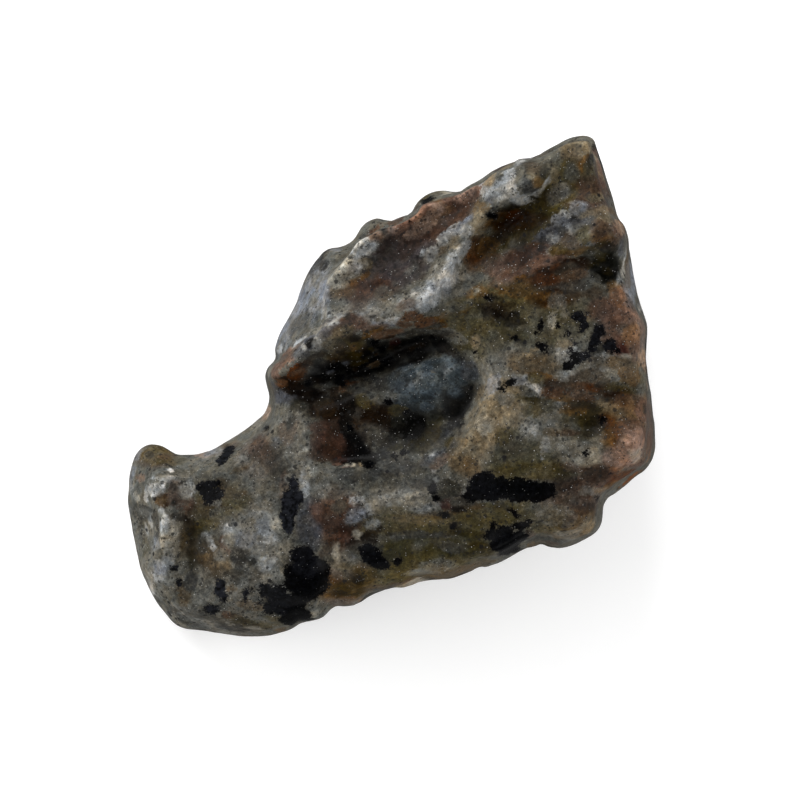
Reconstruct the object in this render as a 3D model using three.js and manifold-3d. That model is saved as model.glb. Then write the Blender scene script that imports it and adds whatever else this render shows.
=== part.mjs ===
// Carved dragon's-head stone: one solid piece of tumbled, speckled rock.
//
// The head is described in its own "profile frame" (mm): x runs to the right
// along the head's profile, y runs up it, and z is measured square to
// the head's plane of symmetry, so the left and right cheeks are z > 0 and
// z < 0.  A closed outline gives the profile, a smooth sheet gives the half
// thickness at every point of the profile, and strokes raise or sink the
// ridges, flutes, eye sockets and wrinkles on that sheet.  The surface is
// walked with a regular lattice, pulled onto the shape, then laid on its far
// cheek and given a small flat to rest on.
import * as THREE from 'three';
import { mergeVertices } from 'three/addons/utils/BufferGeometryUtils.js';
import Module from 'manifold-3d';

// ------------------------------------------------------ driving dimensions
const SCALE = 1.0;               // overall size factor (1 = 53 mm head)
const DEPTH = 1.0;               // factor on the side-to-side thickness
const EDGE_ROUNDING = 1.0;       // factor on the worn edge radii
const CREST_DEPTH = 1.0;         // factor on the thickness of forehead and crest
const CREST_BLEND = 0.9;         // fillet where the crest meets brow and horns, mm
const CHANNEL_BLEND = 1.1;       // softness of the sunk channels and hollows, mm
const UNDULATION = 1.0;          // factor on the gentle waves of tumbling
const LATTICE = 1.13;            // mesh pitch, mm
const FINEST_STROKE = 0.62;      // strokes finer than this are softened, mm
const FINEST_EDGE = 1.15;        // smallest edge radius that is modelled, mm
const HEADING_DEG = -19;         // turns the head's length onto +X
const LEAN_NOSE_DEG = -9.74;         // rest attitude: nose down about the Y axis
const LEAN_ROLL_DEG = 1.16;         // rest attitude: roll about the X axis
const REST_FLAT_DEPTH = 0.38;   // depth of the worn flat it rests on, mm
const EVEN_ROUNDS = 3;           // passes that even out creases finer than the lattice

// Profile outline: round the snout, up the brow, along the horn, down the
// back of the head and forward along the jaw.
const OUTLINE = [
  [-21.74, -8.67], [-21.71, -7.71], [-21.58, -6.86], [-21.36, -5.81], [-20.89, -5.16],
  [-20.37, -4.84], [-19.84, -4.76], [-19.08, -4.86], [-18.44, -5.14], [-17.89, -5.36],
  [-17.16, -5.37], [-16.36, -5.31], [-15.53, -5.16], [-14.55, -4.92], [-13.5, -4.51],
  [-12.56, -3.93], [-11.72, -3.23], [-10.96, -2.44], [-10.6, -1.79], [-10.39, -1.15],
  [-10.39, -0.49], [-10.56, 0.24], [-10.72, 1.01], [-10.51, 1.78], [-9.95, 2.33], [-9.8, 2.67],
  [-9.95, 3.29], [-9.74, 4.02], [-9.34, 4.9], [-8.8, 5.69], [-8.15, 6.54], [-7.57, 7.52],
  [-7.05, 8.78], [-6.53, 9.77], [-6.03, 10.6], [-5.65, 11.22], [-5.16, 11.61], [-4.59, 11.8],
  [-4.05, 12.01], [-3.47, 12.37], [-3.1, 13.04], [-2.72, 13.64], [-2.04, 14.18], [-1.18, 14.42],
  [-0.42, 14.09], [0.3, 13.72], [1.09, 13.84], [1.87, 14.34], [2.27, 14.99], [2.69, 15.49],
  [3.19, 15.9], [3.79, 16.21], [4.49, 16.4], [5.26, 16.32], [5.71, 16.64], [6.47, 16.99],
  [7.39, 17.27], [8.4, 17.81], [9.25, 18.2], [10.1, 18.55], [10.62, 18.78], [11.17, 18.81],
  [11.9, 18.93], [12.7, 19.47], [13.49, 20.06], [14.24, 20.6], [15.08, 20.92], [15.78, 21.07],
  [16.39, 20.98], [16.86, 20.62], [17.03, 19.81], [17.33, 18.71], [17.79, 17.17], [18.33, 15.52],
  [18.75, 14.08], [19.17, 13.58], [19.43, 12.89], [19.72, 12.08], [20.01, 10.8], [20.1, 9.48],
  [20.3, 8.24], [20.63, 6.96], [21.06, 5.84], [21.26, 4.92], [21.1, 3.88], [20.97, 2.58],
  [21.07, 1.59], [21.41, -0.06], [21.52, -1.27], [21.73, -2.8], [21.75, -4.08], [21.74, -5.06],
  [21.45, -6.03], [20.92, -6.67], [20.3, -7.11], [19.74, -7.62], [19.04, -8.24], [18.49, -8.73],
  [18.01, -9.06], [17.78, -9.42], [17.65, -9.84], [17.63, -10.54], [17.53, -11.21],
  [17.25, -11.84], [16.74, -12.35], [15.82, -12.74], [15.08, -13], [14.24, -13.17],
  [13.66, -13.24], [13.13, -13.09], [12.76, -12.84], [12.31, -12.77], [11.78, -13.03],
  [10.99, -13.26], [10.29, -13.71], [9.61, -14.23], [8.95, -14.64], [8.33, -14.91],
  [7.84, -15.09], [7.35, -15.07], [6.72, -15.4], [5.72, -15.7], [4.95, -15.95], [4.1, -16.03],
  [3.23, -15.87], [2.3, -15.96], [1.57, -16.29], [0.92, -16.58], [0.18, -16.64], [-0.43, -16.95],
  [-1.27, -17.23], [-1.97, -17.53], [-2.44, -17.93], [-3.07, -18.28], [-3.83, -18.2],
  [-4.56, -18.01], [-5.16, -18.34], [-5.61, -18.93], [-6.16, -19.3], [-6.86, -19.53],
  [-7.62, -19.68], [-8.34, -20.08], [-9.3, -20.38], [-10.27, -20.63], [-11.47, -20.58],
  [-12.54, -20.54], [-13.86, -20.51], [-15.06, -20.4], [-16.28, -20.32], [-17.18, -20.2],
  [-17.92, -19.82], [-18.5, -19.22], [-19.04, -18.46], [-19.67, -17.47], [-20.21, -16.29],
  [-20.61, -15.06], [-20.92, -13.54], [-21.29, -12.05], [-21.59, -10.46], [-21.77, -9.48],
];

// Side outline of the head with its horns: the profile without the crest.
const HEAD_LOOP = [
  [-21.74, -8.67], [-21.71, -7.71], [-21.58, -6.86], [-21.36, -5.81], [-20.89, -5.16],
  [-20.37, -4.84], [-19.84, -4.76], [-19.08, -4.86], [-18.44, -5.14], [-17.89, -5.36],
  [-17.16, -5.37], [-16.36, -5.31], [-15.53, -5.16], [-14.55, -4.92], [-13.5, -4.51],
  [-12.56, -3.93], [-11.72, -3.23], [-10.96, -2.44], [-10.6, -1.79], [-10.39, -1.15],
  [-10.39, -0.49], [-10.56, 0.24], [-10.72, 1.01], [-10.51, 1.78], [-9.95, 2.33], [-9.33, 2.67],
  [-8.5, 3.29], [-7.66, 3.92], [-6.91, 4.5], [-6.25, 5], [-5.79, 5.58], [-5.79, 6.41],
  [-5.96, 7.5], [-5.93, 8.58], [-5.33, 9.5], [-4.62, 10.33], [-3.92, 11.2], [-3.33, 12.04],
  [-2.67, 12.58], [-1.92, 12.93], [-1, 13.41], [0.19, 13.7], [1.92, 14.3], [2.58, 15.08],
  [3.64, 15.54], [4.5, 15.96], [5.35, 16.32], [6.47, 16.99], [7.39, 17.27], [8.4, 17.81],
  [9.25, 18.2], [10.1, 18.55], [10.62, 18.78], [11.17, 18.81], [11.9, 18.93], [12.7, 19.47],
  [13.49, 20.06], [14.24, 20.6], [15.08, 20.92], [15.78, 21.07], [16.39, 20.98], [16.86, 20.62],
  [17.03, 19.81], [17.33, 18.71], [17.79, 17.17], [18.33, 15.52], [18.75, 14.08], [19.17, 13.58],
  [19.43, 12.89], [19.72, 12.08], [20.01, 10.8], [20.1, 9.48], [20.3, 8.24], [20.63, 6.96],
  [21.06, 5.84], [21.26, 4.92], [21.1, 3.88], [20.97, 2.58], [21.07, 1.59], [21.41, -0.06],
  [21.52, -1.27], [21.73, -2.8], [21.75, -4.08], [21.74, -5.06], [21.45, -6.03], [20.92, -6.67],
  [20.3, -7.11], [19.74, -7.62], [19.04, -8.24], [18.49, -8.73], [18.01, -9.06], [17.78, -9.42],
  [17.65, -9.84], [17.63, -10.54], [17.53, -11.21], [17.25, -11.84], [16.74, -12.35],
  [15.82, -12.74], [15.08, -13], [14.24, -13.17], [13.66, -13.24], [13.13, -13.09],
  [12.76, -12.84], [12.31, -12.77], [11.78, -13.03], [10.99, -13.26], [10.29, -13.71],
  [9.61, -14.23], [8.95, -14.64], [8.33, -14.91], [7.84, -15.09], [7.35, -15.07], [6.72, -15.4],
  [5.72, -15.7], [4.95, -15.95], [4.1, -16.03], [3.23, -15.87], [2.3, -15.96], [1.57, -16.29],
  [0.92, -16.58], [0.18, -16.64], [-0.43, -16.95], [-1.27, -17.23], [-1.97, -17.53],
  [-2.44, -17.93], [-3.07, -18.28], [-3.83, -18.2], [-4.56, -18.01], [-5.16, -18.34],
  [-5.61, -18.93], [-6.16, -19.3], [-6.86, -19.53], [-7.62, -19.68], [-8.34, -20.08],
  [-9.3, -20.38], [-10.27, -20.63], [-11.47, -20.58], [-12.54, -20.54], [-13.86, -20.51],
  [-15.06, -20.4], [-16.28, -20.32], [-17.18, -20.2], [-17.92, -19.82], [-18.5, -19.22],
  [-19.04, -18.46], [-19.67, -17.47], [-20.21, -16.29], [-20.61, -15.06], [-20.92, -13.54],
  [-21.29, -12.05], [-21.59, -10.46], [-21.77, -9.48],
];

// Side outline of the forehead and the knobbed crest between the horns.
const CREST_LOOP = [
  [-9.8, 2.67], [-9.95, 3.29], [-9.74, 4.02], [-9.34, 4.9], [-8.8, 5.69], [-8.15, 6.54],
  [-7.57, 7.52], [-7.05, 8.78], [-6.53, 9.77], [-6.03, 10.6], [-5.65, 11.22], [-5.16, 11.61],
  [-4.59, 11.8], [-4.05, 12.01], [-3.47, 12.37], [-3.1, 13.04], [-2.72, 13.64], [-2.04, 14.18],
  [-1.18, 14.42], [-0.42, 14.09], [0.3, 13.72], [1.09, 13.84], [1.87, 14.34], [2.27, 14.99],
  [2.69, 15.49], [3.19, 15.9], [3.79, 16.21], [4.49, 16.4], [5.26, 16.32], [5.96, 16.34],
  [6.75, 16.74], [7.58, 17.16], [8.5, 17.49], [9.33, 17.95], [10.16, 18.33], [11, 18.49],
  [11.83, 18.66], [12.83, 19.41], [13.99, 19.99], [15.16, 20.37], [15.91, 20.08], [16.33, 18.99],
  [16.49, 17.16], [13.99, 13.16], [7.33, 9], [0.67, 5.66], [-3.92, 3.58], [-6.83, 1.83],
  [-8.91, 1.67],
];

// Half thickness of the head [x, y, half] over cheek, snout, brow and horns.
const FACE_HALF = [
  [-20.16, -5.58, 3.33], [-20.33, -8.08, 4.17], [-18.91, -7.83, 5.33], [-21.24, -11, 3.17],
  [-20.16, -11.41, 3.92], [-18.91, -11, 5.58], [-20.16, -14.33, 4.17], [-19.08, -15.58, 5.16],
  [-19.74, -17.24, 3.83], [-18.33, -18.08, 4.17], [-17.24, -7.25, 4.33], [-14.74, -6.83, 4.5],
  [-12.66, -5.33, 4.66], [-11.33, -3.33, 4.83], [-15.99, -9.33, 5.5], [-16.41, -12.25, 5.08],
  [-16.83, -14.74, 5], [-13.49, -9.75, 6.08], [-13.08, -13.08, 6.16], [-13.91, -15.99, 5.66],
  [-15.58, -18.08, 5], [-12.66, -18.91, 5], [-9.75, -18.49, 5.33], [-16.83, -19.49, 3.67],
  [-12.66, -20.33, 3.33], [-10.58, -14.33, 6.5], [-9.75, -9.33, 6.66], [-10.83, -6, 6.33],
  [-8.5, -19.33, 5], [-7.66, -5.58, 7.5], [-7.41, -8.5, 7.33], [-8.08, -11.83, 6.83],
  [-7.66, -15.58, 6.66], [-6, -17.66, 6.16], [-10, -1, 5.16], [-8.91, -1.42, 6.33],
  [-7.83, -2.25, 7.16], [-9.75, -3.5, 6.16], [-10, 1.08, 5.16], [-8.91, 1.67, 6.66],
  [-7.25, 2.67, 7.83], [-4.75, 4, 8.66], [-1.83, 5, 9], [1.5, 5.91, 9.16], [4.83, 6.83, 9.33],
  [-7.66, 0, 6.66], [-6, 0.25, 6.66], [-3.5, 0.83, 6.66], [-0.58, 2.17, 6.83],
  [2.33, 3.33, 7.33], [4.83, 4.17, 8], [6.5, 3.58, 8.66], [-6.16, -2.67, 6.58],
  [-3.92, -1.83, 6.41], [-5.16, -5.16, 6.66], [-2.25, -4.33, 6.5], [0.25, -4.33, 6.66],
  [2.75, -4.33, 7.08], [-1, -1, 6.66], [3.17, 0.33, 7.16], [6.66, 0.25, 7.66],
  [5.83, -2.25, 7.5], [4.83, -4.33, 7.66], [-3.5, -7.25, 7.66], [-0.17, -7.5, 7.91],
  [3.17, -7.25, 8.16], [-6, -7.66, 7.5], [-3.5, -10.16, 7.91], [-0.17, -10.16, 8.25],
  [4, -9.75, 8.66], [-5.16, -13.08, 7.33], [-1, -13.49, 7.66], [3.17, -13.49, 8],
  [-3.5, -16.41, 6.66], [0.67, -15.58, 7.16], [6.5, -13.91, 7.66], [8.33, 0.25, 9.66],
  [7.16, -2.67, 9], [5.83, -5.58, 8.83], [9.83, -2.67, 10.33], [12.74, -1, 10.66],
  [13.99, -4.33, 10.83], [10.66, -6, 10.16], [9, 3.58, 9.83], [6.5, 4.83, 9.33],
  [12.33, 4, 10.5], [16.49, 3.17, 10.58], [18.99, 0.25, 10.16], [19.83, -2.25, 9.83],
  [20.33, -4.83, 9.83], [17.33, -5.16, 10.5], [17.33, -7.66, 9.5], [19.16, -6.83, 9],
  [8.16, -8.5, 9.33], [12.33, -8.91, 9.66], [15.24, -9.75, 9.5], [16.49, -11, 8.66],
  [13.99, -11.83, 8.66], [10.66, -12.25, 8.66], [8.58, -13.49, 7.83], [20.66, 4.83, 8.83],
  [20.66, 1.92, 9.33], [19.41, 6.5, 9.5], [-4.33, 9.83, 7.16], [-3.92, 7.33, 8],
  [-5.16, 7.33, 7], [-2.25, 11.91, 7.66], [0.25, 13.33, 8.16], [3.17, 14.99, 8.66],
  [6.08, 16.33, 9.16], [9, 17.83, 9.5], [12.33, 19.16, 9.66], [15.49, 20.24, 9], [-1.83, 9, 8],
  [0.67, 10.25, 8.25], [3.17, 12.33, 8.58], [6.08, 14.41, 9.08], [-1, 6.91, 8.66],
  [2.33, 7.33, 9.33], [5, 10.5, 9.58], [7.5, 13.99, 10], [10.25, 16.91, 10.5],
  [12.74, 18.16, 10.33], [6.5, 9.83, 9], [9.83, 12.74, 9.25], [13.16, 15.24, 9.66],
  [16.49, 16.91, 9.66], [17.33, 15.24, 9.83], [9, 8.33, 10], [13.16, 10, 10.58],
  [16.08, 12.33, 10.91], [18.33, 13.16, 10.66], [17.33, 10, 9.83], [13.99, 7.33, 10.16],
  [16.49, 7.33, 10.08], [18.58, 8.58, 9.33],
];

// Half thickness of the forehead and of the crest that runs between the horns.
const CREST_HALF = [
  [-9.58, 3.17, 4.83], [-9.08, 4.17, 4.66], [-8.08, 6.08, 4.83], [-7, 8.16, 4.33],
  [-6.16, 9.66, 3.83], [-5.33, 11, 3], [-3.92, 11.5, 2.17], [-2.67, 12.99, 2.17],
  [-1.17, 13.66, 2.33], [0.67, 13.83, 2], [2.75, 15.24, 2.17], [4, 15.99, 2.33], [6.5, 16.33, 2],
  [10.25, 18.33, 2.17], [13.99, 19.66, 2.17], [16.08, 18.99, 2], [-7.66, 4.41, 6.16],
  [-6.41, 5.83, 6.33], [-5.16, 6.91, 6.33], [-4.75, 8.16, 5.83], [-3.92, 10.5, 3.67],
  [-1.83, 10.66, 3.33], [2.33, 12.33, 3.33], [9, 15.66, 3.33], [0.67, 5.66, 5],
  [13.99, 13.16, 3.33],
];

// Rounded knobs along the crest [x, y, radius, height].
const CREST_KNOBS = [
  [-5.16, 11.33, 1.17, 0.75], [-1.08, 13.83, 1.25, 0.75], [4.08, 16.08, 1.33, 0.75],
  [10.25, 18.33, 1.33, 0.75], [15.24, 19.83, 1.17, 0.67],
];

// Radius of the worn edge of the head, by place.
const HEAD_RADIUS = [
  [-20.16, -4.66, 2.5], [-21.99, -9.33, 2.5], [-20.99, -15.16, 2.33], [-17.16, -19.99, 2.5],
  [-11.41, -20.66, 2.17], [-7.66, -19.49, 1.83], [-3.92, -18.08, 1.83], [0.25, -16.58, 1.67],
  [4, -15.91, 1.67], [7.75, -14.83, 1.67], [10.25, -13.74, 1.67], [12.33, -12.91, 1.67],
  [13.99, -13.24, 2.17], [17.33, -11, 2], [17.74, -9.33, 1.83], [20.66, -7, 2.5],
  [21.91, -4.33, 2.5], [21.41, -0.17, 1.33], [21.16, 3.58, 1.25], [21.16, 5.25, 1.25],
  [20.33, 8.16, 1.25], [19.66, 11.91, 1.33], [18.83, 14.08, 1.33], [18.16, 16.49, 1.17],
  [17.08, 19.83, 1.08], [16.33, 20.91, 0.92], [13.41, 20.16, 0.5], [10.66, 19.16, 0.42],
  [7.33, 17.41, 0.37], [5.33, 16.41, 0.33], [2.58, 15.08, 0.37], [0.17, 13.99, 0.37],
  [-2.67, 12.58, 0.42], [-4.66, 10.33, 0.67], [-6, 8.16, 0.92], [-5.83, 5.83, 0.75],
  [-6.91, 4.5, 0.83], [-8.5, 3.33, 0.92], [-9.66, 2.5, 1.17], [-10.33, 1, 1.67], [-10.25, -1, 2],
  [-12.66, -3.75, 2.17], [-15.58, -5.25, 2.33], [-17.66, -5.58, 2.17],
];

// Radius of the worn edge of forehead and crest, by place.
const CREST_RADIUS = [
  [-9.66, 3.17, 2], [-8.91, 5.25, 2.17], [-7.66, 8, 2.17], [-6.41, 10.5, 1.83],
  [-5.16, 11.66, 1.33], [-3.92, 12, 1.17], [-2.5, 13.49, 1.33], [-1, 14.16, 1.5],
  [0.67, 14.16, 1.17], [2.33, 15.58, 1.33], [4.08, 16.49, 1.5], [6.5, 16.66, 1.17],
  [10.25, 18.66, 1.33], [13.99, 19.99, 1.33], [16.16, 18.99, 1.5], [13.99, 13.16, 1.67],
  [0.67, 5.66, 1.67],
];

// Ridges (height > 0) and furrows (height < 0): [half width, [x, y, height]...].
const STROKES = [
  [1.08, [[-10.16, 1, 0.583], [-8.91, 2.17, 1], [-7.25, 3.42, 0.916], [-4.75, 4.58, 0.75],
    [-1.83, 5.25, 0.666], [1.5, 6.25, 0.583], [4.83, 7.08, 0.416], [7.33, 7.33, 0]]],
  [0.92, [[-10.5, 0.83, 0.666], [-9.5, 1.17, 0.75], [-8.33, 1.67, 0.5]]],
  [1.08, [[-8.66, -0.17, -0.416], [-7.25, -0.5, -0.833], [-5.16, 0, -1.166],
    [-3.33, 1, -1.416], [-0.58, 2.5, -1.499], [1.92, 3.67, -1.25], [4.41, 4.17, -0.75],
    [6.33, 3.58, -0.25]]],
  [0.92, [[-7.83, -2, 0.333], [-7.16, -3.67, 0.5], [-7.16, -5.58, 0.5], [-6.66, -7, 0.416]]],
  [0.75, [[-6.16, -6.83, 0.25], [-4.33, -7.16, 0.416], [-2.83, -7.08, 0.5],
    [-1.33, -7.16, 0.333]]],
  [0.75, [[-5.83, -5.66, -0.25], [-4.17, -5.91, -0.416], [-2.5, -5.75, -0.416],
    [-1.17, -5.58, -0.25]]],
  [0.83, [[-0.58, -7, 0.25], [1.5, -6.66, 0.333], [3.42, -6, 0.5], [4.83, -5, 0.416],
    [6.33, -3.5, 0.167]]],
  [0.67, [[-0.75, 0, -0.167], [0, 1.42, -0.333], [1.5, 2.17, -0.416], [3.33, 2.83, -0.416],
    [5, 2.92, -0.416], [6.33, 2.17, -0.5], [7.16, 0.83, -0.5], [7, -0.67, -0.5],
    [5.83, -2, -0.333], [3.67, -2.5, -0.167]]],
  [0.83, [[7.5, 2.33, 0.333], [8.33, 0.5, 0.583], [7.83, -1.17, 0.666], [6.83, -3.08, 0.666],
    [5.66, -5.16, 0.583], [4.66, -7.25, 0.25]]],
  [0.83, [[6.33, 3, -0.25], [7.16, 0.5, -0.5], [6.5, -1.67, -0.666], [5.16, -3.83, -0.583],
    [4, -5.66, -0.333]]],
  [0.92, [[1.33, 6.83, 0.333], [2.75, 7.91, 0.666], [4.41, 9.83, 0.666], [5.66, 11.75, 0.583],
    [7.16, 13.66, 0.666], [8.75, 15.16, 0.666], [10.66, 16.49, 0.75], [12.33, 17.66, 0.583],
    [13.99, 18.58, 0.25]]],
  [0.75, [[3, 11.5, 0.25], [4.66, 12.66, 0.5], [6.66, 14.08, 0.5], [8.16, 15.08, 0.25]]],
  [1.33, [[-3.5, 8, -0.333], [-1.42, 9.83, -0.666], [0.67, 11.5, -0.75], [3.17, 13.33, -0.75],
    [5.83, 15.24, -0.666], [8.16, 16.49, -0.333]]],
  [1.33, [[5.25, 8.16, -0.416], [7.16, 10.83, -1], [9.41, 13.33, -1.25], [11.91, 15.24, -1],
    [14.41, 16.49, -0.583], [16.49, 17.74, -0.25]]],
  [0.83, [[2.33, 9.16, -0.25], [3.83, 11, -0.416], [5.5, 12.66, -0.333]]],
  [1, [[5.25, 7.33, 0.25], [9, 8.66, 0.583], [12.33, 10, 0.666], [15.24, 11.83, 0.75],
    [17.33, 13.24, 0.833], [18.83, 13.24, 0.666]]],
  [0.83, [[12.33, 13.33, 0.333], [13.99, 14.41, 0.416], [15.83, 14.91, 0.333],
    [17.66, 14.58, 0.25]]],
  [1.17, [[12.74, 8.33, -0.25], [15.24, 9.41, -0.666], [17.16, 10, -1.083],
    [18.33, 10, -0.916]]],
  [0.67, [[15.91, 20.16, 0.416], [15.83, 18.99, 0.5], [15.99, 17.74, 0.416],
    [16.66, 16.08, 0.167]]],
  [1, [[17.33, 18.99, -0.833], [17.83, 16.91, -0.75], [18.33, 15.24, -0.416]]],
  [0.83, [[19.49, 11.5, -2.166], [19.66, 9.83, -2.499], [19.99, 8.16, -2.332],
    [20.66, 6.83, -1.499], [21.07, 5.83, -0.666]]],
  [0.75, [[21.49, 1.08, -0.833], [21.66, -0.58, -1], [21.82, -2.25, -0.666]]],
  [1.33, [[19.99, 4.41, 0.583], [20.16, 3, 0.416]]],
  [1.5, [[19.83, -4.33, 1], [20.33, -5.58, 0.916]]],
  [1, [[19.16, -0.58, -0.5], [20.66, -1, -0.666]]],
  [1, [[17.33, -8.66, -0.75], [18.49, -8.33, -0.75]]],
  [1.25, [[15.24, -11, 0.666], [16.33, -11.41, 0.583]]],
  [1, [[12.74, -12.49, -0.666], [11.91, -11.83, -0.5]]],
  [0.92, [[-20.16, -8, 0.333], [-19.08, -7.66, 0.666], [-17.99, -8, 0.416]]],
  [1.17, [[-17.16, -9.33, -0.333], [-16.58, -11.41, -0.666], [-16.58, -14.33, -0.666],
    [-16.33, -16.41, -0.333]]],
  [0.75, [[-19.33, -9.75, 0.416], [-18.83, -11.41, 0.666], [-19.08, -13.08, 0.5],
    [-19.66, -14.49, 0.333]]],
  [0.83, [[-20.82, -10.33, -0.416], [-20.41, -11.66, -0.833], [-20.58, -13.33, -0.666]]],
  [0.83, [[-19.33, -15.58, 0.333], [-18.49, -16.99, 0.416], [-17.99, -17.83, 0.25]]],
  [1, [[-11.83, -11, 0.333], [-10.83, -13.08, 0.416], [-10.33, -15.58, 0.25]]],
  [1, [[-14.33, -11, -0.25], [-14.16, -13.49, -0.416], [-13.91, -15.99, -0.25]]],
  [0.92, [[-7.66, -9.33, -0.416], [-6.83, -11.83, -0.5], [-6.5, -14.33, -0.416]]],
  [0.5, [[-18.91, -18.16, -0.167], [-17.66, -18.66, -0.333], [-15.99, -19.49, -0.5],
    [-14.16, -19.99, -0.416], [-12, -20.24, -0.333], [-10.33, -20.16, -0.083]]],
  [0.5, [[-18.66, -17.58, 0.167], [-17.24, -18.16, 0.333], [-15.83, -18.91, 0.333],
    [-13.99, -19.41, 0.333], [-12, -19.66, 0.167]]],
  [0.83, [[-16.83, -7.5, 0.25], [-14.49, -7.16, 0.416], [-12.66, -5.83, 0.416],
    [-11.41, -4.33, 0.416], [-10.83, -2.67, 0.25]]],
  [1.33, [[-5.16, -8.83, 0.333], [-1, -9, 0.416], [3.17, -8.83, 0.416], [6.5, -8.33, 0.25]]],
  [1.17, [[-4.33, -11.83, -0.333], [0.67, -12.33, -0.416], [5.66, -12, -0.416],
    [9, -11, -0.25]]],
  [1.17, [[10.66, -1, -0.416], [13.16, -1.67, -0.5], [16.08, -3, -0.666],
    [17.66, -2.67, -0.416]]],
  [1, [[9.41, 4.83, -0.333], [11.5, 3, -0.416], [12.99, 1.33, -0.25]]],
  [1, [[13.99, 2.75, 0.333], [17.33, 1.33, 0.416], [19.41, 1.08, 0.25]]],
];

// Eyeball and soft swellings or dips [x, y, rx, ry, turn, height].
const MOUNDS = [
  [3.17, 0.33, 3.83, 2.08, 14, 1], [-5.83, -4.33, 2.17, 1.83, 0, 0.416],
  [11.33, 16.99, 1.5, 1.08, 35, 0.666], [8.16, 16.49, 1.25, 0.83, 20, 0.333],
  [7.16, -2.83, 1.33, 2.83, -25, 0.333], [13.16, -3.5, 5, 2.83, 20, 0.333],
  [13.99, 2.75, 3.67, 2.33, -10, 0.25], [-12.99, -13.99, 2.5, 2.17, 0, 0.333],
  [-3.92, -9.75, 2.83, 1.33, 5, 0.333], [2.33, -9.75, 4.17, 1.5, 8, 0.25],
  [10.25, -9.91, 3.33, 1.17, 0, 0.25], [-2.67, -14.33, 3.33, 1.5, 20, 0.333],
  [18.16, 4.83, 2, 2.17, 0, -0.25], [16.33, -2.25, 2, 2.17, 0, -0.416],
  [0.5, -3.67, 2.83, 1.5, 12, -0.333], [-3.92, 10, 1.33, 0.83, 30, 0.333],
  [3.58, -13.49, 3.33, 1.17, 12, 0.333], [9, -13.08, 1.67, 1.17, 0, 0.333],
];

// Channel sunk between the crest and each horn [x, y, |z|, radius].
const CHANNELS = [
  [[-4.5, 11.5, 4.17, 0.67], [-1.67, 13.49, 4.83, 1.17], [2.33, 15.66, 5.16, 1.58],
    [7.33, 17.99, 5.33, 1.83], [12.33, 20.08, 5.5, 1.92], [16.66, 21.66, 5.66, 2],
    [20.66, 23.16, 5.83, 2.17]],
];

// Shallow hollows of the back of the head and under the jaw [x, y, |z|, radius].
const HOLLOWS = [
  [[-5.16, -20.33, 0, 2], [0.67, -18.49, 0, 2.33], [7.33, -16.83, 0, 2.5],
    [12.33, -15.33, 0, 2.17]],
  [[22.32, 11.5, 0, 2.5], [23.66, 7.33, 0, 2.83], [24.66, 2.33, 0, 2.83],
    [24.82, -2.67, 0, 2.17]],
  [[-15.58, -3, 0, 1.83], [-13.08, -1.67, 0, 1.5]],
];

// Slow waves of the tumbled skin [height, kx, ky, kz, phase].
const WAVES = [
  [0.1, -0.529, -0.209, -0.054, 5.8], [0.1, -0.754, -0.037, -0.052, 3.69],
  [0.085, -0.797, -0.06, -0.65, 3.96], [0.07, 0.899, 0.604, 0.783, 1.91],
  [0.055, 0.339, -0.861, -1.319, 4.35], [0.065, 0.472, -0.053, -1.086, 6.06],
];


// ------------------------------------------------------------ curve helpers
function spline(points, steps, closed) {
  const n = points.length, dim = points[0].length, out = [];
  const at = (i) => {
    if (closed) return points[(i + n) % n];
    if (i < 0) return points[0].map((v, k) => 2 * v - points[1][k]);
    if (i >= n) return points[n - 1].map((v, k) => 2 * v - points[n - 2][k]);
    return points[i];
  };
  for (let i = 0; i < (closed ? n : n - 1); i++) {
    const [a, b, c, d] = [at(i - 1), at(i), at(i + 1), at(i + 2)];
    for (let s = 0; s < steps; s++) {
      const t = s / steps, p = [];
      for (let k = 0; k < dim; k++) {
        p.push(0.5 * (2 * b[k] + (c[k] - a[k]) * t
          + (2 * a[k] - 5 * b[k] + 4 * c[k] - d[k]) * t * t
          + (3 * b[k] - a[k] - 3 * c[k] + d[k]) * t * t * t));
      }
      out.push(p);
    }
  }
  if (!closed) out.push(points[n - 1].slice());
  return out;
}

// Distance from (x, y) to a polyline and the place on it that is nearest.
function nearest(x, y, line, closed) {
  const n = line.length, last = closed ? n : n - 1;
  let best = Infinity, where = 0;
  for (let i = 0; i < last; i++) {
    const a = line[i], b = line[(i + 1) % n];
    const dx = b[0] - a[0], dy = b[1] - a[1];
    let t = ((x - a[0]) * dx + (y - a[1]) * dy) / Math.max(dx * dx + dy * dy, 1e-12);
    t = t < 0 ? 0 : t > 1 ? 1 : t;
    const qx = a[0] + t * dx - x, qy = a[1] + t * dy - y, d = qx * qx + qy * qy;
    if (d < best) { best = d; where = i + t; }
  }
  return [Math.sqrt(best), where];
}

function isInside(x, y, loop) {
  let odd = false;
  for (let i = 0, n = loop.length; i < n; i++) {
    const a = loop[i], b = loop[(i + 1) % n];
    if ((a[1] > y) !== (b[1] > y)
      && x < ((b[0] - a[0]) * (y - a[1])) / (b[1] - a[1]) + a[0]) odd = !odd;
  }
  return odd;
}

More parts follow.
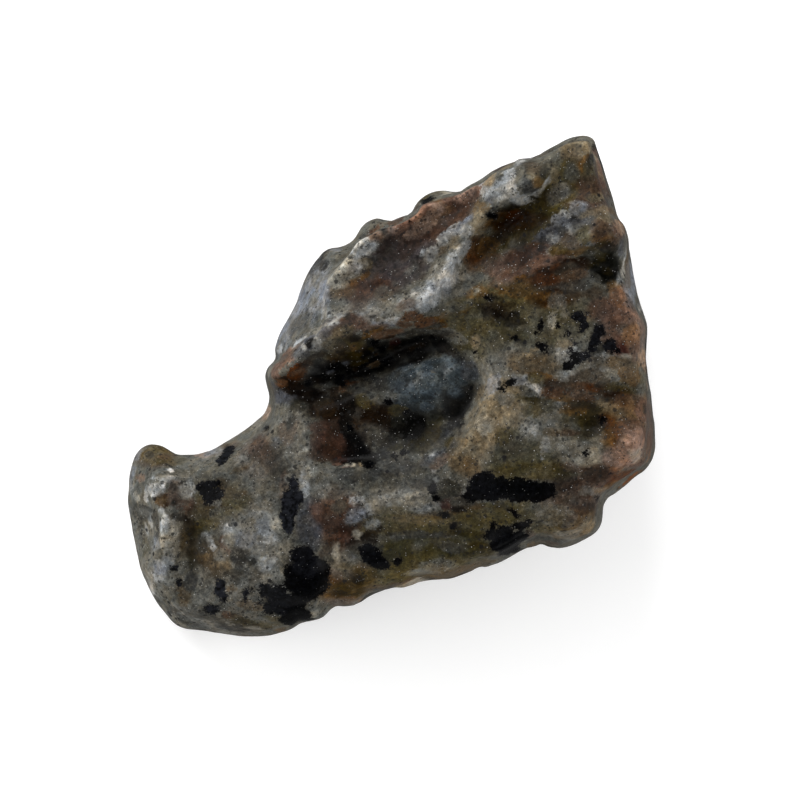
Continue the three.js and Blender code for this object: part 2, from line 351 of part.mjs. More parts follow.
// Thin-plate sheet through scattered [x, y, value] samples.
function sheet(samples, stiffness) {
  const n = samples.length, m = n + 3, UNIT = 8;
  const kernel = (r2) => (r2 > 1e-18 ? 0.5 * r2 * Math.log(r2) : 0);
  const A = Array.from({ length: m }, () => new Float64Array(m + 1));
  for (let i = 0; i < n; i++) {
    const xi = samples[i][0] / UNIT, yi = samples[i][1] / UNIT;
    for (let j = 0; j < n; j++) {
      const dx = xi - samples[j][0] / UNIT, dy = yi - samples[j][1] / UNIT;
      A[i][j] = kernel(dx * dx + dy * dy) + (i === j ? stiffness : 0);
    }
    A[i][n] = A[n][i] = 1;
    A[i][n + 1] = A[n + 1][i] = xi;
    A[i][n + 2] = A[n + 2][i] = yi;
    A[i][m] = samples[i][2];
  }
  for (let c = 0; c < m; c++) {
    let p = c;
    for (let r = c + 1; r < m; r++) if (Math.abs(A[r][c]) > Math.abs(A[p][c])) p = r;
    [A[c], A[p]] = [A[p], A[c]];
    for (let r = c + 1; r < m; r++) {
      const f = A[r][c] / A[c][c];
      if (f !== 0) for (let k = c; k <= m; k++) A[r][k] -= f * A[c][k];
    }
  }
  const w = new Float64Array(m);
  for (let r = m - 1; r >= 0; r--) {
    let v = A[r][m];
    for (let k = r + 1; k < m; k++) v -= A[r][k] * w[k];
    w[r] = v / A[r][r];
  }
  return (x, y) => {
    const u = x / UNIT, v = y / UNIT;
    let s = w[n] + w[n + 1] * u + w[n + 2] * v;
    for (let i = 0; i < n; i++) {
      const dx = u - samples[i][0] / UNIT, dy = v - samples[i][1] / UNIT;
      s += w[i] * kernel(dx * dx + dy * dy);
    }
    return s;
  };
}

const clamp = (v, lo, hi) => (v < lo ? lo : v > hi ? hi : v);
const smooth = (t) => { const c = clamp(t, 0, 1); return c * c * (3 - 2 * c); };
// Larger of two distances with the corner between them rounded by k.
const softMax = (a, b, k) => {
  const h = Math.max(k - Math.abs(a - b), 0) / k;
  return Math.max(a, b) + h * h * k * 0.25;
};

// ------------------------------------------------------------ the head shape
const outline = spline(OUTLINE, 4, true);
const headLoop = spline(HEAD_LOOP, 4, true);
const crestLoop = spline(CREST_LOOP, 4, true);
const faceHalf = sheet(FACE_HALF, 0.02);
const crestHalf = sheet(CREST_HALF, 0.02);
const headRadius = sheet(HEAD_RADIUS, 0.05);
const crestRadius = sheet(CREST_RADIUS, 0.05);
const strokes = STROKES.map(([fine, points]) => {
  const width = Math.hypot(fine, FINEST_STROKE);
  const line = spline(points.map(([x, y, h]) => [x, y, h * fine / width]), 5, false);
  const box = [Infinity, Infinity, -Infinity, -Infinity];
  for (const p of line) {
    box[0] = Math.min(box[0], p[0] - 3 * width); box[1] = Math.min(box[1], p[1] - 3 * width);
    box[2] = Math.max(box[2], p[0] + 3 * width); box[3] = Math.max(box[3], p[1] + 3 * width);
  }
  return { width, line, box };
});

// Distance in from a closed loop, negative outside it.
function depthIn(x, y, loop) {
  const [d] = nearest(x, y, loop, true);
  return isInside(x, y, loop) ? d : -d;
}

// Everything that depends only on the place on the profile: for the head with
// its horns, and for the forehead with the crest, the distance in from the
// edge, the half thickness and the radius of the worn edge.
function section(x, y) {
  let half = faceHalf(x, y);
  for (const s of strokes) {
    if (x < s.box[0] || y < s.box[1] || x > s.box[2] || y > s.box[3]) continue;
    const [r, at] = nearest(x, y, s.line, false);
    const i = Math.min(Math.floor(at), s.line.length - 2), f = at - i;
    const height = s.line[i][2] * (1 - f) + s.line[i + 1][2] * f;
    half += height * Math.exp(-((r / s.width) ** 2));
  }
  for (const [mx, my, rx, ry, deg, height] of MOUNDS) {
    const c = Math.cos(deg * Math.PI / 180), n = Math.sin(deg * Math.PI / 180);
    const u = ((x - mx) * c + (y - my) * n) / rx, v = ((y - my) * c - (x - mx) * n) / ry;
    half += height * Math.exp(-1.5 * (u * u + v * v) ** 1.5);
  }
  let crest = clamp(crestHalf(x, y), 1.1, 9);
  for (const [kx, ky, r, height] of CREST_KNOBS) {
    crest += height * Math.exp(-((x - kx) ** 2 + (y - ky) ** 2) / (r * r));
  }
  return {
    head: [depthIn(x, y, headLoop), clamp(half, 1.5, 12.5) * DEPTH,
      clamp(headRadius(x, y), FINEST_EDGE, 4) * EDGE_ROUNDING],
    crest: [depthIn(x, y, crestLoop), crest * DEPTH * CREST_DEPTH,
      clamp(crestRadius(x, y), FINEST_EDGE, 3.2) * EDGE_ROUNDING],
  };
}

// Gentle waves left by tumbling, the same on no two parts of the surface.
function waves(x, y, z) {
  let s = 0;
  for (const [a, kx, ky, kz, phase] of WAVES) s += a * Math.sin(kx * x + ky * y + kz * z + phase);
  return s * UNDULATION;
}

// A slab with worn edges: distance to it from height z above the mid-plane.
function slabDistance(z, [d, half, round]) {
  const v = z / half, u = Math.max(0, 1 - d / round);
  const rho = Math.hypot(u, v);
  if (rho < 0.02) return -half;
  return Math.max((rho - 1) * rho / Math.hypot(u / round, v / half), -4);
}

// Distance to a chain of tapering round rods [x, y, z, radius].
function rodDistance(x, y, z, rods) {
  let best = Infinity;
  for (let i = 0; i + 1 < rods.length; i++) {
    const a = rods[i], b = rods[i + 1];
    const bx = b[0] - a[0], by = b[1] - a[1], bz = b[2] - a[2];
    const t = clamp(((x - a[0]) * bx + (y - a[1]) * by + (z - a[2]) * bz)
      / (bx * bx + by * by + bz * bz), 0, 1);
    best = Math.min(best, Math.hypot(x - a[0] - t * bx, y - a[1] - t * by, z - a[2] - t * bz)
      - (a[3] + (b[3] - a[3]) * t));
  }
  return best;
}

// Approximate signed distance to the whole stone, negative inside.
function distance(x, y, z, sec) {
  const az = Math.abs(z);
  let f = slabDistance(az, sec.head);
  for (const rods of CHANNELS) f = softMax(f, -rodDistance(x, y, az, rods), CHANNEL_BLEND);
  f = -softMax(-f, -slabDistance(az, sec.crest), CREST_BLEND);
  for (const rods of HOLLOWS) f = softMax(f, -rodDistance(x, y, az, rods), CHANNEL_BLEND);
  return f - waves(x, y, z);
}
const field = (x, y, z) => distance(x, y, z, section(x, y));

// ------------------------------------------------------ lattice to surface
function surface(pitch) {
  const lo = [Infinity, Infinity], hi = [-Infinity, -Infinity];
  for (const [x, y] of outline) {
    lo[0] = Math.min(lo[0], x); lo[1] = Math.min(lo[1], y);
    hi[0] = Math.max(hi[0], x); hi[1] = Math.max(hi[1], y);
  }
  const reach = 13.2 * DEPTH, start = [lo[0] - 1.9, lo[1] - 1.9, -reach];
  const n = [Math.ceil((hi[0] - lo[0] + 3.8) / pitch) + 1,
    Math.ceil((hi[1] - lo[1] + 3.8) / pitch) + 1, Math.ceil(2 * reach / pitch) + 1];
  const at = (i, j, k) => (i * n[1] + j) * n[2] + k;
  const value = new Float64Array(n[0] * n[1] * n[2]);
  for (let i = 0; i < n[0]; i++) for (let j = 0; j < n[1]; j++) {
    const x = start[0] + i * pitch, y = start[1] + j * pitch, sec = section(x, y);
    for (let k = 0; k < n[2]; k++) value[at(i, j, k)] = distance(x, y, start[2] + k * pitch, sec);
  }
  // One surface point for every separate sheet that crosses a cell.
  const sheetOf = new Int32Array(value.length * 12).fill(-1), verts = [];
  const corner = [0, 0, 0], crossing = new Array(12), point = new Array(12), group = new Array(12);
  const root = (e) => (group[e] === e ? e : (group[e] = root(group[e])));
  for (let i = 0; i < n[0] - 1; i++) for (let j = 0; j < n[1] - 1; j++) for (let k = 0; k < n[2] - 1; k++) {
    const node = (c) => value[at(i + c[0], j + c[1], k + c[2])];
    let any = false;
    for (let e = 0; e < 12; e++) {
      const axis = e >> 2;
      corner[axis] = 0; corner[(axis + 1) % 3] = e & 1; corner[(axis + 2) % 3] = (e >> 1) & 1;
      const a = node(corner), p = corner.slice();
      corner[axis] = 1;
      const b = node(corner);
      crossing[e] = (a < 0) !== (b < 0);
      if (crossing[e]) { p[axis] = a / (a - b); point[e] = p; any = true; }
      group[e] = e;
    }
    if (!any) continue;
    for (let f = 0; f < 3; f++) for (let s = 0; s < 2; s++) {
      const a = (f + 1) % 3, b = (f + 2) % 3;
      const along = [a * 4 + 2 * s, a * 4 + 1 + 2 * s], across = [b * 4 + s, b * 4 + s + 2];
      const cut = [...along, ...across].filter((e) => crossing[e]);
      if (cut.length === 2) group[root(cut[0])] = root(cut[1]);
      if (cut.length === 4) {
        for (let ca = 0; ca < 2; ca++) for (let cb = 0; cb < 2; cb++) {
          corner[f] = s; corner[a] = ca; corner[b] = cb;
          if (node(corner) < 0) group[root(along[cb])] = root(across[ca]);
        }
      }
    }
    const made = new Map();
    for (let e = 0; e < 12; e++) {
      if (!crossing[e]) continue;
      const g = root(e);
      if (!made.has(g)) made.set(g, []);
      made.get(g).push(e);
    }
    for (const edges of made.values()) {
      const mean = [0, 0, 0];
      for (const e of edges) {
        for (let m = 0; m < 3; m++) mean[m] += point[e][m] / edges.length;
        sheetOf[at(i, j, k) * 12 + e] = verts.length;
      }
      verts.push([start[0] + (i + mean[0]) * pitch, start[1] + (j + mean[1]) * pitch,
        start[2] + (k + mean[2]) * pitch]);
    }
  }
  const quads = [];
  for (let i = 1; i < n[0] - 1; i++) for (let j = 1; j < n[1] - 1; j++) for (let k = 1; k < n[2] - 1; k++) {
    const here = value[at(i, j, k)] < 0;
    for (let axis = 0; axis < 3; axis++) {
      const step = [0, 0, 0]; step[axis] = 1;
      if (here === (value[at(i + step[0], j + step[1], k + step[2])] < 0)) continue;
      const u = [0, 0, 0], v = [0, 0, 0]; u[(axis + 1) % 3] = 1; v[(axis + 2) % 3] = 1;
      const c = (a, b) => sheetOf[at(i - a * u[0] - b * v[0], j - a * u[1] - b * v[1],
        k - a * u[2] - b * v[2]) * 12 + axis * 4 + a + 2 * b];
      const q = [c(1, 1), c(0, 1), c(0, 0), c(1, 0)];
      quads.push(here ? q : q.reverse());
    }
  }
  settle(verts, quads);
  return triangles(verts, quads);
}

// Slides the lattice points along the surface to even the mesh out and pulls
// them back onto it.
function settle(verts, quads) {
  const near = verts.map(() => new Set());
  for (const q of quads) for (let e = 0; e < 4; e++) {
    near[q[e]].add(q[(e + 1) % 4]); near[q[(e + 1) % 4]].add(q[e]);
  }
  const h = 0.05;
  const pull = (p) => {
    const f = field(p[0], p[1], p[2]);
    const g = [field(p[0] + h, p[1], p[2]) - f, field(p[0], p[1] + h, p[2]) - f,
      field(p[0], p[1], p[2] + h) - f].map((v) => v / h);
    const slope = Math.sqrt(Math.max(g[0] * g[0] + g[1] * g[1] + g[2] * g[2], 0.04));
    const step = clamp(f / slope, -0.3, 0.3);
    for (let m = 0; m < 3; m++) p[m] -= step * g[m] / slope;
    return g.map((v) => v / slope);
  };
  for (let round = 0; round < 7; round++) {
    const normals = verts.map(pull);
    if (round > 3) continue;
    const moved = verts.map((p, i) => {
      const mean = [0, 0, 0];
      for (const o of near[i]) for (let m = 0; m < 3; m++) mean[m] += verts[o][m] / near[i].size;
      const d = mean.map((v, m) => v - p[m]);
      const out = d[0] * normals[i][0] + d[1] * normals[i][1] + d[2] * normals[i][2];
      return p.map((v, m) => v + 0.5 * (d[m] - out * normals[i][m]));
    });
    moved.forEach((p, i) => { verts[i] = p; });
  }
  // The worn look of a tumbled stone: creases finer than the lattice are evened out.
  for (let pass = 0; pass < 2 * EVEN_ROUNDS; pass++) {
    const share = pass % 2 ? -0.52 : 0.5;
    const moved = verts.map((p, i) => {
      const mean = [0, 0, 0];
      for (const o of near[i]) for (let m = 0; m < 3; m++) mean[m] += verts[o][m] / near[i].size;
      return p.map((v, m) => v + share * (mean[m] - v));
    });
    moved.forEach((p, i) => { verts[i] = p; });
  }
}

// Splits each four-sided patch along its shorter diagonal.
function triangles(verts, quads) {
  const positions = new Float32Array(verts.length * 3);
  verts.forEach((p, i) => positions.set(p, i * 3));
  const gap = (a, b) => Math.hypot(...verts[a].map((v, m) => v - verts[b][m]));
  const index = [];
  for (const [a, b, c, d] of quads) {
    if (gap(a, c) <= gap(b, d)) index.push(a, b, c, a, c, d);
    else index.push(a, b, d, b, c, d);
  }
  const geometry = new THREE.BufferGeometry();
  geometry.setAttribute('position', new THREE.BufferAttribute(positions, 3));
  geometry.setIndex(index);
  return geometry;
}

// -------------------------------------------------------------- laid to rest
const head = surface(LATTICE);
head.rotateZ(HEADING_DEG * Math.PI / 180);
head.rotateY(LEAN_NOSE_DEG * Math.PI / 180);
head.rotateX(LEAN_ROLL_DEG * Math.PI / 180);
head.scale(SCALE, SCALE, SCALE);
head.computeBoundingBox();
head.translate(0, 0, -head.boundingBox.min.z - REST_FLAT_DEPTH * SCALE);

const wasm = await Module();
wasm.setup();
const solid = (geometry) => new wasm.Manifold(new wasm.Mesh({
  numProp: 3,
  vertProperties: Float32Array.from(geometry.attributes.position.array),
  triVerts: Uint32Array.from(geometry.index.array),
}));
const slabSource = new THREE.BoxGeometry(120 * SCALE, 120 * SCALE, 10 * SCALE);
slabSource.deleteAttribute('normal');
slabSource.deleteAttribute('uv');
const slab = mergeVertices(slabSource, 1e-4);
slab.translate(0, 0, -5 * SCALE);
const cut = solid(head).subtract(solid(slab)).getMesh();

const stone = new THREE.BufferGeometry();
const xyz = new Float32Array(cut.numVert * 3);
for (let i = 0; i < cut.numVert; i++) {
  for (let m = 0; m < 3; m++) xyz[3 * i + m] = cut.vertProperties[i * cut.numProp + m];
}
stone.setAttribute('position', new THREE.BufferAttribute(xyz, 3));
stone.setIndex(Array.from(cut.triVerts));
stone.computeBoundingBox();
const box = stone.boundingBox;
stone.translate(-(box.min.x + box.max.x) / 2, -(box.min.y + box.max.y) / 2, 0);
stone.computeVertexNormals();

const material = new THREE.MeshStandardMaterial({ color: 0x5a564e, roughness: 0.45, metalness: 0 });
const mesh = new THREE.Mesh(stone, material);
mesh.name = 'carved_head';

const part = new THREE.Group();
part.name = 'dragon_head_stone';
part.add(mesh);
export default part;
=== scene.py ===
import math

import bpy
import numpy as np
from mathutils import Matrix, Vector


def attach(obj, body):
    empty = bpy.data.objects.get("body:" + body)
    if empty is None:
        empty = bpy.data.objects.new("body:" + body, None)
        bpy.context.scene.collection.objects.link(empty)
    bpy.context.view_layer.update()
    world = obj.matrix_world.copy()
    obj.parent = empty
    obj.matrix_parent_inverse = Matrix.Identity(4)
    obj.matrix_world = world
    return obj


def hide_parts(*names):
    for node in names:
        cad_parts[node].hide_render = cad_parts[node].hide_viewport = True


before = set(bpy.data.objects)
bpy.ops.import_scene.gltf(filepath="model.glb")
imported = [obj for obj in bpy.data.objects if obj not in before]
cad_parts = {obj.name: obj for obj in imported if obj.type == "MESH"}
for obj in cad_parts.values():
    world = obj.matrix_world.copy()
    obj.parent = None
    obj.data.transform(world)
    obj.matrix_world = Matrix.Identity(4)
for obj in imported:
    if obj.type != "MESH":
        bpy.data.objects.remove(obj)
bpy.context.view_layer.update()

# ---------------------------------------------------------------- dimensions
PITCH = 0.272   # lattice of the visible mesh, mm
GRID = 0.08                             # grid of the profile look-up, mm
HEADING_DEG, LEAN_NOSE_DEG, LEAN_ROLL_DEG = -19, -9.74, 1.16
SHIFT = (0.6257, 1.2491, 9.2983)       # profile frame to row frame, mm
CREST_BLEND, CHANNEL_BLEND = 0.9, 1.1

# ------------------------------------------- the sculpted head, profile frame
# Profile outline: round the snout, up the brow, along the horn, down the
# back of the head and forward along the jaw.
OUTLINE = [
  [-21.74, -8.67], [-21.71, -7.71], [-21.58, -6.86], [-21.36, -5.81], [-20.89, -5.16],
  [-20.37, -4.84], [-19.84, -4.76], [-19.08, -4.86], [-18.44, -5.14], [-17.89, -5.36],
  [-17.16, -5.37], [-16.36, -5.31], [-15.53, -5.16], [-14.55, -4.92], [-13.5, -4.51],
  [-12.56, -3.93], [-11.72, -3.23], [-10.96, -2.44], [-10.6, -1.79], [-10.39, -1.15],
  [-10.39, -0.49], [-10.56, 0.24], [-10.72, 1.01], [-10.51, 1.78], [-9.95, 2.33], [-9.8, 2.67],
  [-9.95, 3.29], [-9.74, 4.02], [-9.34, 4.9], [-8.8, 5.69], [-8.15, 6.54], [-7.57, 7.52],
  [-7.05, 8.78], [-6.53, 9.77], [-6.03, 10.6], [-5.65, 11.22], [-5.16, 11.61], [-4.59, 11.8],
  [-4.05, 12.01], [-3.47, 12.37], [-3.1, 13.04], [-2.72, 13.64], [-2.04, 14.18], [-1.18, 14.42],
  [-0.42, 14.09], [0.3, 13.72], [1.09, 13.84], [1.87, 14.34], [2.27, 14.99], [2.69, 15.49],
  [3.19, 15.9], [3.79, 16.21], [4.49, 16.4], [5.26, 16.32], [5.71, 16.64], [6.47, 16.99],
  [7.39, 17.27], [8.4, 17.81], [9.25, 18.2], [10.1, 18.55], [10.62, 18.78], [11.17, 18.81],
  [11.9, 18.93], [12.7, 19.47], [13.49, 20.06], [14.24, 20.6], [15.08, 20.92], [15.78, 21.07],
  [16.39, 20.98], [16.86, 20.62], [17.03, 19.81], [17.33, 18.71], [17.79, 17.17], [18.33, 15.52],
  [18.75, 14.08], [19.17, 13.58], [19.43, 12.89], [19.72, 12.08], [20.01, 10.8], [20.1, 9.48],
  [20.3, 8.24], [20.63, 6.96], [21.06, 5.84], [21.26, 4.92], [21.1, 3.88], [20.97, 2.58],
  [21.07, 1.59], [21.41, -0.06], [21.52, -1.27], [21.73, -2.8], [21.75, -4.08], [21.74, -5.06],
  [21.45, -6.03], [20.92, -6.67], [20.3, -7.11], [19.74, -7.62], [19.04, -8.24], [18.49, -8.73],
  [18.01, -9.06], [17.78, -9.42], [17.65, -9.84], [17.63, -10.54], [17.53, -11.21],
  [17.25, -11.84], [16.74, -12.35], [15.82, -12.74], [15.08, -13], [14.24, -13.17],
  [13.66, -13.24], [13.13, -13.09], [12.76, -12.84], [12.31, -12.77], [11.78, -13.03],
  [10.99, -13.26], [10.29, -13.71], [9.61, -14.23], [8.95, -14.64], [8.33, -14.91],
  [7.84, -15.09], [7.35, -15.07], [6.72, -15.4], [5.72, -15.7], [4.95, -15.95], [4.1, -16.03],
  [3.23, -15.87], [2.3, -15.96], [1.57, -16.29], [0.92, -16.58], [0.18, -16.64], [-0.43, -16.95],
  [-1.27, -17.23], [-1.97, -17.53], [-2.44, -17.93], [-3.07, -18.28], [-3.83, -18.2],
  [-4.56, -18.01], [-5.16, -18.34], [-5.61, -18.93], [-6.16, -19.3], [-6.86, -19.53],
  [-7.62, -19.68], [-8.34, -20.08], [-9.3, -20.38], [-10.27, -20.63], [-11.47, -20.58],
  [-12.54, -20.54], [-13.86, -20.51], [-15.06, -20.4], [-16.28, -20.32], [-17.18, -20.2],
  [-17.92, -19.82], [-18.5, -19.22], [-19.04, -18.46], [-19.67, -17.47], [-20.21, -16.29],
  [-20.61, -15.06], [-20.92, -13.54], [-21.29, -12.05], [-21.59, -10.46], [-21.77, -9.48],
]

# Side outline of the head with its horns: the profile without the crest.
HEAD_LOOP = [
  [-21.74, -8.67], [-21.71, -7.71], [-21.58, -6.86], [-21.36, -5.81], [-20.89, -5.16],
  [-20.37, -4.84], [-19.84, -4.76], [-19.08, -4.86], [-18.44, -5.14], [-17.89, -5.36],
  [-17.16, -5.37], [-16.36, -5.31], [-15.53, -5.16], [-14.55, -4.92], [-13.5, -4.51],
  [-12.56, -3.93], [-11.72, -3.23], [-10.96, -2.44], [-10.6, -1.79], [-10.39, -1.15],
  [-10.39, -0.49], [-10.56, 0.24], [-10.72, 1.01], [-10.51, 1.78], [-9.95, 2.33], [-9.33, 2.67],
  [-8.5, 3.29], [-7.66, 3.92], [-6.91, 4.5], [-6.25, 5], [-5.79, 5.58], [-5.79, 6.41],
  [-5.96, 7.5], [-5.93, 8.58], [-5.33, 9.5], [-4.62, 10.33], [-3.92, 11.2], [-3.33, 12.04],
  [-2.67, 12.58], [-1.92, 12.93], [-1, 13.41], [0.19, 13.7], [1.92, 14.3], [2.58, 15.08],
  [3.64, 15.54], [4.5, 15.96], [5.35, 16.32], [6.47, 16.99], [7.39, 17.27], [8.4, 17.81],
  [9.25, 18.2], [10.1, 18.55], [10.62, 18.78], [11.17, 18.81], [11.9, 18.93], [12.7, 19.47],
  [13.49, 20.06], [14.24, 20.6], [15.08, 20.92], [15.78, 21.07], [16.39, 20.98], [16.86, 20.62],
  [17.03, 19.81], [17.33, 18.71], [17.79, 17.17], [18.33, 15.52], [18.75, 14.08], [19.17, 13.58],
  [19.43, 12.89], [19.72, 12.08], [20.01, 10.8], [20.1, 9.48], [20.3, 8.24], [20.63, 6.96],
  [21.06, 5.84], [21.26, 4.92], [21.1, 3.88], [20.97, 2.58], [21.07, 1.59], [21.41, -0.06],
  [21.52, -1.27], [21.73, -2.8], [21.75, -4.08], [21.74, -5.06], [21.45, -6.03], [20.92, -6.67],
  [20.3, -7.11], [19.74, -7.62], [19.04, -8.24], [18.49, -8.73], [18.01, -9.06], [17.78, -9.42],
  [17.65, -9.84], [17.63, -10.54], [17.53, -11.21], [17.25, -11.84], [16.74, -12.35],
  [15.82, -12.74], [15.08, -13], [14.24, -13.17], [13.66, -13.24], [13.13, -13.09],
  [12.76, -12.84], [12.31, -12.77], [11.78, -13.03], [10.99, -13.26], [10.29, -13.71],
  [9.61, -14.23], [8.95, -14.64], [8.33, -14.91], [7.84, -15.09], [7.35, -15.07], [6.72, -15.4],
  [5.72, -15.7], [4.95, -15.95], [4.1, -16.03], [3.23, -15.87], [2.3, -15.96], [1.57, -16.29],
  [0.92, -16.58], [0.18, -16.64], [-0.43, -16.95], [-1.27, -17.23], [-1.97, -17.53],
  [-2.44, -17.93], [-3.07, -18.28], [-3.83, -18.2], [-4.56, -18.01], [-5.16, -18.34],
  [-5.61, -18.93], [-6.16, -19.3], [-6.86, -19.53], [-7.62, -19.68], [-8.34, -20.08],
  [-9.3, -20.38], [-10.27, -20.63], [-11.47, -20.58], [-12.54, -20.54], [-13.86, -20.51],
  [-15.06, -20.4], [-16.28, -20.32], [-17.18, -20.2], [-17.92, -19.82], [-18.5, -19.22],
  [-19.04, -18.46], [-19.67, -17.47], [-20.21, -16.29], [-20.61, -15.06], [-20.92, -13.54],
  [-21.29, -12.05], [-21.59, -10.46], [-21.77, -9.48],
]

# Side outline of the forehead and the knobbed crest between the horns.
CREST_LOOP = [
  [-9.8, 2.67], [-9.95, 3.29], [-9.74, 4.02], [-9.34, 4.9], [-8.8, 5.69], [-8.15, 6.54],
  [-7.57, 7.52], [-7.05, 8.78], [-6.53, 9.77], [-6.03, 10.6], [-5.65, 11.22], [-5.16, 11.61],
  [-4.59, 11.8], [-4.05, 12.01], [-3.47, 12.37], [-3.1, 13.04], [-2.72, 13.64], [-2.04, 14.18],
  [-1.18, 14.42], [-0.42, 14.09], [0.3, 13.72], [1.09, 13.84], [1.87, 14.34], [2.27, 14.99],
  [2.69, 15.49], [3.19, 15.9], [3.79, 16.21], [4.49, 16.4], [5.26, 16.32], [5.96, 16.34],
  [6.75, 16.74], [7.58, 17.16], [8.5, 17.49], [9.33, 17.95], [10.16, 18.33], [11, 18.49],
  [11.83, 18.66], [12.83, 19.41], [13.99, 19.99], [15.16, 20.37], [15.91, 20.08], [16.33, 18.99],
  [16.49, 17.16], [13.99, 13.16], [7.33, 9], [0.67, 5.66], [-3.92, 3.58], [-6.83, 1.83],
  [-8.91, 1.67],
]

# Half thickness of the head [x, y, half] over cheek, snout, brow and horns.
FACE_HALF = [
  [-20.16, -5.58, 3.33], [-20.33, -8.08, 4.17], [-18.91, -7.83, 5.33], [-21.24, -11, 3.17],
  [-20.16, -11.41, 3.92], [-18.91, -11, 5.58], [-20.16, -14.33, 4.17], [-19.08, -15.58, 5.16],
  [-19.74, -17.24, 3.83], [-18.33, -18.08, 4.17], [-17.24, -7.25, 4.33], [-14.74, -6.83, 4.5],
  [-12.66, -5.33, 4.66], [-11.33, -3.33, 4.83], [-15.99, -9.33, 5.5], [-16.41, -12.25, 5.08],
  [-16.83, -14.74, 5], [-13.49, -9.75, 6.08], [-13.08, -13.08, 6.16], [-13.91, -15.99, 5.66],
  [-15.58, -18.08, 5], [-12.66, -18.91, 5], [-9.75, -18.49, 5.33], [-16.83, -19.49, 3.67],
  [-12.66, -20.33, 3.33], [-10.58, -14.33, 6.5], [-9.75, -9.33, 6.66], [-10.83, -6, 6.33],
  [-8.5, -19.33, 5], [-7.66, -5.58, 7.5], [-7.41, -8.5, 7.33], [-8.08, -11.83, 6.83],
  [-7.66, -15.58, 6.66], [-6, -17.66, 6.16], [-10, -1, 5.16], [-8.91, -1.42, 6.33],
  [-7.83, -2.25, 7.16], [-9.75, -3.5, 6.16], [-10, 1.08, 5.16], [-8.91, 1.67, 6.66],
  [-7.25, 2.67, 7.83], [-4.75, 4, 8.66], [-1.83, 5, 9], [1.5, 5.91, 9.16], [4.83, 6.83, 9.33],
  [-7.66, 0, 6.66], [-6, 0.25, 6.66], [-3.5, 0.83, 6.66], [-0.58, 2.17, 6.83],
  [2.33, 3.33, 7.33], [4.83, 4.17, 8], [6.5, 3.58, 8.66], [-6.16, -2.67, 6.58],
  [-3.92, -1.83, 6.41], [-5.16, -5.16, 6.66], [-2.25, -4.33, 6.5], [0.25, -4.33, 6.66],
  [2.75, -4.33, 7.08], [-1, -1, 6.66], [3.17, 0.33, 7.16], [6.66, 0.25, 7.66],
  [5.83, -2.25, 7.5], [4.83, -4.33, 7.66], [-3.5, -7.25, 7.66], [-0.17, -7.5, 7.91],
  [3.17, -7.25, 8.16], [-6, -7.66, 7.5], [-3.5, -10.16, 7.91], [-0.17, -10.16, 8.25],
  [4, -9.75, 8.66], [-5.16, -13.08, 7.33], [-1, -13.49, 7.66], [3.17, -13.49, 8],
  [-3.5, -16.41, 6.66], [0.67, -15.58, 7.16], [6.5, -13.91, 7.66], [8.33, 0.25, 9.66],
  [7.16, -2.67, 9], [5.83, -5.58, 8.83], [9.83, -2.67, 10.33], [12.74, -1, 10.66],
  [13.99, -4.33, 10.83], [10.66, -6, 10.16], [9, 3.58, 9.83], [6.5, 4.83, 9.33],
  [12.33, 4, 10.5], [16.49, 3.17, 10.58], [18.99, 0.25, 10.16], [19.83, -2.25, 9.83],
  [20.33, -4.83, 9.83], [17.33, -5.16, 10.5], [17.33, -7.66, 9.5], [19.16, -6.83, 9],
  [8.16, -8.5, 9.33], [12.33, -8.91, 9.66], [15.24, -9.75, 9.5], [16.49, -11, 8.66],
  [13.99, -11.83, 8.66], [10.66, -12.25, 8.66], [8.58, -13.49, 7.83], [20.66, 4.83, 8.83],
  [20.66, 1.92, 9.33], [19.41, 6.5, 9.5], [-4.33, 9.83, 7.16], [-3.92, 7.33, 8],
  [-5.16, 7.33, 7], [-2.25, 11.91, 7.66], [0.25, 13.33, 8.16], [3.17, 14.99, 8.66],
  [6.08, 16.33, 9.16], [9, 17.83, 9.5], [12.33, 19.16, 9.66], [15.49, 20.24, 9], [-1.83, 9, 8],
  [0.67, 10.25, 8.25], [3.17, 12.33, 8.58], [6.08, 14.41, 9.08], [-1, 6.91, 8.66],
  [2.33, 7.33, 9.33], [5, 10.5, 9.58], [7.5, 13.99, 10], [10.25, 16.91, 10.5],
  [12.74, 18.16, 10.33], [6.5, 9.83, 9], [9.83, 12.74, 9.25], [13.16, 15.24, 9.66],
  [16.49, 16.91, 9.66], [17.33, 15.24, 9.83], [9, 8.33, 10], [13.16, 10, 10.58],
  [16.08, 12.33, 10.91], [18.33, 13.16, 10.66], [17.33, 10, 9.83], [13.99, 7.33, 10.16],
  [16.49, 7.33, 10.08], [18.58, 8.58, 9.33],
]

# Half thickness of the forehead and of the crest that runs between the horns.
CREST_HALF = [
  [-9.58, 3.17, 4.83], [-9.08, 4.17, 4.66], [-8.08, 6.08, 4.83], [-7, 8.16, 4.33],
  [-6.16, 9.66, 3.83], [-5.33, 11, 3], [-3.92, 11.5, 2.17], [-2.67, 12.99, 2.17],
  [-1.17, 13.66, 2.33], [0.67, 13.83, 2], [2.75, 15.24, 2.17], [4, 15.99, 2.33], [6.5, 16.33, 2],
  [10.25, 18.33, 2.17], [13.99, 19.66, 2.17], [16.08, 18.99, 2], [-7.66, 4.41, 6.16],
  [-6.41, 5.83, 6.33], [-5.16, 6.91, 6.33], [-4.75, 8.16, 5.83], [-3.92, 10.5, 3.67],
  [-1.83, 10.66, 3.33], [2.33, 12.33, 3.33], [9, 15.66, 3.33], [0.67, 5.66, 5],
  [13.99, 13.16, 3.33],
]

# Rounded knobs along the crest [x, y, radius, height].
CREST_KNOBS = [
  [-5.16, 11.33, 1.17, 0.75], [-1.08, 13.83, 1.25, 0.75], [4.08, 16.08, 1.33, 0.75],
  [10.25, 18.33, 1.33, 0.75], [15.24, 19.83, 1.17, 0.67],
]

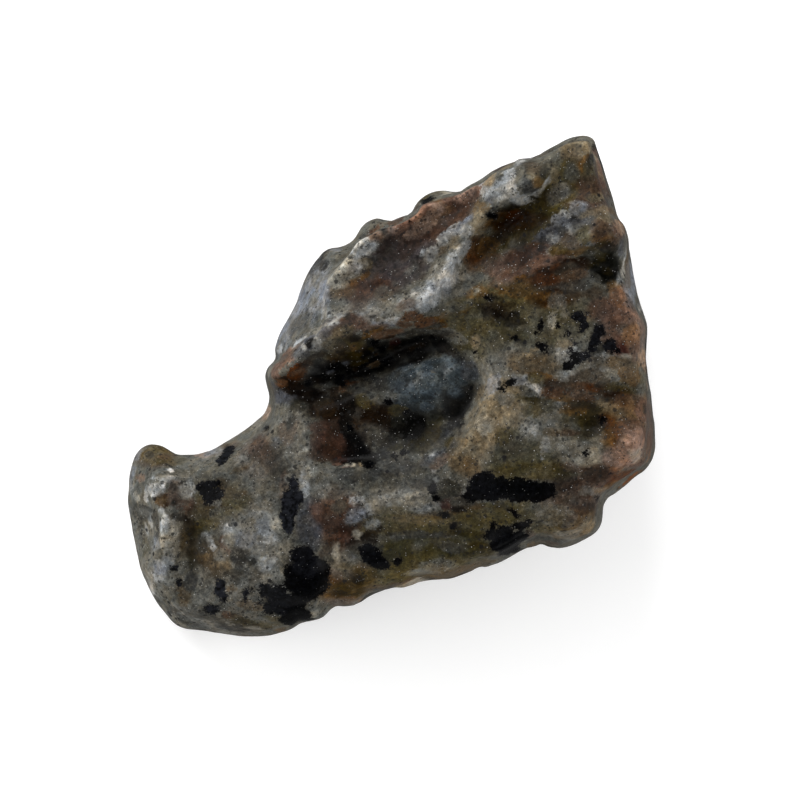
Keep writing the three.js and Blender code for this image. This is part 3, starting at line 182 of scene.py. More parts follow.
# Radius of the worn edge of the head, by place.
HEAD_RADIUS = [
  [-20.16, -4.66, 2.5], [-21.99, -9.33, 2.5], [-20.99, -15.16, 2.33], [-17.16, -19.99, 2.5],
  [-11.41, -20.66, 2.17], [-7.66, -19.49, 1.83], [-3.92, -18.08, 1.83], [0.25, -16.58, 1.67],
  [4, -15.91, 1.67], [7.75, -14.83, 1.67], [10.25, -13.74, 1.67], [12.33, -12.91, 1.67],
  [13.99, -13.24, 2.17], [17.33, -11, 2], [17.74, -9.33, 1.83], [20.66, -7, 2.5],
  [21.91, -4.33, 2.5], [21.41, -0.17, 1.33], [21.16, 3.58, 1.25], [21.16, 5.25, 1.25],
  [20.33, 8.16, 1.25], [19.66, 11.91, 1.33], [18.83, 14.08, 1.33], [18.16, 16.49, 1.17],
  [17.08, 19.83, 1.08], [16.33, 20.91, 0.92], [13.41, 20.16, 0.5], [10.66, 19.16, 0.42],
  [7.33, 17.41, 0.37], [5.33, 16.41, 0.33], [2.58, 15.08, 0.37], [0.17, 13.99, 0.37],
  [-2.67, 12.58, 0.42], [-4.66, 10.33, 0.67], [-6, 8.16, 0.92], [-5.83, 5.83, 0.75],
  [-6.91, 4.5, 0.83], [-8.5, 3.33, 0.92], [-9.66, 2.5, 1.17], [-10.33, 1, 1.67], [-10.25, -1, 2],
  [-12.66, -3.75, 2.17], [-15.58, -5.25, 2.33], [-17.66, -5.58, 2.17],
]

# Radius of the worn edge of forehead and crest, by place.
CREST_RADIUS = [
  [-9.66, 3.17, 2], [-8.91, 5.25, 2.17], [-7.66, 8, 2.17], [-6.41, 10.5, 1.83],
  [-5.16, 11.66, 1.33], [-3.92, 12, 1.17], [-2.5, 13.49, 1.33], [-1, 14.16, 1.5],
  [0.67, 14.16, 1.17], [2.33, 15.58, 1.33], [4.08, 16.49, 1.5], [6.5, 16.66, 1.17],
  [10.25, 18.66, 1.33], [13.99, 19.99, 1.33], [16.16, 18.99, 1.5], [13.99, 13.16, 1.67],
  [0.67, 5.66, 1.67],
]

# Ridges (height > 0) and furrows (height < 0): [half width, [x, y, height]...].
STROKES = [
  [1.08, [[-10.16, 1, 0.583], [-8.91, 2.17, 1], [-7.25, 3.42, 0.916], [-4.75, 4.58, 0.75],
    [-1.83, 5.25, 0.666], [1.5, 6.25, 0.583], [4.83, 7.08, 0.416], [7.33, 7.33, 0]]],
  [0.92, [[-10.5, 0.83, 0.666], [-9.5, 1.17, 0.75], [-8.33, 1.67, 0.5]]],
  [1.08, [[-8.66, -0.17, -0.416], [-7.25, -0.5, -0.833], [-5.16, 0, -1.166],
    [-3.33, 1, -1.416], [-0.58, 2.5, -1.499], [1.92, 3.67, -1.25], [4.41, 4.17, -0.75],
    [6.33, 3.58, -0.25]]],
  [0.92, [[-7.83, -2, 0.333], [-7.16, -3.67, 0.5], [-7.16, -5.58, 0.5], [-6.66, -7, 0.416]]],
  [0.75, [[-6.16, -6.83, 0.25], [-4.33, -7.16, 0.416], [-2.83, -7.08, 0.5],
    [-1.33, -7.16, 0.333]]],
  [0.75, [[-5.83, -5.66, -0.25], [-4.17, -5.91, -0.416], [-2.5, -5.75, -0.416],
    [-1.17, -5.58, -0.25]]],
  [0.83, [[-0.58, -7, 0.25], [1.5, -6.66, 0.333], [3.42, -6, 0.5], [4.83, -5, 0.416],
    [6.33, -3.5, 0.167]]],
  [0.67, [[-0.75, 0, -0.167], [0, 1.42, -0.333], [1.5, 2.17, -0.416], [3.33, 2.83, -0.416],
    [5, 2.92, -0.416], [6.33, 2.17, -0.5], [7.16, 0.83, -0.5], [7, -0.67, -0.5],
    [5.83, -2, -0.333], [3.67, -2.5, -0.167]]],
  [0.83, [[7.5, 2.33, 0.333], [8.33, 0.5, 0.583], [7.83, -1.17, 0.666], [6.83, -3.08, 0.666],
    [5.66, -5.16, 0.583], [4.66, -7.25, 0.25]]],
  [0.83, [[6.33, 3, -0.25], [7.16, 0.5, -0.5], [6.5, -1.67, -0.666], [5.16, -3.83, -0.583],
    [4, -5.66, -0.333]]],
  [0.92, [[1.33, 6.83, 0.333], [2.75, 7.91, 0.666], [4.41, 9.83, 0.666], [5.66, 11.75, 0.583],
    [7.16, 13.66, 0.666], [8.75, 15.16, 0.666], [10.66, 16.49, 0.75], [12.33, 17.66, 0.583],
    [13.99, 18.58, 0.25]]],
  [0.75, [[3, 11.5, 0.25], [4.66, 12.66, 0.5], [6.66, 14.08, 0.5], [8.16, 15.08, 0.25]]],
  [1.33, [[-3.5, 8, -0.333], [-1.42, 9.83, -0.666], [0.67, 11.5, -0.75], [3.17, 13.33, -0.75],
    [5.83, 15.24, -0.666], [8.16, 16.49, -0.333]]],
  [1.33, [[5.25, 8.16, -0.416], [7.16, 10.83, -1], [9.41, 13.33, -1.25], [11.91, 15.24, -1],
    [14.41, 16.49, -0.583], [16.49, 17.74, -0.25]]],
  [0.83, [[2.33, 9.16, -0.25], [3.83, 11, -0.416], [5.5, 12.66, -0.333]]],
  [1, [[5.25, 7.33, 0.25], [9, 8.66, 0.583], [12.33, 10, 0.666], [15.24, 11.83, 0.75],
    [17.33, 13.24, 0.833], [18.83, 13.24, 0.666]]],
  [0.83, [[12.33, 13.33, 0.333], [13.99, 14.41, 0.416], [15.83, 14.91, 0.333],
    [17.66, 14.58, 0.25]]],
  [1.17, [[12.74, 8.33, -0.25], [15.24, 9.41, -0.666], [17.16, 10, -1.083],
    [18.33, 10, -0.916]]],
  [0.67, [[15.91, 20.16, 0.416], [15.83, 18.99, 0.5], [15.99, 17.74, 0.416],
    [16.66, 16.08, 0.167]]],
  [1, [[17.33, 18.99, -0.833], [17.83, 16.91, -0.75], [18.33, 15.24, -0.416]]],
  [0.83, [[19.49, 11.5, -2.166], [19.66, 9.83, -2.499], [19.99, 8.16, -2.332],
    [20.66, 6.83, -1.499], [21.07, 5.83, -0.666]]],
  [0.75, [[21.49, 1.08, -0.833], [21.66, -0.58, -1], [21.82, -2.25, -0.666]]],
  [1.33, [[19.99, 4.41, 0.583], [20.16, 3, 0.416]]],
  [1.5, [[19.83, -4.33, 1], [20.33, -5.58, 0.916]]],
  [1, [[19.16, -0.58, -0.5], [20.66, -1, -0.666]]],
  [1, [[17.33, -8.66, -0.75], [18.49, -8.33, -0.75]]],
  [1.25, [[15.24, -11, 0.666], [16.33, -11.41, 0.583]]],
  [1, [[12.74, -12.49, -0.666], [11.91, -11.83, -0.5]]],
  [0.92, [[-20.16, -8, 0.333], [-19.08, -7.66, 0.666], [-17.99, -8, 0.416]]],
  [1.17, [[-17.16, -9.33, -0.333], [-16.58, -11.41, -0.666], [-16.58, -14.33, -0.666],
    [-16.33, -16.41, -0.333]]],
  [0.75, [[-19.33, -9.75, 0.416], [-18.83, -11.41, 0.666], [-19.08, -13.08, 0.5],
    [-19.66, -14.49, 0.333]]],
  [0.83, [[-20.82, -10.33, -0.416], [-20.41, -11.66, -0.833], [-20.58, -13.33, -0.666]]],
  [0.83, [[-19.33, -15.58, 0.333], [-18.49, -16.99, 0.416], [-17.99, -17.83, 0.25]]],
  [1, [[-11.83, -11, 0.333], [-10.83, -13.08, 0.416], [-10.33, -15.58, 0.25]]],
  [1, [[-14.33, -11, -0.25], [-14.16, -13.49, -0.416], [-13.91, -15.99, -0.25]]],
  [0.92, [[-7.66, -9.33, -0.416], [-6.83, -11.83, -0.5], [-6.5, -14.33, -0.416]]],
  [0.5, [[-18.91, -18.16, -0.167], [-17.66, -18.66, -0.333], [-15.99, -19.49, -0.5],
    [-14.16, -19.99, -0.416], [-12, -20.24, -0.333], [-10.33, -20.16, -0.083]]],
  [0.5, [[-18.66, -17.58, 0.167], [-17.24, -18.16, 0.333], [-15.83, -18.91, 0.333],
    [-13.99, -19.41, 0.333], [-12, -19.66, 0.167]]],
  [0.83, [[-16.83, -7.5, 0.25], [-14.49, -7.16, 0.416], [-12.66, -5.83, 0.416],
    [-11.41, -4.33, 0.416], [-10.83, -2.67, 0.25]]],
  [1.33, [[-5.16, -8.83, 0.333], [-1, -9, 0.416], [3.17, -8.83, 0.416], [6.5, -8.33, 0.25]]],
  [1.17, [[-4.33, -11.83, -0.333], [0.67, -12.33, -0.416], [5.66, -12, -0.416],
    [9, -11, -0.25]]],
  [1.17, [[10.66, -1, -0.416], [13.16, -1.67, -0.5], [16.08, -3, -0.666],
    [17.66, -2.67, -0.416]]],
  [1, [[9.41, 4.83, -0.333], [11.5, 3, -0.416], [12.99, 1.33, -0.25]]],
  [1, [[13.99, 2.75, 0.333], [17.33, 1.33, 0.416], [19.41, 1.08, 0.25]]],
]

# Eyeball and soft swellings or dips [x, y, rx, ry, turn, height].
MOUNDS = [
  [3.17, 0.33, 3.83, 2.08, 14, 1], [-5.83, -4.33, 2.17, 1.83, 0, 0.416],
  [11.33, 16.99, 1.5, 1.08, 35, 0.666], [8.16, 16.49, 1.25, 0.83, 20, 0.333],
  [7.16, -2.83, 1.33, 2.83, -25, 0.333], [13.16, -3.5, 5, 2.83, 20, 0.333],
  [13.99, 2.75, 3.67, 2.33, -10, 0.25], [-12.99, -13.99, 2.5, 2.17, 0, 0.333],
  [-3.92, -9.75, 2.83, 1.33, 5, 0.333], [2.33, -9.75, 4.17, 1.5, 8, 0.25],
  [10.25, -9.91, 3.33, 1.17, 0, 0.25], [-2.67, -14.33, 3.33, 1.5, 20, 0.333],
  [18.16, 4.83, 2, 2.17, 0, -0.25], [16.33, -2.25, 2, 2.17, 0, -0.416],
  [0.5, -3.67, 2.83, 1.5, 12, -0.333], [-3.92, 10, 1.33, 0.83, 30, 0.333],
  [3.58, -13.49, 3.33, 1.17, 12, 0.333], [9, -13.08, 1.67, 1.17, 0, 0.333],
]

# Channel sunk between the crest and each horn [x, y, |z|, radius].
CHANNELS = [
  [[-4.5, 11.5, 4.17, 0.67], [-1.67, 13.49, 4.83, 1.17], [2.33, 15.66, 5.16, 1.58],
    [7.33, 17.99, 5.33, 1.83], [12.33, 20.08, 5.5, 1.92], [16.66, 21.66, 5.66, 2],
    [20.66, 23.16, 5.83, 2.17]],
]

# Shallow hollows of the back of the head and under the jaw [x, y, |z|, radius].
HOLLOWS = [
  [[-5.16, -20.33, 0, 2], [0.67, -18.49, 0, 2.33], [7.33, -16.83, 0, 2.5],
    [12.33, -15.33, 0, 2.17]],
  [[22.32, 11.5, 0, 2.5], [23.66, 7.33, 0, 2.83], [24.66, 2.33, 0, 2.83],
    [24.82, -2.67, 0, 2.17]],
  [[-15.58, -3, 0, 1.83], [-13.08, -1.67, 0, 1.5]],
]

# Slow waves of the tumbled skin [height, kx, ky, kz, phase].
WAVES = [
  [0.1, -0.529, -0.209, -0.054, 5.8], [0.1, -0.754, -0.037, -0.052, 3.69],
  [0.085, -0.797, -0.06, -0.65, 3.96], [0.07, 0.899, 0.604, 0.783, 1.91],
  [0.055, 0.339, -0.861, -1.319, 4.35], [0.065, 0.472, -0.053, -1.086, 6.06],
]

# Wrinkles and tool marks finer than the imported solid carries.
FINE_STROKES = [
  [0.28, [[15.58, 12.41, 0.083], [16.33, 12.99, 0.15], [17.16, 13.66, 0.117]]],
  [0.27, [[15.91, 13.08, -0.1], [16.66, 13.74, -0.117]]],
  [0.37, [[10.33, 17.66, -0.125], [10.58, 16.49, -0.183], [11.5, 15.91, -0.2],
    [12.49, 16.41, -0.167], [13.08, 17.33, -0.125], [12.58, 18.24, -0.083]]],
  [0.37, [[-20.24, -10.5, 0.117], [-19.58, -11.25, 0.167], [-19.66, -12.33, 0.167],
    [-20.24, -12.91, 0.117]]],
  [0.33, [[-20.82, -11.16, -0.133], [-20.49, -12.08, -0.167]]],
  [0.37, [[-3.92, 11.83, -0.117], [-2.67, 11.33, -0.15], [-1.67, 11.5, -0.083]]],
  [0.42, [[-5.83, 8.66, 0.1], [-4.66, 9.83, 0.133], [-3.33, 10.91, 0.117], [-2.5, 12, 0.083]]],
  [0.33, [[18.16, 12.33, -0.1], [18.66, 10.83, -0.133], [18.83, 9.33, -0.117]]],
  [0.37, [[3.17, -9.16, -0.1], [4.08, -9.75, -0.133], [5, -9.33, -0.083]]],
  [0.37, [[-2.5, -9.75, -0.133], [-1.83, -10.58, -0.15]]],
  [0.42, [[13.99, -5.58, -0.1], [16.08, -6.16, -0.133], [17.66, -5.83, -0.083]]],
  [0.37, [[-15.58, -7.5, -0.083], [-13.91, -6.83, -0.117], [-12.41, -5.58, -0.083]]],
]

# Crisp worn ridge lines: [half width, [x, y, height]...].
KEEN_RIDGES = [
  [0.58, [[-20.16, -9.08, 0.05], [-19.58, -9.66, 0.167], [-19.08, -10.5, 0.267],
    [-18.99, -11.58, 0.3], [-19.24, -12.74, 0.267], [-19.58, -13.83, 0.217],
    [-20.16, -14.99, 0.133]]],
  [0.33, [[-20.49, -10.5, 0.067], [-19.99, -10.91, 0.142], [-19.74, -11.66, 0.167],
    [-19.91, -12.49, 0.15], [-20.33, -13.16, 0.083]]],
  [0.25, [[-19.49, -10.25, -0.083], [-19.33, -11.16, -0.15], [-19.49, -12.25, -0.15],
    [-19.83, -13.33, -0.083]]],
  [0.58, [[-20.41, -14.99, 0.067], [-20.08, -16.16, 0.2], [-19.49, -17.24, 0.25],
    [-18.49, -17.91, 0.267], [-17.33, -18.33, 0.267], [-16.16, -18.99, 0.25],
    [-14.74, -19.41, 0.233], [-13.08, -19.83, 0.183], [-11.41, -19.99, 0.1]]],
  [0.75, [[-17.16, -6.16, 0.067], [-15.58, -7.16, 0.167], [-14.16, -6.91, 0.233],
    [-12.83, -6.08, 0.267], [-11.83, -4.91, 0.267], [-11.16, -3.67, 0.2],
    [-10.75, -2.5, 0.083]]],
  [0.5, [[-5.66, 5.41, 0.05], [-6.16, 7.08, 0.133], [-6, 8.66, 0.167], [-4.83, 10.16, 0.183],
    [-3.5, 11.5, 0.183], [-2.17, 12.49, 0.167], [-0.58, 13.41, 0.167], [1.5, 14.58, 0.167],
    [4, 15.74, 0.167], [6.33, 16.83, 0.117]]],
  [0.58, [[-9.66, 2.5, 0.083], [-8.5, 3.17, 0.2], [-7.25, 3.92, 0.217], [-6, 4.58, 0.217],
    [-4.75, 5.25, 0.183], [-3.33, 5.91, 0.1]]],
  [0.67, [[3.17, 8, 0.05], [4.5, 9.91, 0.15], [5.75, 11.75, 0.183], [7.08, 13.49, 0.183],
    [8.41, 15.08, 0.133], [10.25, 16.16, 0.083]]],
  [0.67, [[6.5, 7.58, 0.067], [8.58, 8.58, 0.15], [11.08, 9.41, 0.183], [13.08, 10.41, 0.2],
    [13.74, 11.58, 0.2], [15.16, 11.83, 0.217], [16.66, 12.49, 0.183], [17.83, 13.33, 0.1]]],
  [0.5, [[14.33, 14.99, 0.067], [15.66, 15.16, 0.15], [16.91, 14.83, 0.183],
    [17.99, 14.41, 0.183], [18.83, 13.91, 0.133]]],
  [0.22, [[15.16, 12.08, 0.067], [15.99, 12.49, 0.108], [16.66, 13.16, 0.108],
    [17.08, 13.83, 0.067]]],
  [0.2, [[15.91, 12.99, 0.067], [16.49, 13.49, 0.092], [17.16, 13.91, 0.067]]],
  [0.5, [[18.49, 12.66, 0.05], [18.66, 11.5, 0.15], [18.66, 10.16, 0.217], [18.99, 8.75, 0.25],
    [19.74, 7.41, 0.25], [20.66, 6.16, 0.2], [21.16, 5.16, 0.1]]],
  [0.42, [[16.49, 20.58, 0.083], [16.24, 19.66, 0.167], [15.99, 18.66, 0.15],
    [15.91, 17.49, 0.067]]],
  [0.25, [[11.5, 15.74, 0.05], [12.33, 16.33, 0.108], [12.99, 17.08, 0.092],
    [13.08, 17.83, 0.042]]],
  [0.33, [[11, 0.58, 0.067], [11.91, 0, 0.108], [12.99, -0.83, 0.067]]],
  [0.75, [[7.16, 0.33, 0.067], [7.66, -1.17, 0.133], [6.83, -3, 0.15], [5.66, -4.83, 0.15],
    [4.58, -6.83, 0.083]]],
]

# Black mineral grains on the near cheek [x, y, rx, ry, turn, slaty], as unions of small lobes.
GRAINS = [
    (-15.49, -8.25, 0.75, 0.5, 0, 0.2), (-14.91, -8, 0.75, 0.33, 5, 0.2),
    (-15.24, -8.83, 0.58, 0.58, 0, 0.2), (-15.16, -9.41, 0.33, 0.33, 0, 0.2),
    (-8.16, -8.25, 0.42, 0.92, -5, 1), (-8.41, -9.58, 0.67, 1.25, 0, 1),
    (-8.58, -11.16, 0.5, 1, 5, 1), (-7.91, -9.08, 0.5, 0.67, 0, 1),
    (-8.91, -10.58, 0.33, 0.67, 0, 1), (-7.41, -13.83, 1, 0.75, 0, 0.25),
    (-6.91, -14.91, 1.42, 1, 0, 0.25), (-7.91, -15.99, 1, 0.92, 0, 0),
    (-6.25, -16.33, 1, 0.83, 0, 0), (-7.08, -16.99, 1.08, 0.67, 0, 0),
    (-5.83, -15.08, 0.67, 0.83, 0, 0), (-8.5, -15.16, 0.5, 0.42, 0, 0),
    (-5.66, -15.83, 0.42, 0.67, 0, 0), (-10.41, -16.74, 0.67, 0.58, -30, 0.35),
    (-9.08, -17.83, 1.33, 1, -35, 0.35), (-7.66, -18.83, 1.25, 0.67, -25, 0),
    (-10, -18.16, 0.67, 0.58, 0, 0.35), (-8.33, -18.41, 1, 0.67, -30, 0),
    (-10.83, -17.66, 0.22, 0.25, 0, 0.35), (-8.5, -19.33, 1, 0.42, -15, 0),
    (-9.25, -16.83, 0.67, 0.5, -20, 0.35), (-1.75, -13.83, 0.92, 0.75, -20, 0.15),
    (-1.08, -14.41, 0.92, 0.5, -20, 0.15), (-2.17, -13.33, 0.5, 0.5, 0, 0.15),
    (-0.42, -14.58, 0.25, 0.25, 0, 0.15), (7.41, -7.75, 1.17, 0.75, 35, 0.15),
    (8, -8.58, 1.42, 0.75, 0, 0.15), (9.66, -8.33, 1.17, 0.75, 0, 0),
    (11.16, -8.41, 1.17, 0.75, 0, 0), (12.58, -8.41, 0.92, 0.75, 0, 0),
    (6.83, -8.5, 0.67, 0.75, 0, 0.15), (10.33, -7.83, 0.83, 0.5, 0, 0),
    (11.91, -8.83, 1, 0.58, 0, 0), (9.25, -12.74, 1.17, 0.75, 0, 0.08),
    (9.91, -12.99, 1, 0.75, 0, 0.08), (8.75, -12.91, 0.67, 0.67, 0, 0.08),
    (9.5, -13.58, 0.67, 0.42, 0, 0.08), (9, -12.16, 0.67, 0.42, 0, 0.08),
    (10.66, -11.33, 0.67, 0.28, 10, 0), (11.25, -11.08, 0.33, 0.25, 0, 0),
    (8.33, -11.33, 0.25, 0.25, 0, 0), (10.08, -10.33, 0.54, 0.22, -38, 0),
    (12.41, 3.42, 0.46, 0.3, -20, 0), (9.75, 0.42, 0.5, 0.29, 30, 0),
    (9.08, -0.08, 0.25, 0.17, 0, 0), (15.41, 5.91, 0.58, 0.37, 10, 0.4),
    (15.83, 5.25, 0.33, 0.42, 0, 0.4), (15.58, 4.75, 0.25, 0.25, 0, 0.4),
    (17.08, 4.75, 0.5, 0.46, 20, 0.3), (16.74, 4, 0.37, 0.67, -15, 0.3),
    (16.49, 3.17, 0.33, 0.33, 0, 0.3), (15.83, 2.58, 0.58, 0.37, 30, 0.3),
    (15.16, 2.25, 0.42, 0.33, 0, 0), (14.74, 3.08, 0.17, 0.25, 0, 0),
    (17.99, 3.5, 0.54, 0.5, 0, 0.3), (18.58, 3.08, 0.25, 0.25, 0, 0),
    (12.25, 5.08, 0.25, 0.42, 0, 0), (14.66, 1.75, 0.25, 0.25, 0, 0),
    (-13.58, -5.16, 0.58, 0.42, 40, 0.7), (-13.91, -5.66, 0.5, 0.42, 50, 0.7),
    (-14.24, -6.08, 0.33, 0.33, 50, 0.7), (-14.24, -16.66, 0.5, 0.75, 5, 0.9),
    (-13.99, -17.16, 0.33, 0.5, 20, 0.9), (-14.99, -18.33, 0.62, 0.37, 0, 0.8),
    (-12.08, -16.99, 0.25, 0.37, -30, 0.7), (-11.75, -16.66, 0.22, 0.2, 0, 0.7),
    (-12.16, -17.58, 0.17, 0.25, 0, 0.7), (-18.08, -14.91, 0.25, 0.22, 0, 0.5),
    (-17.74, -16.16, 0.23, 0.37, 0, 0.5), (15.99, -5.33, 0.23, 0.2, 0, 0),
    (16.99, -9.08, 0.25, 0.17, 0, 0), (0.25, -5.66, 0.22, 0.22, 0, 0),
    (0.92, -5.33, 0.2, 0.17, 0, 0), (0.5, -14.41, 0.33, 0.25, 0, 0),
    (-10.41, -3.33, 0.18, 0.18, 0, 0), (14.49, 4.5, 0.2, 0.2, 0, 0),
    (15.08, 3.75, 0.17, 0.17, 0, 0.3), (12.74, 2.92, 0.18, 0.15, 0, 0),
    (10.16, 4.17, 0.25, 0.22, 0, 0), (6.83, 2.83, 0.18, 0.17, 0, 0),
    (11.91, 4.5, 0.17, 0.17, 0, 0), (13.66, 5.08, 0.2, 0.17, 0, 0),
    (2.92, 15.66, 0.58, 0.29, 22, 0), (8, 7.41, 0.33, 0.22, -20, 0),
    (17.33, -2.58, 0.3, 0.3, 0, 0), (-4.25, 0.5, 0.42, 0.33, 0, 0),
    (-0.33, -1.17, 0.33, 0.25, 0, 0), (-1.92, -6.25, 0.5, 0.33, 0, 0),
    (-3.5, -3.33, 0.28, 0.28, 0, 0), (8.25, 14.24, 0.42, 0.2, 0, 0),
    (1.25, -2.08, 0.25, 0.17, 0, 0), (-1.33, 3.75, 0.33, 0.25, 0, 0),
    (-0.83, 3.17, 0.42, 0.33, 0, 0), (-0.42, 2.33, 0.5, 0.42, 0, 0),
    (3.42, 4.17, 0.33, 0.2, 0, 0), (-4.33, 0.83, 0.42, 0.28, 0, 0),
    (-6.91, 0.42, 0.33, 0.25, 0, 0), (3.67, -9.08, 0.33, 0.25, 0, 0),
    (3.42, -8.41, 0.29, 0.37, 0, 0), (4.33, -10.5, 0.33, 0.2, -20, 0),
    (5.08, -11.5, 0.27, 0.22, 30, 0), (10.5, -12.41, 0.83, 0.67, 0, 0.08),
    (9.91, -13.41, 0.83, 0.5, 0, 0.08), (8.25, -12.16, 0.58, 0.5, 0, 0.08),
    (15.08, 2.58, 0.5, 0.42, 30, 0), (14.49, 1.83, 0.42, 0.42, 0, 0),
    (-14.41, -8.75, 0.5, 0.5, 0, 0.2), (6.5, -9, 0.58, 0.42, 0, 0),
    (-8, -17.91, 0.83, 0.83, 0, 0), (10.5, -9, 1.17, 0.42, 0, 0), (9.08, -7.83, 0.75, 0.5, 0, 0),
    (9.41, -11.83, 0.75, 0.42, 0, 0.08),
]

# Mineral colours of the stone, as linear reflectance.
PALETTE = {
    "pale": (0.0546, 0.0540, 0.0497),
    "cream": (0.0900, 0.0870, 0.0776),
    "white": (0.1268, 0.1268, 0.1223),
    "chalk": (0.0863, 0.0881, 0.0863),
    "grey": (0.0350, 0.0350, 0.0319),
    "dgrey": (0.0167, 0.0167, 0.0160),
    "steel": (0.0271, 0.0281, 0.0300),
    "rusto": (0.0454, 0.0228, 0.0086),
    "warmw": (0.0793, 0.0662, 0.0574),
    "buff": (0.0793, 0.0647, 0.0532),
    "buffp": (0.0759, 0.0602, 0.0518),
    "mauvl": (0.0271, 0.0188, 0.0160),
    "umbo": (0.0123, 0.0086, 0.0050),
    "slate": (0.0057, 0.0057, 0.0061),
    "drab": (0.0101, 0.0096, 0.0073),
    "taupe": (0.0236, 0.0204, 0.0167),
    "greige": (0.0418, 0.0372, 0.0290),
    "tanp": (0.0632, 0.0454, 0.0319),
    "tanq": (0.0518, 0.0340, 0.0236),
    "beige": (0.0793, 0.0710, 0.0574),
    "khak2": (0.0219, 0.0188, 0.0106),
    "rustm": (0.0153, 0.0086, 0.0037),
    "ash": (0.0574, 0.0602, 0.0632),
    "mgrey": (0.0188, 0.0167, 0.0167),
    "eye": (0.0330, 0.0372, 0.0390),
    "eyed": (0.0111, 0.0134, 0.0147),
    "sand": (0.0617, 0.0546, 0.0430),
    "sandd": (0.0340, 0.0262, 0.0174),
    "tan": (0.0372, 0.0262, 0.0153),
    "khaki": (0.0290, 0.0253, 0.0147),
    "green": (0.0160, 0.0147, 0.0081),
    "mauve": (0.0245, 0.0174, 0.0141),
    "mauved": (0.0123, 0.0081, 0.0064),
    "rosy": (0.0377, 0.0281, 0.0236),
    "pink": (0.0623, 0.0492, 0.0423),
    "plum": (0.0174, 0.0068, 0.0061),
    "brown": (0.0077, 0.0044, 0.0022),
    "umber": (0.0037, 0.0021, 0.0013),
    "rust": (0.0271, 0.0128, 0.0037),
    "rustd": (0.0111, 0.0055, 0.0019),
    "ochre": (0.0290, 0.0181, 0.0057),
    "olive": (0.0153, 0.0126, 0.0061),
    "olived": (0.0022, 0.0023, 0.0012),
    "soot": (0.0013, 0.0013, 0.0013),
    "ink": (0.0022, 0.0023, 0.0027),
}

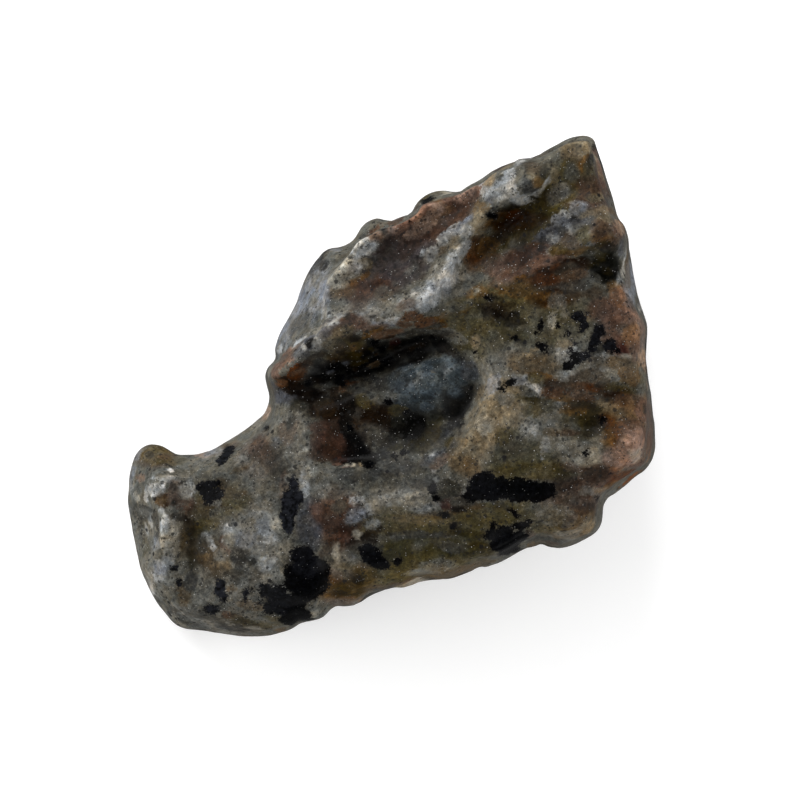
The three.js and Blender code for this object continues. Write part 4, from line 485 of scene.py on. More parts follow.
# Mineral patches on the near cheek, laid one over another [x, y, rx, ry, turn, colour, strength].
PATCHES = [
    (-7.66, 6.91, 2.17, 4, -22, "ash", 0.9), (-4.33, 4.83, 2, 1.17, 30, "grey", 0.6),
    (0.25, 10.5, 3.83, 2.17, 30, "mgrey", 0.85), (4, 14.41, 3.67, 1.67, 30, "mauve", 0.9),
    (2.75, 14.66, 3.67, 0.75, 30, "rosy", 0.5), (6.5, 16.16, 2.17, 0.83, 30, "rosy", 0.9),
    (-2, 8.16, 2.33, 1.17, 10, "mauve", 0.9), (-0.58, 6.66, 3.67, 0.92, 8, "pale", 0.5),
    (-3.5, 5.25, 2.17, 0.67, 20, "mauve", 0.5), (-5.16, 4.41, 1.17, 0.83, 20, "grey", 0.7),
    (11.08, 13.58, 3.67, 2, 30, "olive", 0.9), (11.5, 10.5, 3.33, 1.33, 18, "mauve", 0.9),
    (13.99, 17.33, 2.17, 2.83, 35, "khaki", 0.7), (17.33, 17.33, 1.17, 2.17, -15, "mauve", 0.8),
    (15.24, 16.08, 1.17, 1.17, 0, "mauve", 0.6), (15.08, 19.91, 1.67, 0.92, 0, "sand", 0.8),
    (12.74, 18.83, 2, 0.83, 25, "grey", 0.7), (10.66, 17.99, 2.5, 1.33, 25, "grey", 0.5),
    (18.16, 12.74, 1.5, 1.17, 0, "mauve", 0.9), (14.66, 12.99, 2, 1.33, 10, "steel", 0.7),
    (17.33, 14.83, 1.5, 0.67, 0, "mauve", 0.6), (8.16, 7.33, 3.33, 1.17, 12, "khaki", 0.7),
    (12.74, 5.66, 4.17, 2.17, 0, "khaki", 0.55), (7.33, 4, 2.17, 1.83, 0, "khaki", 0.7),
    (9.83, 3.58, 2.5, 1.67, 0, "grey", 0.5), (9, 1.5, 1.83, 1.67, 0, "pale", 0.7),
    (8.16, -1.83, 2.17, 2.83, -25, "sand", 0.9), (6.5, -5, 1.83, 1.83, -35, "sand", 0.8),
    (6.16, -6.66, 1.5, 0.83, -20, "sandd", 0.7), (11.5, 1.92, 2.17, 1, -8, "sandd", 0.6),
    (17.33, 1.5, 3.17, 1, 0, "pale", 0.7), (18.99, 4.83, 1.67, 2.17, 0, "rosy", 0.8),
    (20.66, 4.83, 0.67, 1.83, 0, "pink", 0.6), (13.99, -4.33, 4.17, 2.17, 6, "pale", 0.55),
    (10.66, -5.58, 2.33, 1.33, 10, "green", 0.6), (16.08, -2.67, 2, 1.67, 0, "olive", 0.7),
    (18.99, -3.08, 2, 2.17, 0, "tan", 0.7), (19.99, -4.75, 1.83, 2.17, 0, "rosy", 0.9),
    (21.32, -2.67, 0.67, 3, 0, "rosy", 0.7), (18.33, -7, 2.5, 1, 20, "rosy", 0.8),
    (16.91, -7.66, 2, 1.33, 0, "mauve", 0.7), (14.83, -9.16, 2.83, 1.67, 0, "mauve", 0.6),
    (15.24, -11.33, 2.5, 1.33, 0, "sandd", 0.75), (11.5, -6.83, 3.33, 0.83, 0, "khaki", 0.7),
    (-3.5, -8.66, 5, 1.17, 0, "grey", 0.6), (1.92, -9.33, 5, 1.17, 4, "pale", 0.75),
    (0.25, -11.41, 4.17, 0.83, 3, "khaki", 0.7), (5.66, -11.16, 4.17, 0.83, 0, "khaki", 0.7),
    (3.17, -13.08, 5, 1.17, 8, "green", 0.75), (8.16, -10.58, 3, 0.83, 0, "khaki", 0.8),
    (4.83, -13.33, 4.17, 0.67, 8, "green", 0.5), (1.92, -14.83, 3.83, 0.75, 8, "khaki", 0.8),
    (4.41, -15.33, 3.83, 0.58, 8, "sandd", 0.6), (12.74, -11, 1.67, 1.33, 0, "khaki", 0.5),
    (1.67, -3.08, 2.5, 1.83, 30, "olived", 0.8), (-3.92, -3.5, 2.17, 2.83, 0, "brown", 0.85),
    # the soot band at (-0.58, 2.5) is dark mineral together with painted shade under the brow
    (-0.58, 2.5, 5.16, 1.42, 14, "soot", 0.9), (-3.33, -5.16, 1.5, 1.5, 0, "soot", 0.8),
    (-7.66, 0.17, 2.17, 1.25, 0, "umber", 0.8), (5.41, -1.25, 1.17, 1.33, 0, "ink", 0.65),
    (-4.5, 1.33, 2.17, 1, 0, "soot", 0.8), (-4.75, -10.58, 2.17, 2.17, 0, "mauve", 0.85),
    (-6.75, -11, 1.17, 2.17, -5, "steel", 0.9), (-3.92, -15.99, 2.5, 1.83, 0, "tan", 0.7),
    (-4.33, -14.33, 1.17, 1.5, 0, "pale", 0.7), (-0.58, -15.33, 2.17, 1, 8, "khaki", 0.6),
    (-12.25, -11, 2.5, 1.33, 0, "pale", 0.6), (-11, -14.33, 2.17, 2.17, 0, "pale", 0.6),
    (-10.83, -9.33, 1.83, 1.83, 0, "pale", 0.5), (-11.16, -5.58, 1.67, 2, 0, "mauve", 0.4),
    (-8.5, -4.33, 1.33, 2.5, 0, "pale", 0.4), (-14.16, -9.33, 2.17, 1.5, 10, "khaki", 0.6),
    (-15.58, -6.83, 2.83, 0.83, 10, "grey", 0.8), (-18.49, -6.83, 1.83, 1.17, 0, "grey", 0.7),
    (-19.74, -5.58, 2, 1.17, 0, "mauve", 0.5), (-19.74, -5.66, 1.67, 0.83, 0, "khaki", 0.6),
    (-20.58, -12.66, 1.17, 3, -5, "pale", 0.6), (-18.33, -11.83, 1, 2.17, 0, "pale", 0.8),
    (-16.41, -13.08, 1.17, 2.5, -5, "olive", 0.7), (-18.66, -16.66, 1.5, 1.67, 0, "grey", 0.7),
    (-14.74, -14.33, 1.33, 1.83, 0, "sandd", 0.6), (-15.99, -16.83, 2, 1.33, 0, "grey", 0.5),
    (-12.66, -16.83, 2.5, 1.5, 0, "pale", 0.6), (-15.58, -19.16, 4.17, 0.75, -14, "pale", 0.75),
    (-9.75, -16.41, 1.5, 1.33, 0, "pale", 0.4), (9.83, -8.41, 2.67, 0.58, 0, "soot", 0.9),
    (-7.25, -15.33, 1.33, 1.83, 10, "soot", 0.95), (-8.66, -17.99, 1.83, 1, -32, "soot", 0.9),
    (9.5, -12.74, 1.08, 0.75, 0, "soot", 0.85), (-1.33, -14.08, 1, 0.67, -25, "soot", 0.85),
    (16.91, 3.83, 0.67, 1.33, -12, "soot", 0.6), (-5.83, 10.5, 0.83, 1.08, 35, "dgrey", 0.95),
    (-6.16, 9, 0.67, 0.83, 30, "grey", 0.6), (-7.41, 4.83, 0.5, 1.83, -28, "grey", 0.6),
    (-7, 5.83, 0.25, 1.08, -5, "dgrey", 0.7), (-6.33, 7.33, 0.25, 0.83, 0, "steel", 0.5),
    (-7.75, 6.33, 0.2, 0.42, -25, "ink", 0.5), (-6.83, 4.83, 0.17, 0.33, -30, "ink", 0.5),
    (-7.33, 7.66, 0.17, 0.67, -20, "steel", 0.6), (-8, 4.83, 0.25, 1, -28, "steel", 0.5),
    (-9.08, 3.5, 0.42, 0.42, 0, "dgrey", 0.7), (-7.91, 4, 0.83, 0.33, 30, "steel", 0.5),
    (-8.33, 5.83, 0.33, 0.75, -20, "grey", 0.5), (-4.58, 11.33, 0.67, 0.33, 20, "ash", 0.5),
    (-5.16, 11, 0.5, 0.33, 30, "grey", 0.6), (-1.67, 13.33, 1.42, 0.67, 25, "mauve", 0.9),
    (-2.5, 12.66, 0.75, 0.42, 40, "dgrey", 0.7), (-0.17, 13.83, 0.83, 0.33, 10, "grey", 0.8),
    (4.58, 16.16, 1.25, 0.5, 8, "cream", 0.7), (4, 15.66, 0.83, 0.25, 20, "sandd", 0.4),
    (3.17, 15.83, 1.25, 0.5, 22, "khaki", 0.7), (2.92, 15.66, 0.83, 0.37, 22, "soot", 0.9),
    (1.92, 14.91, 0.58, 0.33, 30, "mauve", 0.5), (5, 16.33, 0.75, 0.25, 0, "pale", 0.5),
    (-3.5, 11.83, 1.17, 0.5, 22, "grey", 0.9), (-3, 11.41, 0.67, 0.33, 20, "dgrey", 0.4),
    (-2.42, 12, 0.5, 0.75, -10, "chalk", 0.8), (-3.33, 10.08, 1.25, 0.67, 22, "cream", 0.75),
    (-3.92, 9.83, 0.58, 0.33, 20, "cream", 0.5), (-4.75, 9.33, 0.83, 0.5, 35, "pale", 0.85),
    (-2.83, 9.58, 0.5, 0.58, 0, "cream", 0.6), (-5.33, 8, 0.58, 1.25, -8, "ash", 0.8),
    (-5.5, 6.5, 0.42, 1.08, -5, "ash", 0.6), (-3.92, 8.16, 1.17, 0.83, 10, "sandd", 0.5),
    (-2.42, 9.33, 0.67, 0.33, 20, "tan", 0.7), (-3.33, 8.66, 0.5, 0.42, 0, "tan", 0.5),
    (-1.67, 8.16, 1.33, 0.67, 0, "mauved", 0.6), (-1.67, 8.41, 1.5, 0.75, 0, "mauve", 0.9),
    (-2.33, 7.75, 0.83, 0.42, 0, "mauve", 0.7), (-0.67, 12.91, 0.42, 0.33, 20, "ink", 0.65),
    (-1.42, 12.49, 0.67, 0.42, 0, "rosy", 0.6), (0.67, 13.66, 1.17, 0.5, 22, "rosy", 0.7),
    (-0.58, 11.91, 1.17, 0.5, 30, "mauved", 0.6), (1.33, 11.5, 1.5, 0.75, 35, "mauved", 0.45),
    (0.25, 9.66, 1.33, 0.67, 20, "mgrey", 0.7), (2.33, 9.83, 1.17, 0.67, 35, "mgrey", 0.5),
    (3.67, 14.91, 0.75, 0.42, 20, "sandd", 0.5), (5.25, 15.24, 1.5, 0.58, 28, "mauve", 0.8),
    (2.75, 14.58, 1, 0.33, 28, "rosy", 0.6), (4, 14.66, 1, 0.42, 28, "sandd", 0.5),
    (4, 13.33, 1.83, 0.67, 30, "mauve", 0.6), (2.17, 12.49, 1.17, 0.67, 30, "mauved", 0.5),
    (2.83, 11.16, 0.42, 0.33, 20, "chalk", 0.7), (2.17, 10.75, 0.33, 0.25, 0, "ink", 0.6),
    (1.58, 9.75, 0.58, 0.25, 35, "pale", 0.4), (3.67, 10.83, 1.17, 0.83, 40, "grey", 0.7),
    (4, 11.66, 1.17, 0.58, 35, "sandd", 0.4), (4.5, 12.49, 1.17, 0.42, 36, "chalk", 0.6),
    (5.33, 13.16, 1, 0.42, 34, "chalk", 0.6), (5.5, 13.24, 0.5, 0.2, 34, "white", 0.5),
    (6.33, 13.58, 1, 0.5, 30, "ash", 0.7), (5.25, 12.25, 1.17, 0.42, 35, "sand", 0.5),
    (7.33, 14.66, 0.83, 0.83, 30, "sandd", 0.7), (6.66, 12.74, 0.75, 1, 30, "sand", 0.4),
    (5.91, 12.33, 0.5, 0.42, 40, "grey", 0.5), (7.66, 13.58, 0.67, 0.83, 0, "sandd", 0.5),
    (2.92, 7.5, 1.42, 0.83, 28, "chalk", 0.7), (3.17, 8, 0.83, 0.42, 28, "white", 0.45),
    (3.92, 8.75, 1.67, 1, 52, "chalk", 0.75), (4.41, 9.41, 1, 0.33, 52, "white", 0.5),
    (5.08, 10.5, 1.08, 0.67, 58, "chalk", 0.65), (3.42, 8.41, 0.33, 0.25, 0, "steel", 0.6),
    (4.5, 8.5, 0.25, 0.33, 0, "steel", 0.6), (3.83, 9.66, 0.33, 0.2, 50, "grey", 0.6),
    (5.25, 10, 0.2, 0.33, 0, "grey", 0.5), (2.67, 7.08, 0.33, 0.17, 0, "steel", 0.5),
    (5.75, 11.66, 0.92, 0.42, 52, "chalk", 0.6), (2.08, 6.66, 0.83, 0.33, 20, "chalk", 0.6),
    (2.17, 8.16, 0.67, 0.42, 40, "chalk", 0.6), (4.5, 8, 0.58, 0.5, 50, "steel", 0.5),
    (5.08, 8.66, 0.5, 0.67, 50, "grey", 0.5), (0.67, 6.83, 1.5, 0.67, 15, "pale", 0.5),
    (1, 7, 0.67, 0.33, 15, "chalk", 0.4), (-0.33, 5.5, 1.67, 0.37, 8, "ash", 0.8),
    (0, 5.66, 0.67, 0.22, 8, "white", 0.4), (-1.67, 6.33, 1.17, 0.42, 0, "chalk", 0.35),
    (-3.08, 6.91, 1.33, 0.67, 20, "mauve", 0.5), (1.33, 6.83, 0.83, 0.5, 0, "mauve", 0.6),
    (2.75, 6.58, 0.83, 0.25, 15, "rustd", 0.6), (-3.33, 5.5, 1.33, 0.58, 10, "mauve", 0.8),
    (-1.42, 5.08, 1.17, 0.42, 10, "rosy", 0.6), (-3.75, 5.91, 0.33, 0.29, 0, "ink", 0.7),
    (-1.58, 5.91, 0.29, 0.25, 0, "ink", 0.7), (-4.83, 4.91, 0.75, 0.5, 20, "steel", 0.8),
    (-5.83, 5.83, 0.5, 0.83, -40, "chalk", 0.5), (-4.33, 6.33, 1.17, 0.58, 30, "chalk", 0.4),
    (1.75, 5.75, 0.92, 0.42, 10, "rust", 0.7), (1, 5.33, 0.67, 0.33, 0, "rust", 0.6),
    (4, 5.66, 2, 0.42, 10, "ochre", 0.85), (5.25, 6.25, 1.17, 0.42, 10, "ochre", 0.5),
    (3.17, 5.33, 1, 0.33, 0, "umber", 0.6), (5.5, 5.5, 0.83, 0.67, 0, "khaki", 0.6),
    (8.5, 16.58, 1.25, 0.67, 22, "chalk", 0.8), (9.66, 16.83, 0.58, 1.42, -15, "chalk", 0.85),
    (9.75, 16.66, 0.33, 0.83, -15, "white", 0.55), (9, 15.83, 1.33, 0.5, 10, "chalk", 0.7),
    (10.5, 18.58, 0.67, 0.42, 0, "chalk", 0.7), (7.75, 16.99, 0.67, 0.5, 0, "chalk", 0.7),
    (10.66, 15.66, 1.17, 0.42, 15, "chalk", 0.6), (11.25, 18.16, 1.08, 0.67, 20, "dgrey", 0.8),
    (11.16, 16.66, 1.17, 0.75, -20, "dgrey", 0.85), (11.75, 17.58, 0.58, 0.5, 0, "greige", 0.6),
    (12, 16.99, 0.5, 0.42, 0, "tan", 0.6), (12.41, 17.66, 0.29, 0.29, 0, "ink", 0.5),
    (12.83, 17.16, 0.92, 0.18, 50, "chalk", 0.7), (11.75, 16.08, 0.75, 0.29, 25, "chalk", 0.5),
    (10.58, 17.58, 0.33, 0.83, -10, "grey", 0.5), (11.58, 15.74, 0.33, 0.25, 0, "ink", 0.6),
    (8.58, 15.24, 1, 0.37, -20, "steel", 0.75), (9.5, 14.99, 1.33, 0.33, 12, "umber", 0.8),
    (9.41, 13.99, 1.67, 0.83, 15, "rustd", 0.9), (10.83, 13.83, 1.67, 0.67, 25, "rustd", 0.7),
    (11.91, 13.83, 1.17, 0.58, 25, "brown", 0.6), (10, 14.33, 0.67, 0.42, 10, "rust", 0.4),
    (12.33, 14.99, 1.5, 0.58, 45, "brown", 0.5), (9, 12.74, 1.17, 0.67, 20, "rustd", 0.5),
    (12.99, 16.33, 1.17, 0.58, 45, "olive", 0.8), (13.58, 15.24, 1, 0.67, 40, "khaki", 0.6),
    (13.66, 17.33, 0.75, 1, 30, "sand", 0.5), (8.25, 14.24, 0.54, 0.25, 0, "soot", 0.9),
    (7.75, 14.16, 0.21, 0.21, 0, "soot", 0.8), (9, 15.08, 0.67, 0.25, 10, "olived", 0.6),
    (10.66, 12.49, 1.17, 0.5, 20, "brown", 0.4), (6.83, 11.33, 0.92, 1.17, 20, "rust", 0.6),
    (7.66, 11.83, 1, 0.67, 20, "rustd", 0.7), (6.25, 10.33, 0.58, 0.83, 20, "rustd", 0.8),
    (7.16, 12.33, 0.67, 0.5, 20, "rustd", 0.6), (7.16, 9.83, 0.75, 0.67, 30, "tan", 0.6),
    (7.16, 10.5, 0.67, 0.42, 0, "rustd", 0.5), (8.16, 10.5, 0.83, 0.75, 0, "mauve", 0.6),
    (8.75, 9.66, 1.17, 0.5, 10, "rosy", 0.5), (10.5, 11.66, 1.17, 0.5, 5, "dgrey", 0.6),
    (12.83, 12.58, 1, 0.58, 12, "steel", 0.85), (13.33, 12.33, 0.5, 0.33, 0, "chalk", 0.4),
    (10.91, 10.91, 1.42, 0.75, 12, "mauved", 0.8), (9.83, 10.5, 0.83, 0.58, 0, "mauve", 0.6),
    (12.08, 11.66, 1, 0.5, 0, "mauve", 0.5), (12.99, 11.08, 0.33, 0.75, -25, "chalk", 0.6),
    (12.33, 11.5, 0.29, 0.29, 0, "ink", 0.7), (12.33, 10.5, 1.33, 0.5, 15, "rosy", 0.5),
    (9.5, 8.91, 1.33, 0.42, 10, "rosy", 0.5), (6.5, 8.75, 1.17, 0.5, 40, "grey", 0.5),
    (14.66, 13.66, 1, 0.75, 0, "steel", 0.8), (15.16, 15.16, 0.75, 0.25, 5, "cream", 0.55),
    (14.33, 14.33, 0.42, 0.33, -20, "chalk", 0.6), (14.66, 12.74, 0.67, 0.75, 0, "chalk", 0.4),
    (13.99, 13.33, 0.33, 0.67, 0, "dgrey", 0.4), (15.49, 12.99, 0.67, 0.67, 0, "grey", 0.6),
    (16.49, 15.66, 1.17, 0.67, 0, "mauve", 0.6), (16.49, 14.49, 1.5, 0.42, 5, "sand", 0.5),
    (16.33, 12.99, 0.75, 0.21, 42, "chalk", 0.8), (16.99, 13.49, 0.58, 0.17, 42, "chalk", 0.6),
    (15.08, 14.08, 0.21, 0.21, 0, "ink", 0.7), (12.33, 11.83, 0.17, 0.17, 0, "ink", 0.5),
    (17.83, 13.33, 1.25, 0.75, 0, "mauve", 0.85), (17.33, 13.83, 0.83, 0.33, 0, "rosy", 0.5),
    (18.33, 14.41, 1, 0.33, -10, "sandd", 0.5), (17.33, 12.49, 1.17, 0.42, 0, "tan", 0.5),
    (18.99, 12.99, 0.5, 0.75, 0, "mauve", 0.5), (15.33, 18.58, 1, 0.83, 0, "tan", 0.8),
    (14.83, 19.16, 0.67, 0.5, 0, "greige", 0.4), (16.49, 19.91, 0.2, 0.67, -15, "umber", 0.85),
    (16.16, 18.91, 0.2, 0.67, -18, "rustd", 0.75), (15.99, 17.91, 0.25, 0.67, -5, "brown", 0.4),
    (17.24, 18.74, 0.42, 1.25, -12, "pink", 0.8), (16.83, 19.66, 0.25, 0.5, -10, "rosy", 0.7),
    (17.33, 17.16, 0.75, 0.83, 0, "rosy", 0.7), (16.83, 16.66, 0.67, 0.67, 0, "mauve", 0.6),
    (15.83, 16.91, 0.67, 0.83, 0, "mauve", 0.6), (14.41, 16.33, 1, 1, 30, "khaki", 0.6),
    (14.58, 17.99, 0.83, 1, 30, "khaki", 0.6), (13.99, 19.99, 0.83, 0.42, 30, "dgrey", 0.5),
    (14.24, 19.24, 0.42, 0.5, 0, "brown", 0.4), (12.99, 19.16, 1.17, 0.5, 25, "grey", 0.5),
    (17.83, 15.91, 0.25, 0.25, 0, "ink", 0.5), (16.74, 20.08, 0.21, 0.25, 0, "umber", 0.7),
    (15.24, 20.41, 1.17, 0.42, 10, "pale", 0.4), (15.24, 11.5, 1.33, 0.5, 8, "ochre", 0.6),
    (17.49, 11.5, 1.17, 0.58, 0, "olive", 0.8), (16.08, 10.5, 1.5, 0.58, 8, "olive", 0.8),
    (17.58, 10.16, 1.17, 1.33, 0, "olived", 0.85), (16.66, 11.33, 1, 0.42, 10, "olive", 0.7),
    (16.66, 11, 0.83, 0.5, 0, "olived", 0.6), (17.99, 11.5, 0.83, 0.42, 0, "olived", 0.7),
    (18.33, 9.25, 0.58, 0.75, 0, "soot", 0.85), (16.99, 9.66, 0.67, 0.67, -20, "olived", 0.8),
    (17.83, 9, 1, 0.5, -10, "olived", 0.9), (16.16, 10.75, 1, 0.37, 5, "olived", 0.6),
    (14.66, 10.16, 1.67, 0.58, 12, "rustd", 0.95), (12.99, 9.83, 1.25, 0.42, 20, "rustd", 0.8),
    (13.66, 10, 0.67, 0.25, 12, "rust", 0.6), (15.24, 9.66, 1, 0.42, 10, "rustd", 0.8),
    (12.16, 8.75, 2, 0.46, 6, "rustd", 0.95), (11.5, 8.91, 1.17, 0.25, 6, "rust", 0.7),
    (10.91, 8.91, 1, 0.42, 0, "ochre", 0.6), (13.33, 8.16, 1.25, 0.42, 0, "rustd", 0.95),
    (12.99, 8.16, 0.5, 0.29, 30, "umber", 0.7), (14.66, 8.58, 1.33, 0.5, -5, "brown", 0.6),
    (15.24, 7.91, 0.83, 0.42, -20, "brown", 0.5), (10.25, 8.16, 1.5, 0.42, 6, "tan", 0.7),
    (11.66, 7.75, 1.67, 0.42, 0, "tan", 0.6), (9, 8.66, 1, 0.33, 15, "rosy", 0.4),
    (17.33, 8, 1.17, 0.58, 0, "grey", 0.4), (18.99, 7.41, 1, 1.17, 0, "pink", 0.85),
    (19.66, 6.16, 0.67, 1, 0, "pink", 0.6), (18.33, 8.33, 0.67, 0.58, 0, "tan", 0.7),
    (17.66, 6.33, 1.67, 1, 0, "rosy", 0.7), (19.41, 7.08, 0.33, 1, 35, "dgrey", 0.5),
    (16.49, 9, 0.67, 0.5, 0, "pale", 0.3), (18.91, 10.5, 0.25, 1.83, -8, "chalk", 0.6),
    (19.74, 9.16, 0.67, 3, -10, "ash", 0.9), (19.49, 9.83, 0.42, 2.17, -6, "sandd", 0.5),
    (19.49, 11.91, 0.33, 1.17, -5, "sandd", 0.6), (20.49, 6.91, 0.33, 1.17, -20, "chalk", 0.4),
    (18.74, 11.5, 0.25, 0.83, 0, "steel", 0.7), (7.16, 8, 1.08, 0.5, 10, "tan", 0.6),
    (7.08, 8, 0.25, 0.17, 20, "cream", 0.5), (8.16, 7.5, 0.37, 0.33, 0, "ink", 0.7),
    (9, 7.33, 0.25, 0.17, 0, "ink", 0.6), (8.58, 6.5, 1.42, 0.75, -8, "umber", 0.85),
    (8.16, 6, 0.92, 0.75, 0, "umber", 0.8), (10.16, 5.83, 0.62, 0.5, 0, "soot", 0.85),
    (9.5, 6.83, 0.67, 0.33, 0, "brown", 0.6), (10.83, 5.5, 0.42, 0.25, -20, "ink", 0.6),
    (5.66, 6.91, 1.17, 0.58, 20, "grey", 0.6), (5.25, 4.41, 1.17, 0.5, -30, "pale", 0.5),
    (6.91, 3.75, 0.42, 0.67, 0, "sand", 0.7), (6.66, 2.67, 0.83, 0.5, -20, "pale", 0.4),
    (10.66, 2.58, 1, 0.22, 14, "sand", 0.7), (11.83, 3.17, 0.5, 0.22, 20, "sand", 0.7),
    (12.33, 0.83, 1.25, 0.42, -5, "tan", 0.8), (11.5, 0.67, 0.67, 0.33, 0, "olive", 0.5),
    (10.08, 4.41, 1.17, 0.5, 0, "green", 0.6), (9, 5.25, 1, 0.5, 0, "green", 0.5),
    (13.16, 5.5, 0.42, 0.75, 0, "cream", 0.6), (14.49, 2.75, 1.17, 0.83, 0, "chalk", 0.45),
    (14.16, 3.58, 0.75, 0.42, 0, "sand", 0.6), (15.24, 1.08, 1.67, 0.5, 0, "chalk", 0.35),
    (15.66, 4.41, 2, 0.83, 0, "grey", 0.4), (13.66, 7.16, 0.83, 0.67, 0, "pale", 0.4),
    (14.24, 6.16, 0.42, 0.33, 0, "cream", 0.3), (11.5, 0.17, 1.5, 0.37, -35, "chalk", 0.85),
    (10.41, 0.92, 0.58, 0.28, -35, "pale", 0.8), (12.16, -0.33, 0.75, 0.25, -36, "white", 0.5),
    (13.16, -1.33, 0.83, 0.5, 0, "chalk", 0.4), (13.66, -0.25, 1.08, 0.75, -10, "rustd", 0.95),
    (13.33, 0.33, 1, 0.42, 0, "rustd", 0.8), (14.99, 0.17, 1.17, 0.5, 0, "rustd", 0.7),
    (14.16, -1, 1.33, 0.33, -5, "tan", 0.7), (16.49, 0.17, 1.67, 0.5, 8, "rust", 0.55),
    (17.99, -0.25, 2, 0.58, -8, "rustd", 0.85), (19.66, -1, 1.5, 0.58, -10, "brown", 0.25),
    (19.83, -1.17, 1.83, 0.75, 0, "tanp", 0.5), (18.33, -1.17, 1.17, 0.5, 0, "rust", 0.45),
    (17.33, 0.33, 0.67, 0.33, 30, "rustd", 0.4), (18.99, 0, 1.33, 0.5, -10, "khaki", 0.5),
    (20.66, -1.83, 0.75, 1.17, 0, "rosy", 0.9), (20.91, -1.67, 0.33, 0.5, 0, "mauved", 0.5),
    (17.66, -1.17, 1, 0.42, 0, "sand", 0.6), (18.16, -2, 0.92, 0.75, 0, "sand", 0.5),
    (15.08, 0.92, 0.58, 0.25, 0, "rustd", 0.6), (19.16, 3.42, 0.92, 0.58, -10, "plum", 0.85),
    (18.33, 4, 0.67, 0.42, 0, "plum", 0.5), (20.08, 2.33, 0.58, 0.75, 0, "ochre", 0.45),
    (19.99, 3.58, 0.5, 1.33, 0, "rosy", 0.6), (20.66, 1.33, 0.42, 1.33, 0, "khaki", 0.4),
    (19.16, 2.5, 0.58, 0.29, 0, "cream", 0.5), (17.08, 2.33, 1.17, 0.58, 10, "chalk", 0.4),
    (18.16, 1.92, 1.17, 0.58, 0, "chalk", 0.4), (17.33, 6.66, 1.17, 0.67, 0, "mauve", 0.4),
    (11.41, -1.33, 1.17, 0.58, 0, "olive", 0.85), (12.74, -1.58, 0.67, 0.75, 0, "olive", 0.5),
    (10.33, -0.83, 0.5, 0.5, 0, "khaki", 0.5), (11.83, -3.5, 0.42, 0.5, 20, "chalk", 0.75),
    (11.58, -3.08, 0.13, 0.13, 0, "white", 0.5), (11.08, -3.08, 0.5, 0.67, 0, "chalk", 0.3),
    (16.49, -2.5, 1.33, 1.08, 0, "olive", 0.75), (16.66, -3.17, 0.75, 1, -30, "olived", 0.6),
    (14.83, -2, 1.17, 0.5, 0, "tan", 0.5), (17.33, -2.5, 0.33, 0.33, 0, "soot", 0.8),
    (15.66, -1.42, 1, 0.42, 0, "brown", 0.5), (18.33, -3.33, 0.92, 1.17, 0, "rust", 0.5),
    (17.83, -4.33, 0.75, 0.75, 0, "tan", 0.5), (9.66, -4.33, 0.92, 1.08, 0, "dgrey", 0.45),
    (9.66, -3.67, 0.83, 0.5, 0, "green", 0.5), (13.99, -3.33, 2, 0.5, 0, "grey", 0.4),
    (14.49, -3.67, 1.17, 0.25, 0, "mauve", 0.6), (13.16, -3.67, 0.58, 0.33, 0, "sandd", 0.5),
    (12.58, -5, 0.5, 1, -10, "chalk", 0.5), (14.83, -5, 1.67, 0.58, 10, "pale", 0.5),
    (13.33, -5.58, 1, 0.33, 0, "olive", 0.4), (16.49, -5.33, 1.33, 0.42, 0, "sand", 0.4),
    (9, -3.08, 0.67, 1, -20, "sand", 0.4), (10.66, -2, 1.17, 0.83, 0, "sand", 0.3),
    # the cream speck at (20.08, -5.66) is a painted highlight on the jaw knob
    (20.08, -5.66, 0.58, 0.67, 15, "cream", 0.35), (20.16, -4.5, 0.75, 1.17, 0, "pink", 0.75),
    (19.16, -7.16, 1.5, 0.58, 22, "rust", 0.7), (18.16, -8, 1, 0.42, 25, "tan", 0.7),
    (20.66, -6.16, 0.5, 0.67, 0, "rosy", 0.6), (21.32, -5.16, 0.5, 1.67, 0, "rosy", 0.6),
    (17.74, -6.16, 1.33, 0.5, 0, "grey", 0.4), (16.49, -7.25, 1.17, 0.67, 0, "brown", 0.5),
    (13.83, -6.75, 0.83, 0.5, 0, "olive", 0.7), (13.99, -7.83, 1, 0.75, 0, "brown", 0.55),
    (15.24, -6.41, 1.5, 0.5, 0, "mauve", 0.6), (16.49, -8.5, 1.17, 0.42, -10, "pale", 0.45),
    (17.33, -8.33, 0.83, 0.33, 0, "sand", 0.3), (-8.91, 2.42, 1.42, 0.58, 28, "rosy", 0.8),
    (-9.08, 2.25, 0.75, 0.33, 30, "mauve", 0.5), (-9.75, 1.5, 0.67, 0.75, 0, "rosy", 0.8),
    (-7.66, 3.17, 0.83, 0.42, 30, "rosy", 0.4), (-7, 3.67, 1.17, 0.58, 32, "steel", 0.8),
    (-6.58, 3.67, 0.5, 0.33, 25, "ink", 0.95), (-7.16, 3.33, 0.17, 0.33, 30, "chalk", 0.6),
    (-6.08, 3.92, 0.17, 0.25, 30, "chalk", 0.6), (-5.58, 4.75, 0.33, 0.25, 0, "ink", 0.7),
    (-5, 5, 0.25, 0.17, 0, "ink", 0.6), (-5.41, 4.25, 0.25, 0.2, 0, "ink", 0.6),
    (-7.41, 2.75, 0.75, 0.33, 20, "steel", 0.6), (-5.83, 3.5, 0.83, 0.58, 40, "chalk", 0.5),
    (-5.58, 3, 0.67, 0.33, 40, "dgrey", 0.6), (-5.16, 4.83, 0.92, 0.5, 30, "steel", 0.6),
    (-3.92, 4.66, 1, 0.5, 20, "mauve", 0.6), (-5.16, 3.83, 0.75, 0.33, 30, "chalk", 0.5),
    (-4.08, 3.25, 1.5, 0.75, 18, "olive", 0.8), (-2.5, 3, 1.17, 0.67, 10, "olive", 0.8),
    (-3.5, 3.83, 1, 0.33, 15, "khaki", 0.5), (-3.92, 4.17, 1.67, 0.25, 6, "umber", 0.6),
    (-2.25, 3.92, 1, 0.33, 10, "olive", 0.8), (-1.5, 4.5, 1, 0.37, 18, "ochre", 0.85),
    (-0.33, 4.5, 0.83, 0.42, 10, "rustd", 0.9), (0.25, 3.92, 0.5, 0.33, 0, "plum", 0.4),
